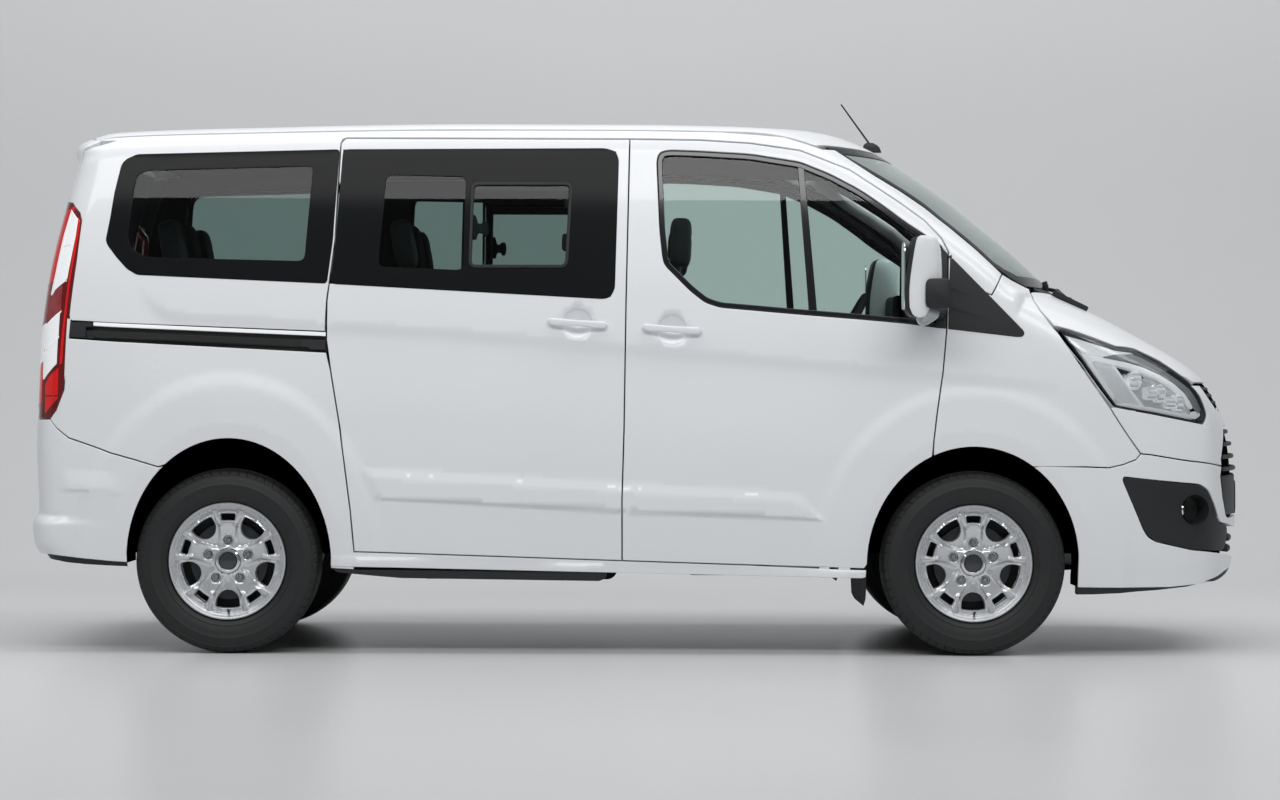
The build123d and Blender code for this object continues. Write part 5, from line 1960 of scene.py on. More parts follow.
@dataclass
class TailLamps:
    """Tall rear lamps wrapped round the corner, with clear, dark-red and bright-red cells."""

    shop: Workshop
    # the lamp's sheet: its unit, its corner, and the turn and scale that set it on the side
    unit, corner = 6.031, (20, 180)
    middle, tilt, scale, origin = (640, 400), 0.003478, 3.862, (-10, 983)

    @classmethod
    def spots(cls, rows: Outline) -> Rows:
        """Side-view places of points drawn on the lamp's own sheet.

        Args:
            rows: points on the sheet.

        Returns:
            X and Z in metres.
        """
        found = []
        for across, down in rows:
            u, v = cls.corner[0] + across / cls.unit, cls.corner[1] + down / cls.unit
            x = (u - cls.middle[0] + cls.tilt * (v - cls.middle[1])) * cls.scale + cls.origin[0]
            z = cls.origin[1] + (cls.middle[1] - v + cls.tilt * (u - cls.middle[0])) * cls.scale
            found.append((x / 1000.0, z / 1000.0))
        return found

    def lay(self, name: str, rows: Outline, finish: Finish, depth: float = 0.0005, round_by: float = 0.003,
            slot: str = "clear_lamp", **options: object) -> None:
        """One cell of the lamp, in side view.

        Args:
            name: piece name.
            rows: outline on the lamp's own sheet.
            finish: what it is made of.
            depth: how far below the form it lies.
            round_by: radius of its corners.
            slot: material slot of the record that it shows.
            options: passed on to skin.
        """
        rear = self.shop.rear_belt
        settings = {"gap": 0.0, "lip": 0.0015, "rim": 0.004, "pitch": 0.012, "hands": tuple(Hand)} | options
        self.shop.skin(name, rear, rear.side(soften(self.spots(rows), round_by)), finish, "shell",
                       depth=depth, slot=slot, **settings)

    def build(self) -> None:
        """Make both lamps."""
        shop, rear = self.shop, self.shop.rear_belt
        heights = np.array([0.905, 1.05, 1.2, 1.35, 1.5, 1.65, 1.742])
        gate = shop.form.meet(np.stack([np.full(7, -1.7), np.full(7, -GATE_HALF - 0.006), heights], 1),
                              np.tile((-1.0, 0.0, 0.0), (7, 1)), 1.0)
        edge = rear.side(LAMP_FRONT) + [tuple(r) for r in rear.coords(gate)][::-1]
        shop.skin("tail_lamp_body", rear, soften(edge, 0.006), Finishes.deep_red_lens, "shell", gap=0.0015,
                  lip=0.002, rim=0.020, depth=0.002, pitch=0.02, hands=tuple(Hand), replaces=["tail_lamps"],
                  slot="red_lamp")
        self.lay("tail_line", [(338, 218), (352, 240), (346, 330), (300, 640), (262, 1105), (245, 1118),
                               (272, 800), (288, 640), (335, 300), (338, 240)], Finishes.red_lens, 0.0012,
                 0.002, "red_lamp")
        self.lay("tail_upper_clear", [(290, 178), (334, 236), (322, 330), (274, 610), (205, 664), (188, 700),
                                      (178, 690), (205, 560), (248, 330)], Finishes.white_lens, 0.0002)
        self.lay("tail_upper_line", [(292, 170), (340, 232), (328, 336), (282, 612), (276, 612), (322, 332),
                                     (332, 238), (290, 184)], Finishes.bright, -0.0004, 0.001)
        self.lay("tail_upper_strip", [(286, 195), (294, 205), (222, 600), (205, 660), (196, 668), (214, 590)],
                 Finishes.bright, -0.0006, 0.001)
        self.lay("tail_cross_line", [(250, 398), (298, 386), (298, 393), (250, 405)], Finishes.satin,
                 -0.0006, 0.0)
        self.lay("tail_mid_red", [(256, 636), (250, 792), (170, 862), (158, 862), (160, 722), (190, 690),
                                  (215, 660)], Finishes.mid_red_lens, 0.0002, slot="red_lamp")
        for name, rows in (("upper", [(244, 802), (238, 940), (150, 1024), (144, 1024), (146, 905),
                                      (165, 872)]),
                           ("lower", [(234, 960), (228, 1108), (140, 1205), (134, 1200), (136, 1062),
                                      (155, 1034)])):
            self.lay(f"tail_cell_{name}", rows, Finishes.white_lens, 0.0002)
        for name, rows in (("a", [(252, 788), (252, 800), (165, 872), (152, 905), (146, 905), (160, 866)]),
                           ("b", [(240, 940), (240, 954), (155, 1032), (140, 1064), (134, 1062),
                                  (150, 1026)])):
            self.lay(f"tail_divider_{name}", rows, Finishes.bright, -0.0006, 0.001)
        self.lay("tail_red_upper", [(240, 1132), (236, 1298), (152, 1298), (152, 1235), (180, 1185)],
                 Finishes.red_lens, 0.0002, slot="red_lamp")
        self.lay("tail_red_lower", [(235, 1306), (232, 1320), (158, 1402), (152, 1402), (152, 1306)],
                 Finishes.red_lens, 0.0002, slot="red_lamp")
        cells = ((0.935, 1.085, Finishes.red_lens), (1.095, 1.245, Finishes.white_lens),
                 (1.255, 1.395, Finishes.mid_red_lens), (1.405, 1.700, Finishes.red_lens))
        for number, (low, high, finish) in enumerate(cells):
            rows = []
            for z, inner, outer in ((low, 0.020, 0.150), (high, 0.020, 0.150)):
                spot = shop.form.meet(np.array([[-1.7, -GATE_HALF - 0.006, z]]),
                                      np.array([[-1.0, 0.0, 0.0]]), 1.0)
                u = abs(rear.coords(spot)[0][0])
                rows.append((u + inner, z))
                rows.append((u + outer, z + 0.03))
            outline = [rows[0], rows[1], rows[3], rows[2]]
            shop.skin(f"tail_rear_cell_{number}", rear, soften(outline, 0.01), finish, "shell", gap=0,
                      lip=0.0015, rim=0.004, depth=0.0004, pitch=0.015, hands=tuple(Hand), slot="red_lamp")


@dataclass
class NoseTrim:
    """Grille slats, plate bar, lower mouth, fog panels and lamps, bare badge and washer jet."""

    shop: Workshop
    badge_z: float = 0.994

    def band(self, name: str, low: float, high: float, half: float, depth: float, finish: Finish,
             **options: object) -> None:
        """A level black strip across the nose.

        Args:
            name: piece name.
            low: height of its lower edge.
            high: height of its upper edge.
            half: half its width.
            depth: how far below the form it lies.
            finish: what it is made of.
            options: passed on to skin.
        """
        rows = mirrored_outline([(0.0, high), (half - 0.01, high), (half, high - 0.004), (half, low + 0.004),
                                 (half - 0.01, low), (0.0, low)])
        settings = {"gap": 0.0, "lip": 0.003, "rim": 0.035, "pitch": 0.03} | options
        self.shop.skin(name, self.shop.belt, rows, finish, "shell", depth=depth, **settings)

    def fog_lamp(self) -> Mesh:
        """A round pocket sunk forward-facing into the fog panel.

        Returns:
            The right-hand shape.
        """
        spot = self.shop.form.side_points([(2.150, 0.564)])[0]
        bm = lathe([(0.0560, -0.004), (0.0545, 0.004), (0.050, 0.035), (0.044, 0.060), (0.0, 0.064)], 40)
        rotate(bm, 24.0, "Z")
        shift(bm, spot)
        return bm

    def fog_lens(self) -> Mesh:
        """The fog lamp's lens at the rear of its pocket, facing forward.

        Returns:
            The right-hand shape.
        """
        spot = self.shop.form.side_points([(2.101, 0.564)])[0]
        bm = lathe([(0.0, -0.008), (0.016, -0.0065), (0.028, -0.002), (0.031, 0.006), (0.0, 0.010)], 32)
        rotate(bm, 70.0, "Z")
        shift(bm, Vector(spot) + Vector((0.004, 0.034, 0.0)))
        return bm

    def build(self) -> None:
        """Make all trim on the nose."""
        shop, belt = self.shop, self.shop.belt
        back = mirrored_outline([(0.0, 0.902), (0.635, 0.898), (0.672, 0.870), (0.712, 0.812), (0.742, 0.750),
                                 (0.748, 0.690), (0.720, 0.600), (0.672, 0.520), (0.0, 0.516)])
        # near-black sheet behind the slats: painted shade behind the grille
        shop.skin("grille_back", belt, back, Finishes.liner, "shell", gap=0, lip=0, rim=0.02, depth=0.020,
                  pitch=0.03, replaces=["grille"], slot="black_plastic")
        for number, (z, half, out) in enumerate(((0.868, 0.640, 0.004), (0.818, 0.682, 0.001),
                                                 (0.768, 0.708, -0.001), (0.720, 0.716, -0.004))):
            self.band(f"grille_slat_{number}", z - 0.008, z + 0.008, half, out, Finishes.trim, lip=0.006,
                      rim=0.022)
        surround = mirrored_outline([(0.0, 0.698), (0.700, 0.696), (0.718, 0.688), (0.690, 0.605),
                                     (0.650, 0.546), (0.628, 0.536), (0.0, 0.534)])
        shop.skin("plate_surround", belt, surround, Finishes.trim, "shell", gap=0.0015, lip=0.006, rim=0.02,
                  depth=0.0035, pitch=0.03, slot="black_plastic")
        self.band("plate_bar", 0.534, 0.668, 0.340, -0.0005, Finishes.trim, lip=0.006, replaces=["plate_bar"],
                  slot="black_plastic")
        self.band("plate_blank", 0.546, 0.656, 0.260, -0.0018, Finishes.plate, lip=0.002, rim=0.004)
        # near-black sheet behind the mouth slats: painted shade
        self.band("mouth_back", 0.345, 0.485, 0.620, 0.050, Finishes.liner, rim=0.01)
        for number, z in enumerate((0.392, 0.436)):
            self.band(f"mouth_slat_{number}", z - 0.008, z + 0.008, 0.500, 0.012, Finishes.trim, lip=0.005,
                      rim=0.04)
        self.band("badge_recess", 0.930, 1.062, 0.772, 0.008, Finishes.liner, rim=0.004)
        self.band("badge_shelf", 0.952, 0.962, 0.600, 0.002, Finishes.chrome, lip=0.004, rim=0.012)
        for number, (z, half) in enumerate(((0.986, 0.660), (1.014, 0.700), (1.040, 0.715))):
            self.band(f"badge_bar_{number}", z - 0.006, z + 0.006, half, 0.004, Finishes.trim,
                      lip=0.004, rim=0.012)
        for name, size, finish, lip, rim, depth in (
                ("badge_rim", (0.112, 0.036), Finishes.chrome, 0.004, 0.02, 0.004),
                ("badge_plain", (0.104, 0.029), Finishes.cap, 0.002, 0.004, 0.0022)):
            badge = [(a, self.badge_z + b) for a, b in squircle(*size, 0.36, 56)]
            shop.skin(name, belt, badge, finish, "shell", gap=0, lip=lip, rim=rim, depth=depth, pitch=0.012)
        fog = soften(FOG_PANEL, 0.022)
        pocket = ring_of((2.150, 0.564), 0.054, 40)
        shop.skin("fog_panel", belt, belt.side(fog), Finishes.trim, "shell", holes=[belt.side(pocket)],
                  gap=0.001, lip=0.003, rim=0.030, depth=0.006, pitch=0.014, bulge=self.fog_relief,
                  hands=tuple(Hand), replaces=["fog_surrounds"], slot="black_plastic")
        shop.both(lambda _: self.fog_lamp(), "fog_pocket", Finishes.trim, "shell", sharp_angle=0.6)
        shop.both(lambda _: self.fog_lens(), "fog_lens", Finishes.chrome, "shell", sharp_angle=0.6,
                  slot="clear_lamp")
        jet = [(1.872, -0.012), (1.905, -0.012), (1.905, 0.012), (1.872, 0.012)]
        shop.skin("washer_jet", shop.top, soften(jet, 0.005), Finishes.seal, "bonnet_lid", gap=0, lip=0.002,
                  rim=0.004, depth=-0.004, pitch=0.01)

    @staticmethod
    def fog_relief(x: Array, z: Array) -> Array:
        """The raised upper edge of the fog panel."""
        top = np.interp(x, [1.858, 2.163, 2.202, 2.253], [0.692, 0.662, 0.638, 0.533])
        return 0.006 * (1.0 - ramp((top - z - 0.022) / 0.012)) * (x < 2.25)


# ---------------------------------------------------------------- wheels
def lathe(rows: Sequence[tuple[float, float]], steps: int) -> Mesh:
    """A profile of radius and offset spun once round the Y axis.

    Args:
        rows: radius and Y pairs.
        steps: number of steps round.

    Returns:
        The spun surface.
    """
    bm = bmesh.new()
    line = [bm.verts.new((radius, y, 0.0)) for radius, y in rows]
    edges = [bm.edges.new(pair) for pair in zip(line[:-1], line[1:])]
    bmesh.ops.spin(bm, geom=line + edges, cent=(0, 0, 0), axis=(0, 1, 0), dvec=(0, 0, 0),
                   angle=math.tau, steps=steps, use_merge=True, use_duplicate=False)
    return bm


def ring_of(centre: tuple[float, float], radius: float, count: int) -> Rows:
    """Points round a circle."""
    return [(centre[0] + radius * math.cos(a), centre[1] + radius * math.sin(a))
            for a in np.linspace(0, math.tau, count + 1)[:-1]]


@dataclass
class RoadWheel:
    """One wheel: tyre, five-pair alloy rim, disc, nuts and plain cap.

    Attributes:
        shop: piece maker.
        name: corner name, such as front_right.
        centre: hub centre.
        left: True on the left side.
        grooves: cross grooves in each shoulder.
        groove_depth: how deep they are cut.
        shoulder_radius, shoulder_half: where they start, out from the axle and from the middle.
        web_y, hub_y: offset of the face's webs and of its hub.
        hub_radius: radius of the hub.
        well_radius, well_depth: size of the nut wells.
    """

    shop: Workshop
    name: str
    centre: tuple[float, float, float]
    left: bool
    grooves: int = 60
    groove_depth: float = 0.0055
    shoulder_radius: float = 0.3325
    shoulder_half: float = 0.050
    web_y: float = -0.0660
    hub_y: float = -0.0600
    hub_radius: float = 0.0475
    well_radius: float = 0.0198
    well_depth: float = 0.020

    def add(self, part: str, bm: Mesh, finish: Finish, **options: object) -> bpy.types.Object:
        """Place one part, drawn facing -Y about the origin, on the spinning hub.

        Args:
            part: name of the part.
            bm: its shape.
            finish: what it is made of.
            options: passed on to piece.

        Returns:
            The object.
        """
        if self.left:
            mirror_y(bm)
        shift(bm, Vector(self.centre))
        return self.shop.piece(f"{part}_{self.name}", bm, finish, f"spin_{self.name}", **options)

    def tyre(self) -> Mesh:
        """Rounded carcass with a stepped sidewall, ring grooves, and cross grooves cut in the shoulders.

        Returns:
            The shape about the axle.
        """
        rows = [(0.2265, -0.080), (0.2300, -0.0935), (0.2370, -0.1010), (0.2460, -0.1062), (0.2476, -0.1078),
                (0.2500, -0.1078), (0.2512, -0.1066), (0.2620, -0.1110), (0.2800, -0.1140), (0.2925, -0.1147),
                (0.2945, -0.1157), (0.2972, -0.1157), (0.2990, -0.1144), (0.3080, -0.1128), (0.3200, -0.1092),
                (0.3275, -0.1056), (0.3290, -0.1064), (0.3320, -0.1050), (0.3340, -0.1010), (0.3400, -0.0985),
                (0.3460, -0.0925), (0.3505, -0.0845), (0.3530, -0.0750), (0.3542, -0.0660)]
        tread = [(0.3548, -0.0560), (0.3470, -0.0535), (0.3470, -0.0465), (0.3556, -0.0440),
                 (0.3560, -0.0250), (0.3475, -0.0225), (0.3475, -0.0145), (0.3560, -0.0120), (0.3560, 0.0)]
        half = rows + tread
        bm = lathe(half + [(r, -y) for r, y in reversed(half[:-1])], self.grooves * 5)
        spots = (0.0, 0.42, 2.0, 3.9, 5.58)
        for vert in bm.verts:
            radius = math.hypot(vert.co.x, vert.co.z)
            step = round(math.degrees(math.atan2(vert.co.z, vert.co.x))
                         / (72.0 / self.grooves)) % (self.grooves * 5)
            wide = abs(vert.co.y)
            lean = math.copysign((wide - 0.085) * 90.0, vert.co.y) if radius > 0.33 and wide > 0.05 else 0.0
            angle = math.radians((step // 5) * 360.0 / self.grooves + spots[step % 5] + lean)
            if step % 5 == 0 and radius > self.shoulder_radius and wide > self.shoulder_half:
                radius -= self.groove_depth
            vert.co.x, vert.co.z = radius * math.cos(angle), radius * math.sin(angle)
        return bm

    def barrel(self) -> Mesh:
        """Rim barrel with its outer lip, seen through the windows.

        Returns:
            The shape about the axle.
        """
        rows = [(0.2255, -0.0780), (0.2262, -0.0955), (0.2240, -0.0985), (0.2190, -0.0990), (0.2150, -0.0960),
                (0.2135, -0.0900), (0.2085, -0.0850), (0.2030, -0.0800), (0.1990, -0.0700), (0.1960, -0.0560),
                (0.1920, 0.0), (0.1940, 0.0600), (0.2100, 0.0800), (0.2250, 0.0820), (0.2260, 0.0980)]
        back = [(0.2262, 0.0980), (0.2240, 0.0700), (0.2150, 0.0600), (0.1980, 0.0500), (0.1980, -0.0500),
                (0.2200, -0.0700), (0.2255, -0.0780)]
        return lathe(rows + back[1:], 120)

    @staticmethod
    def turned(rows: Outline, angle: float) -> Rows:
        """Rows of distance along and across an axis, put at an angle in degrees."""
        c, s = math.cos(math.radians(angle)), math.sin(math.radians(angle))
        return [(a * c - b * s, a * s + b * c) for a, b in rows]

    def windows(self) -> list[Rows]:
        """Outlines of the five large and the five small windows.

        Returns:
            Closed outlines on the wheel face.
        """
        polar = [(0.1842, -15.4), (0.1848, -8.0), (0.185, 0.0), (0.1848, 8.0), (0.1842, 15.4), (0.171, 16.6),
                 (0.156, 17.4), (0.143, 17.1), (0.131, 15.6), (0.121, 12.4), (0.1135, 8.0), (0.1105, 3.5),
                 (0.1105, -3.5), (0.1135, -8.0), (0.121, -12.4), (0.131, -15.6), (0.143, -17.1),
                 (0.156, -17.4), (0.171, -16.6)]
        large = [(r * math.cos(math.radians(t)), r * math.sin(math.radians(t))) for r, t in polar]
        small = [(0.1835, -0.0315), (0.1865, 0.0), (0.1835, 0.0315), (0.1545, 0.0285), (0.1545, -0.0285)]
        found = []
        for k in range(5):
            found.append(soften(self.turned(large, 90 + 36 + 72 * k), 0.005))
            found.append(soften(self.turned(small, 90 + 72 * k), 0.006))
        return found

    def face(self) -> Mesh:
        """Dished wheel face with its windows cut and their walls turned back.

        Returns:
            The shape about the axle.
        """
        bm = bmesh.new()
        lines = []
        for k in range(5):
            for hand in (-1.0, 1.0):
                ridge = [(0.086, 0.0268 * hand), (0.138, 0.0300 * hand), (0.2005, 0.0530 * hand)]
                lines.append(self.turned(ridge, 90 + 72 * k))
                for off in (-0.0055, 0.0055):
                    side_line = [(0.150, 0.0344 * hand + off), (0.1985, 0.0522 * hand + off)]
                    lines.append(self.turned(side_line, 90 + 72 * k))
            lines.append(self.turned([(0.1505, -0.0255), (0.1505, 0.0255)], 90 + 72 * k))
        nuts = [self.turned([(0.080, 0.0)], 90 + 72 * k)[0] for k in range(5)]
        for centre in nuts:
            for radius in (0.0195, 0.0165):
                ring = ring_of(centre, radius, 24)
                lines.append(ring + ring[:1])
        for radius in (0.036, 0.046, 0.056):
            ring = ring_of((0.0, 0.0), radius, 64)
            lines.append(ring + ring[:1])
        flat, triangles = fill_outline(ring_of((0.0, 0.0), 0.2045, 120), self.windows(), lines, 0.0058)
        depth = self.dish(flat, nuts)
        verts = [bm.verts.new((p[0], d, p[1])) for p, d in zip(flat, depth)]
        for t in triangles:
            bm.faces.new([verts[k] for k in t])
        for vert in [v for v in verts if not v.link_faces]:
            bm.verts.remove(vert)
        bmesh.ops.recalc_face_normals(bm, faces=bm.faces)
        if sum(f.normal.y for f in bm.faces) > 0:
            bmesh.ops.reverse_faces(bm, faces=bm.faces)
        edges = [e for e in bm.edges if len(e.link_faces) == 1]
        holes = ((0.150, 126), (0.170, 90))
        middles = [self.turned([(r, 0.0)], a + 72 * k)[0] for k in range(5) for r, a in holes]
        for drop, pull in ((0.0014, 0.0014), (0.005, 0.0016), (0.034, 0.0)):
            grown = bmesh.ops.extrude_edge_only(bm, edges=edges)["geom"]
            fresh = [v for v in grown if isinstance(v, bmesh.types.BMVert)]
            for vert in fresh:
                vert.co.y += drop
                near = min(middles, key=lambda s: (s[0] - vert.co.x) ** 2 + (s[1] - vert.co.z) ** 2)
                way = Vector((vert.co.x - near[0], 0.0, vert.co.z - near[1]))
                if math.hypot(vert.co.x, vert.co.z) < 0.200:
                    vert.co -= way.normalized() * pull
            edges = [e for e in grown if isinstance(e, bmesh.types.BMEdge)
                     and e.verts[0] in fresh and e.verts[1] in fresh]
        return bm

    def dish(self, flat: Array, nuts: Sequence[tuple[float, float]]) -> Array:
        """Depth of the wheel face: flat webs, ridged spokes, hub boss and nut wells.

        Args:
            flat: points on the wheel face, one row each.
            nuts: the nuts' centres.

        Returns:
            Offset along the axle at each point.
        """
        x, z = flat[:, 0], flat[:, 1]
        radius = np.hypot(x, z)
        fold = np.radians((np.degrees(np.arctan2(z, x)) - 90.0 + 36.0 + 720.0) % 72.0 - 36.0)
        along, across = radius * np.cos(fold), np.abs(radius * np.sin(fold))
        depth = self.web_y - 0.012 * ramp((radius - 0.07) / 0.13)
        web = np.clip((0.0290 - across) / 0.005, 0, 1) * np.clip((0.1525 - along) / 0.003, 0, 1)
        fall = 0.010 * ramp((across - 0.0275) / 0.013) * (1.0 - ramp((along - 0.135) / 0.03))
        depth = depth - 0.0025 * web * ramp((radius - 0.056) / 0.01) + fall * ramp((radius - 0.050) / 0.03)
        start, stop = np.array([0.138, 0.0300]), np.array([0.2005, 0.0530])
        run = stop - start
        share = np.clip(((along - start[0]) * run[0] + (across - start[1]) * run[1])
                        / np.sum(run ** 2), 0.0, 1.0)
        away = np.hypot(along - start[0] - share * run[0], across - start[1] - share * run[1])
        rim = np.clip((0.206 - radius) / 0.008, 0, 1)
        depth = depth - 0.0085 * (1.0 - ramp((away - 0.0030) / 0.0105)) * rim
        root = np.abs(across - 0.0268 - (along - 0.086) * 0.0615)
        near = np.clip((0.142 - along) / 0.01, 0, 1) * ramp((along - 0.075) / 0.02)
        depth = depth - 0.0030 * np.clip(1.0 - root / 0.0045, 0, 1) * near
        depth = depth + 0.007 * ramp((radius - 0.186) / 0.008) * (away > 0.0135)
        depth = depth - 0.0040 * (1 - ramp((radius - 0.048) / 0.014))
        for cx, cy in nuts:
            reach = np.hypot(x - cx, z - cy)
            well = self.web_y + self.well_depth * ramp((self.well_radius - reach) / 0.0036)
            depth = np.where(reach < self.well_radius, np.maximum(depth, well), depth)
        return np.where(radius < self.hub_radius, self.hub_y, depth)

    def nuts(self) -> Mesh:
        """Five domed hexagon nuts in their wells.

        Returns:
            The shape about the axle.
        """
        bm = bmesh.new()
        for k in range(5):
            x, z = self.turned([(0.080, 0.0)], 90 + 72 * k)[0]
            for radius, top, depth, sides in ((0.0128, 0.0108, 0.012, 6), (0.0098, 0.0060, 0.004, 16)):
                made = bmesh.ops.create_cone(bm, cap_ends=True, segments=sides, radius1=top, radius2=radius,
                                             depth=depth)["verts"]
                rotate(bm, -90.0, "X", made)
                y = -0.0560 if sides == 6 else -0.0640
                shift(bm, (x, y, z), made)
        return bm

    def build(self) -> None:
        """Make every part of the wheel."""
        self.add("tyre", self.tyre(), Finishes.tyre, replaces=[f"tyre_{self.name}"], slot="tyre_rubber",
                 sharp_angle=0.75)
        self.add("rim_barrel", self.barrel(), Finishes.alloy, replaces=[f"wheel_{self.name}"], slot="alloy",
                 sharp_angle=0.7)
        self.add("rim_face", self.face(), Finishes.alloy, slot="alloy", sharp_angle=0.42, merge=1e-6)
        cap = lathe([(0.0, -0.0740), (0.020, -0.0740), (0.0320, -0.0728), (0.0345, -0.0700),
                     (0.0350, -0.0640)], 48)
        self.add("hub_cap", cap, Finishes.cap)
        ring = lathe([(0.0350, -0.0650), (0.0354, -0.0735), (0.0372, -0.0755), (0.0420, -0.0752),
                      (0.0470, -0.0720), (0.0482, -0.0580), (0.0350, -0.0580), (0.0350, -0.0650)], 48)
        self.add("hub_cap_ring", ring, Finishes.chrome, sharp_angle=0.5)
        self.add("wheel_nuts", self.nuts(), Finishes.nut, smooth=False)
        disc = lathe([(0.070, -0.020), (0.150, -0.020), (0.1505, -0.018), (0.1505, 0.004), (0.070, 0.004),
                      (0.070, -0.020)], 72)
        self.add("brake_disc", disc, Finishes.disc, slot="cast_steel", sharp_angle=0.5)
        back = lathe([(0.004, 0.018), (0.188, 0.018), (0.188, 0.022), (0.004, 0.022)], 48)
        self.add("wheel_back_plate", back, Finishes.seal, sharp_angle=0.5)
        bell = lathe([(0.0, -0.050), (0.060, -0.050), (0.068, -0.044), (0.072, -0.020), (0.072, 0.010)], 48)
        self.add("disc_bell", bell, Finishes.steel, slot="cast_steel", sharp_angle=0.5)
        bm = bmesh.new()
        made = bmesh.ops.create_cone(bm, cap_ends=True, segments=12, radius1=0.0042, radius2=0.0042,
                                     depth=0.030)["verts"]
        bmesh.ops.rotate(bm, matrix=Matrix.Rotation(math.pi / 2 - 0.3, 3, "X"), verts=made)
        shift(bm, (0.004, -0.086, -0.192), made)
        self.add("tyre_valve", bm, Finishes.seal)


@dataclass
class RunningGear:
    """All four wheels."""

    shop: Workshop

    def build(self) -> None:
        """Make the wheels."""
        for end, x in (("front", FRONT_AXLE_X), ("rear", REAR_AXLE_X)):
            for hand in Hand:
                y = 0.850 if hand is Hand.LEFT else -0.850
                RoadWheel(self.shop, f"{end}_{hand.value}", (x, y, HUB_Z), hand is Hand.LEFT).build()


# ---------------------------------------------------------------- cabin
FLOOR_TOP = 0.560


@dataclass
class Seat:
    """One seat: plastic base, padded cushion and back with bolsters, and a headrest on two posts.

    Attributes:
        shop: piece maker.
        name: place name.
        node: CAD node of its row.
        x, y: its hinge line, along and across the vehicle.
        width: cushion width.
        lean: how far the back leans, in degrees.
        hinge_z: height of its hinge line.
    """

    shop: Workshop
    name: str
    node: str
    x: float
    y: float
    width: float
    lean: float = 14.0
    hinge_z: float = FLOOR_TOP + 0.300

    def pad(self, size: tuple[float, float, float], power: float, bolster: float, face: str) -> Mesh:
        """A rounded pad with raised side bolsters and a stitched groove each side.

        Args:
            size: full size along X, Y and Z.
            power: squareness of its edges.
            bolster: height of the bolsters.
            face: the axis that the sitter touches, "x" or "z".

        Returns:
            The pad about its own middle.
        """
        bm = bmesh.new()
        bmesh.ops.create_cube(bm, size=1.0)
        bmesh.ops.subdivide_edges(bm, edges=bm.edges, cuts=15, use_grid_fill=True)
        for vert in bm.verts:
            x, y, z = (2.0 * v for v in vert.co)
            reach = (abs(x) ** power + abs(y) ** power + abs(z) ** power) ** (1.0 / power)
            spot = Vector((x, y, z)) * (max(abs(x), abs(y), abs(z)) / max(reach, 1e-6)) * 0.5
            spot = Vector((spot.x * size[0], spot.y * size[1], spot.z * size[2]))
            side = abs(spot.y) / (size[1] * 0.5)
            rise = bolster * float(ramp(np.array((side - 0.55) / 0.28)))
            groove = 0.007 * math.exp(-((side - 0.56) / 0.035) ** 2)
            off = spot.x / size[0] - 0.08 if face == "z" else spot.z / size[2] - 0.12
            seam = 0.005 * math.exp(-(off / 0.03) ** 2)
            seam *= side < 0.56
            if face == "z" and z > 0.2:
                spot.z += (rise - bolster - groove - seam) * min(1.0, (z - 0.2) / 0.6)
            if face == "x" and x > 0.2:
                spot.x += (rise - bolster - groove - seam) * min(1.0, (x - 0.2) / 0.6)
            vert.co = spot
        return bm

    def place(self, bm: Mesh, lean: float, up: float) -> Mesh:
        """Lean a pad about the seat's hinge line and lift it along the back.

        Args:
            bm: the pad.
            lean: degrees from upright.
            up: height along the back.

        Returns:
            The same pad, in place.
        """
        shift(bm, (0, 0, up))
        rotate(bm, -lean, "Y")
        shift(bm, (self.x + 0.010, self.y, self.hinge_z))
        return bm

    def build(self) -> None:
        """Make the seat."""
        options = {"replaces": [self.node], "slot": "seat_fabric"}
        cushion = self.pad((0.486, self.width, 0.150), 7.0, 0.024, "z")
        shift(cushion, (self.x + 0.245, self.y, self.hinge_z))
        back = self.place(self.pad((0.118, self.width - 0.004, 0.640), 7.0, 0.020, "x"), self.lean, 0.320)
        head = self.place(self.pad((0.088, 0.256, 0.198), 4.0, 0.0, "x"), self.lean - 4.0, 0.750)
        for part, bm in (("cushion", cushion), ("back", back), ("headrest", head)):
            obj = self.shop.piece(f"{part}_{self.name}", bm, Finishes.cloth, "shell",
                                  sharp_angle=0.9, **options)
        posts = bmesh.new()
        for side in (-0.064, 0.064):
            made = bmesh.ops.create_cone(posts, cap_ends=True, segments=12, radius1=0.006, radius2=0.006,
                                         depth=0.09)["verts"]
            shift(posts, (0, side, 0.635), made)
        self.shop.piece(f"headrest_posts_{self.name}", self.place(posts, self.lean - 4.0, 0.0),
                        Finishes.nut, "shell")
        base = bmesh.new()
        bmesh.ops.create_cube(base, size=1.0)
        bmesh.ops.scale(base, vec=(0.380, self.width - 0.120, 0.222), verts=base.verts)
        bmesh.ops.bevel(base, geom=base.edges[:], offset=0.02, segments=3, affect="EDGES")
        shift(base, (self.x + 0.230, self.y, FLOOR_TOP + 0.115))
        self.shop.piece(f"seat_base_{self.name}", base, Finishes.cabin, "shell", slot="cabin_plastic")


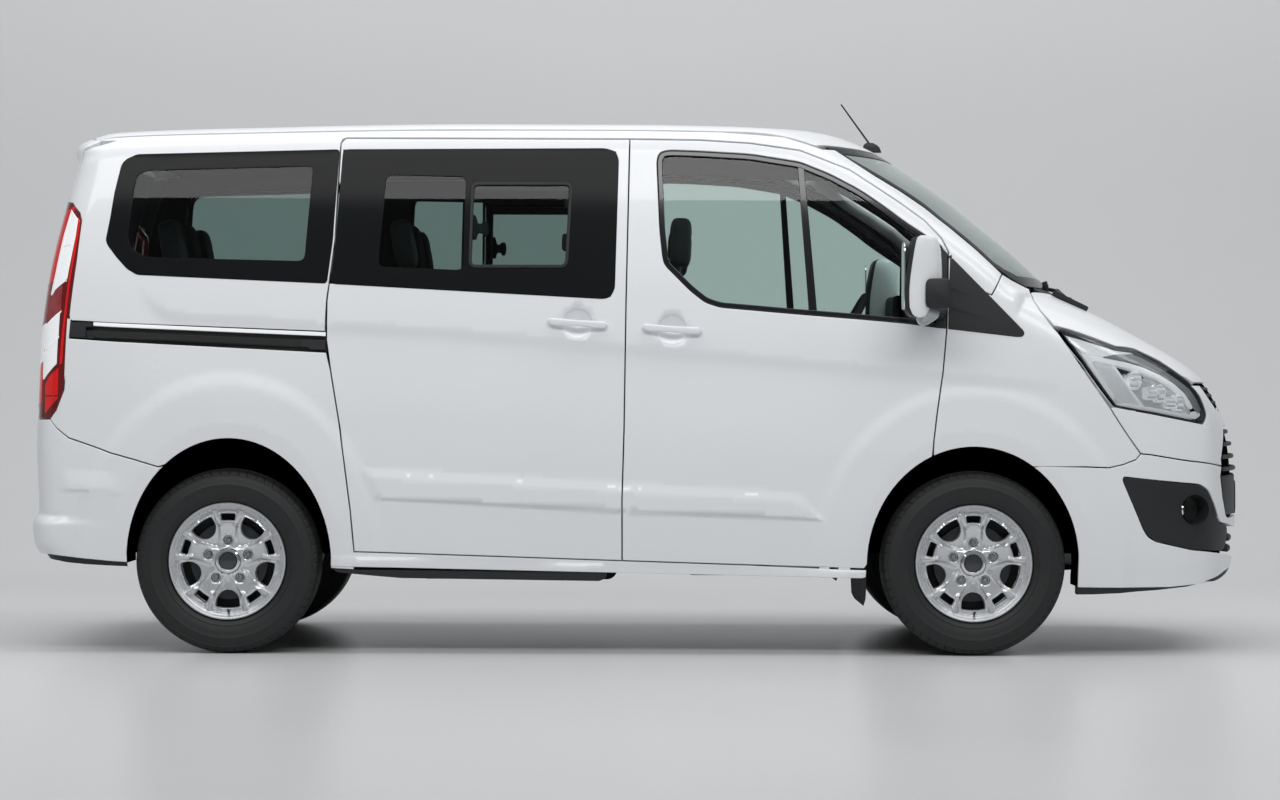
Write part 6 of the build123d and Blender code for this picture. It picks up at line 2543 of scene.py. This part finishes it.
@dataclass
class Cabin:
    """Seats, linings and steering wheel."""

    shop: Workshop
    wheel_radius: float = 0.185
    wheel_tube: float = 0.0148
    wheel_tilt: float = -62.0
    wheel_place: tuple[float, float, float] = (0.800, -0.470, 1.235)

    def linings(self) -> None:
        """Inner trims of the doors, sides, roof and tailgate."""
        belt, rear, top, skin = self.shop.belt, self.shop.rear_belt, self.shop.top, self.shop.skin
        common = {"gap": 0.0, "lip": 0.0, "rim": 0.0, "pitch": 0.06}
        hands = {"hands": tuple(Hand)}
        foot = arch_line(FRONT_ARCH, 113.5, 180.0, 12) + mm([(858, 334)])
        door = inset(FRONT_DOOR + foot + FRONT_DOOR_REAR, 0.030)
        skin("door_trim", belt, belt.side(door), Finishes.cabin, "door_{}",
             holes=[belt.side(inset(FRONT_WINDOW, -0.006))], depth=0.050, slot="cabin_plastic",
             **common, **hands)
        skin("door_frame_inner", belt, belt.side(inset(FRONT_WINDOW, -0.012)), Finishes.seal, "door_{}",
             holes=[belt.side(inset(FRONT_WINDOW, 0.018))], depth=0.030, **common, **hands)
        skin("sliding_door_trim", belt, belt.side(inset(SLIDING_DOOR, 0.030)), Finishes.cabin, "shell",
             holes=[belt.side(inset(SLIDING_PANE, -0.02)),
                    belt.side(mm([(-1010, 1860), (-700, 1855), (-705, 1475), (-1036, 1488)]))], depth=0.050,
             slot="cabin_plastic", **common, **hands)
        quarter = mm([(-1228, 890), (-1215, 1100), (-1235, 1990), (-2070, 1985), (-2170, 1700), (-2200, 1200),
                      (-2200, 960), (-2090, 890)])
        skin("quarter_trim", belt, belt.side(quarter), Finishes.cabin, "shell",
             holes=[belt.side(inset(soften(QUARTER_CLEAR, 0.03), -0.02))], depth=0.055, slot="cabin_plastic",
             **common, **hands)
        roof = [(0.86, 0.0), (0.84, -0.55), (0.72, -0.70), (0.56, -0.82), (-2.00, -0.80), (-2.06, -0.66),
                (-2.09, -0.5), (-2.09, 0.5), (-2.06, 0.66), (-2.00, 0.80), (0.56, 0.82), (0.72, 0.70),
                (0.84, 0.55)]
        # near-black lining: painted shade under the roof of the cabin
        skin("roof_lining", top, roof, Finishes.lining, "shell", depth=0.066, **common)
        window = mirrored_outline(TAIL_WINDOW)
        gate = mirrored_outline([(0.0, 1.96), (0.66, 1.94), (0.735, 1.80), (0.755, 1.2), (0.745, 0.62),
                                 (0.0, 0.60)])
        skin("tailgate_trim", rear, gate, Finishes.cabin, "tail_lid",
             holes=[inset(soften(window, 0.04), 0.045)], depth=0.040, slot="cabin_plastic", **common)

    def steering(self) -> None:
        """Rim, hub with three arms, and column cowl."""
        def place(bm: Mesh) -> Mesh:
            """Tilt a part with the column and set it at the wheel's place.

            Args:
                bm: the part.

            Returns:
                The same part, in place.
            """
            rotate(bm, self.wheel_tilt, "Y")
            shift(bm, self.wheel_place)
            return bm

        rim = bmesh.new()
        radius, tube = self.wheel_radius, self.wheel_tube
        ring = [rim.verts.new((radius + tube * math.cos(a), 0.0, tube * math.sin(a)))
                for a in np.linspace(0, math.tau, 17)[:-1]]
        edges = [rim.edges.new((ring[k], ring[(k + 1) % 16])) for k in range(16)]
        bmesh.ops.spin(rim, geom=ring + edges, cent=(0, 0, 0), axis=(0, 0, 1), dvec=(0, 0, 0), angle=math.tau,
                       steps=64, use_merge=True, use_duplicate=False)
        self.shop.piece("steering_rim", place(rim), Finishes.cabin, "shell", replaces=["steering_wheel"],
                        slot="cabin_plastic")
        hub = ring_loft([[(x * s, y * s, z) for x, y in squircle(0.075, 0.060, 0.6, 32)]
                         for s, z in ((0.80, -0.020), (1.0, -0.012), (1.0, 0.006), (0.86, 0.016))])
        self.shop.piece("steering_hub", place(hub), Finishes.cabin, "shell", sharp_angle=0.5)
        arms = bmesh.new()
        for angle in (-8.0, 188.0, 90.0):
            made = bmesh.ops.create_cube(arms, size=1.0)["verts"]
            bmesh.ops.scale(arms, vec=(0.130, 0.034, 0.012), verts=made)
            shift(arms, (0.118, 0.0, 0.0), made)
            rotate(arms, angle + 90.0, "Z", made)
        self.shop.piece("steering_arms", place(arms), Finishes.cabin, "shell", smooth=False)
        column = bmesh.new()
        made = bmesh.ops.create_cone(column, cap_ends=True, segments=24, radius1=0.040, radius2=0.028,
                                     depth=0.15)["verts"]
        shift(column, (0, 0, -0.095), made)
        self.shop.piece("steering_column", place(column), Finishes.cabin, "shell", sharp_angle=0.5)

    def build(self) -> None:
        """Make the cabin."""
        rows = (("front", "front_seats", 0.120, (-0.470, 0.470), 0.520, 2.5),
                ("middle", "second_row_seats", -0.830, (-0.520, 0.0, 0.520), 0.450, 14.0),
                ("rear", "third_row_seats", -1.760, (-0.440, 0.0, 0.440), 0.430, 14.0))
        for row, node, x, places, width, lean in rows:
            for number, y in enumerate(places):
                Seat(self.shop, f"{row}_{number}", node, x, y, width, lean).build()
        self.linings()
        self.steering()


# ---------------------------------------------------------------- scuttle, arches and underbody
@dataclass
class Scuttle:
    """Black panel at the foot of the screen with two parked wipers."""

    shop: Workshop

    def wiper(self, pivot: Vector, elbow: Vector, tip: Vector, start: Vector) -> Mesh:
        """One wiper: spindle cap, arm and blade along given points.

        Args:
            pivot: foot of the arm.
            elbow: bend of the arm.
            tip: far end of the blade.
            start: near end of the blade.

        Returns:
            The shape in place.
        """
        bm = bmesh.new()
        for a, b, wide, tall in ((pivot, elbow, 0.011, 0.009), (elbow, (tip + start) / 2, 0.008, 0.007),
                                 (start, tip, 0.006, 0.014)):
            along = b - a
            made = bmesh.ops.create_cube(bm, size=1.0)["verts"]
            bmesh.ops.scale(bm, vec=(along.length, wide * 2, tall * 2), verts=made)
            turn = along.to_track_quat("X", "Z").to_matrix()
            bmesh.ops.rotate(bm, matrix=turn, verts=made)
            shift(bm, (a + b) / 2, made)
        made = bmesh.ops.create_cone(bm, cap_ends=True, segments=20, radius1=0.020, radius2=0.016,
                                     depth=0.030)["verts"]
        shift(bm, pivot, made)
        made = bmesh.ops.create_cube(bm, size=1.0)["verts"]
        bmesh.ops.scale(bm, vec=(0.150, 0.055, 0.020), verts=made)
        rotate(bm, 26.0, "Y", made)
        shift(bm, pivot + Vector((0.010, 0.0, 0.000)), made)
        bmesh.ops.bevel(bm, geom=bm.edges[:], offset=0.0025, segments=2, affect="EDGES")
        return bm

    def build(self) -> None:
        """Make the scuttle panel and wipers."""
        shop, top = self.shop, self.shop.top
        y = np.linspace(0.0, 0.66, 12)
        back = [(arc_x(1.812, v), -v) for v in y]
        front = [(arc_x(1.848, v), -v) for v in y[::-1]]
        half = back + front
        outline = both_halves(half)
        shop.skin("scuttle_panel", top, outline, Finishes.trim, "shell", gap=0.001, lip=0.003, rim=0.02,
                  depth=0.004, pitch=0.03, replaces=["cowl"], slot="black_plastic")
        form = shop.form

        def on(x: float, y: float, lift: float) -> Vector:
            """A point above the form."""
            spot = form.meet(np.array([[x, y, 0.9]]), np.array([[0.0, 0.0, 1.0]]), 1.4)[0]
            return Vector((spot[0], spot[1], spot[2] + lift))

        for name, hand in (("wiper_driver", -1.0), ("wiper_passenger", 1.0)):
            base = on(1.690, 0.52 * hand, 0.006)
            bm = self.wiper(base, on(1.668, 0.32 * hand, 0.018), on(1.640, -0.22 * hand, 0.014),
                            on(1.618, 0.44 * hand, 0.012))
            shop.piece(name, bm, Finishes.trim, "shell", slot="black_plastic", sharp_angle=0.5)


@dataclass
class Arches:
    """Black liners inside the wheel openings."""

    shop: Workshop
    depths: tuple[float, float, float] = (0.014, 0.10, 0.27)
    margin: float = 0.005
    first_angle: float = -6.0

    def sheet(self, arch: Arch, low: float, high: float, foot: float | None) -> Mesh:
        """The liner from the panel's edge inward; a foot carries its front edge straight down.

        Args:
            arch: centre X and Z, half width and height.
            low: first angle in degrees.
            high: last angle in degrees.
            foot: height its front edge runs down to, or None.

        Returns:
            The right-hand shape.
        """
        rows = arch_line(arch, low, high, 60, self.margin)
        if foot is not None:
            rows = [(rows[0][0], foot), (rows[0][0], (foot + rows[0][1]) / 2)] + rows
        edge = self.shop.form.side_points(rows)
        bm = bmesh.new()
        lines = []
        for inward in self.depths:
            lines.append([bm.verts.new((p[0], p[1] + inward, p[2])) for p in edge])
        for a, b in zip(lines[:-1], lines[1:]):
            for k in range(len(a) - 1):
                bm.faces.new((a[k], a[k + 1], b[k + 1], b[k]))
        return bm

    def build(self) -> None:
        """Make the liners."""
        for name, arch, last, foot in (("front", FRONT_ARCH, 186.0, 0.264), ("rear", REAR_ARCH, 180.5, None)):
            self.shop.both(lambda _, a=arch, b=last, f=foot: self.sheet(a, self.first_angle, b, f),
                           f"arch_liner_{name}", Finishes.liner, "shell")


@dataclass
class Underside:
    """Door seals, side steps, mud flaps, mast and exhaust, and the finishes of the structure below."""

    shop: Workshop
    frame: dict
    exhaust_place: tuple[float, float, float] = (0.0, -0.600, 0.350)
    silencer_halves: tuple[float, float] = (0.075, 0.059)
    pipe_radius: float = 0.026
    pipe_length: float = 1.60
    mast_foot: tuple[float, float, float] = (0.934, 0.0, 2.044)
    mast_tip: tuple[float, float, float] = (0.816, 0.0, 2.207)

    def seals(self) -> None:
        """Rubber strips deep in the door gaps."""
        belt = self.shop.belt
        for name, rows in (("rear", [(-90, 372), (-78, 598), (-71, 867), (-65, 1368), (-53, 1985)]),
                           ("front", [(1100, 800), (1135, 949), (1155, 1083), (1170, 1256), (1175, 1411),
                                      (1176, 1545), (1089, 1680), (802, 1878), (609, 1953), (220, 1992),
                                      (-40, 1995)])):
            line = np.array(mm(rows))
            along = np.gradient(line, axis=0)
            along /= np.linalg.norm(along, axis=1, keepdims=True)
            across = np.stack([-along[:, 1], along[:, 0]], 1) * 0.014
            outline = [tuple(r) for r in line + across] + [tuple(r) for r in (line - across)[::-1]]
            self.shop.skin(f"door_seal_{name}", belt, belt.side(outline), Finishes.seal, "shell", gap=0,
                           lip=0, rim=0.02, depth=0.020, pitch=0.04, hands=tuple(Hand),
                           replaces=["door_seals"], slot="black_plastic")

    def steps(self) -> None:
        """Side steps below the sliding doors and flaps behind the front wheels."""
        belt = self.shop.belt
        step = mm([(-1203, 332), (-1106, 322), (-143, 318), (-135, 297), (-162, 281), (-933, 290),
                   (-1180, 312)])
        self.shop.skin("side_step", belt, belt.side(soften(step, 0.008)), Finishes.trim, "shell", gap=0,
                       lip=0.004, rim=0.07, depth=0.008, pitch=0.03, hands=tuple(Hand),
                       replaces=["side_steps"], slot="black_plastic")
        flap = mm([(840, 303), (868, 303), (868, 250), (866, 214), (858, 188), (846, 214)])
        self.shop.skin("mud_flap", belt, belt.side(flap), Finishes.seal, "shell", gap=0, lip=0.002, rim=0.16,
                       depth=0.010, pitch=0.02, hands=tuple(Hand), replaces=["mud_flaps"],
                       slot="black_plastic")
        foot = mm([(-1200, 352), (-1112, 350), (-1112, 326), (-1200, 330)])
        self.shop.skin("sill_end", belt, belt.side(foot), Finishes.paint, "shell", gap=0, lip=0.002, rim=0.03,
                       depth=0.004, pitch=0.03, hands=tuple(Hand))

    def mast(self) -> None:
        """Roof aerial: a rubber foot and a leaning mast."""
        oval = squircle(0.034, 0.015, 1.0, 28)
        foot = ring_loft([[(x * s + 0.940 - z * 0.4, y * s, 2.034 + z) for x, y in oval]
                          for s, z in ((1.0, -0.026), (1.0, -0.004), (0.80, 0.006), (0.42, 0.014))])
        self.shop.piece("aerial_foot", foot, Finishes.seal, "shell", replaces=["antenna"], slot="rod_black",
                        sharp_angle=0.8)
        low, high = Vector(self.mast_foot), Vector(self.mast_tip)
        rod = bmesh.new()
        made = bmesh.ops.create_cone(rod, cap_ends=True, segments=14, radius1=0.0042, radius2=0.0030,
                                     depth=(high - low).length)["verts"]
        bmesh.ops.rotate(rod, matrix=(high - low).to_track_quat("Z", "Y").to_matrix(), verts=made)
        shift(rod, (low + high) / 2, made)
        self.shop.piece("aerial_mast", rod, Finishes.seal, "shell", sharp_angle=0.8)

    def exhaust(self) -> None:
        """Flattened silencer on its long pipe."""
        _, y, z = self.exhaust_place
        wide, tall = self.silencer_halves
        drum = ring_loft([[(x, a + y, z + b) for a, b in squircle(wide * s, tall * s, 0.9, 36)]
                          for x, s in ((0.180, 0.35), (0.182, 0.90), (0.196, 1.0), (0.684, 1.0),
                                       (0.698, 0.90), (0.700, 0.35))])
        self.shop.piece("exhaust_silencer", drum, Finishes.pipe, "shell", replaces=["exhaust"],
                        sharp_angle=0.6)
        pipe = bmesh.new()
        made = bmesh.ops.create_cone(pipe, cap_ends=True, segments=24, radius1=self.pipe_radius,
                                     radius2=self.pipe_radius, depth=self.pipe_length)["verts"]
        rotate(pipe, 90.0, "Y", made)
        shift(pipe, self.exhaust_place, made)
        self.shop.piece("exhaust_pipe", pipe, Finishes.pipe, "shell", sharp_angle=0.6)

    def finishes(self) -> None:
        """Put a finish on each kept CAD node."""
        table = {"wheelhouses": Finishes.liner, "floor_pan": Finishes.underbody,
                 "chassis_rails": Finishes.underbody, "bulkhead": Finishes.underbody,
                 "front_subframe": Finishes.chassis_black, "rear_axle": Finishes.chassis_black,
                 "engine_block": Finishes.steel, "fuel_tank": Finishes.tank, "exhaust": Finishes.pipe,
                 "knuckle_right": Finishes.steel, "knuckle_left": Finishes.steel, "dashboard": Finishes.cabin}
        for name, finish in table.items():
            node = self.frame["nodes"].get(name)
            if node is None:
                LOG.info("no node %s", name)
                continue
            for slot in node.material_slots:
                slot.material = finish.build()

    def build(self) -> None:
        """Make the trim below and finish the structure."""
        self.seals()
        self.steps()
        self.mast()
        self.exhaust()
        self.finishes()


# ---------------------------------------------------------------- stage
class Studio:
    """Pale floor, soft lights and camera."""

    camera_x, camera_y, camera_z = -0.010, -14.2, 0.983
    roll = 0.2
    lens, sensor = 96.67, 36.0

    def floor(self) -> None:
        """Pale floor that sweeps up into a backdrop on the far side."""
        bend, radius, near = 4.2, 4.5, -17.0
        turns = np.linspace(0.05, math.pi / 2, 30)
        sweep = [(radius * math.sin(a), radius - radius * math.cos(a)) for a in turns]
        sweep += [(radius, 12.0), (radius, 24.0)]
        rows = [(near - y, z) for y, z in sweep[::-1]] + [(near, 0.0), (-6.0, 0.0), (0.0, 0.0), (bend, 0.0)]
        rows += [(bend + y, z) for y, z in sweep]
        bm = bmesh.new()
        spots = [bm.verts.new((-40.0, y, z)) for y, z in rows]
        edges = [bm.edges.new(pair) for pair in zip(spots[:-1], spots[1:])]
        made = bmesh.ops.extrude_edge_only(bm, edges=edges)["geom"]
        shift(bm, (80.0, 0.0, 0.0), [v for v in made if isinstance(v, bmesh.types.BMVert)])
        bm.normal_update()
        bm.faces.ensure_lookup_table()
        if min(bm.faces, key=lambda face: abs(face.calc_center_median().y)).normal.z < 0:
            bmesh.ops.reverse_faces(bm, faces=bm.faces)
        for face in bm.faces:
            face.smooth = True
        mesh = bpy.data.meshes.new("studio_floor")
        bm.to_mesh(mesh)
        bm.free()
        mesh.materials.append(Finishes.floor.build())
        obj = bpy.data.objects.new("studio_floor", mesh)
        bpy.context.scene.collection.objects.link(obj)

    def world(self) -> None:
        """Light grey surround with its own colour for the camera."""
        world = bpy.data.worlds.new("studio")
        bpy.context.scene.world = world
        world.use_nodes = True
        tree = world.node_tree
        tree.nodes.clear()
        ray = add_node(tree, "ShaderNodeLightPath")
        seen = add_node(tree, "ShaderNodeBackground", {"Color": tone("#CDCED0"), "Strength": 1.0})
        lit = add_node(tree, "ShaderNodeBackground", {"Color": tone("#DADCDF"), "Strength": 0.38})
        pick = add_node(tree, "ShaderNodeMixShader", {},
                        {0: ray.outputs["Is Camera Ray"], 1: lit.outputs[0], 2: seen.outputs[0]})
        add_node(tree, "ShaderNodeOutputWorld", {}, {"Surface": pick.outputs[0]})

    def light(self, name: str, place: Vector, aim: Vector, size: tuple[float, float], power: float) -> None:
        """One rectangular soft light aimed at a point.

        Args:
            name: the light's name.
            place: where it hangs.
            aim: the point it faces.
            size: its width and height.
            power: its power in watts.
        """
        data = bpy.data.lights.new(name, "AREA")
        data.shape = "RECTANGLE"
        data.size, data.size_y = size
        data.energy = power
        obj = bpy.data.objects.new(name, data)
        obj.location = place
        obj.rotation_euler = (aim - place).to_track_quat("-Z", "Y").to_euler()
        obj.visible_camera = False
        bpy.context.scene.collection.objects.link(obj)

    def camera(self) -> None:
        """Long-lens camera square to the right side."""
        data = bpy.data.cameras.new("camera")
        data.lens, data.sensor_width = self.lens, self.sensor
        data.clip_end = 500.0
        obj = bpy.data.objects.new("camera", data)
        obj.location = (self.camera_x, self.camera_y, self.camera_z)
        obj.rotation_euler = (math.radians(90.0), math.radians(-self.roll), 0.0)
        bpy.context.scene.collection.objects.link(obj)
        bpy.context.scene.camera = obj

    def build(self) -> None:
        """Set the stage."""
        self.floor()
        self.world()
        self.light("overhead", Vector((0.0, 0.3, 8.0)), Vector((0.0, 0.3, 0.0)), (16.0, 7.0), 320.0)
        self.light("camera_side", Vector((0.0, -8.0, 7.4)), Vector((0.0, 0.0, 1.2)), (14.0, 2.4), 560.0)
        self.light("wall_wash", Vector((0.0, -2.0, 9.0)), Vector((0.0, 8.7, 3.5)), (20.0, 3.0), 500.0)
        self.camera()
        bpy.context.scene.view_settings.view_transform = "Standard"


def main() -> None:
    """Build the vehicle on its frame."""
    logging.basicConfig(level=logging.INFO, format="%(message)s")
    for obj in list(bpy.data.objects):
        bpy.data.objects.remove(obj)
    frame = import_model()
    form = BodyForm()
    shop = Workshop(form)
    for builder in (BodyShell(shop), SideGlass(shop), Screens(shop), SideTrim(shop), Mirrors(shop),
                    Headlamps(shop), TailLamps(shop), NoseTrim(shop), RunningGear(shop), Cabin(shop),
                    Scuttle(shop), Arches(shop), Underside(shop, frame)):
        builder.build()
        LOG.info("%s: %d pieces so far", type(builder).__name__, shop.count)
    Studio().build()


if __name__ == "__main__":
    main()
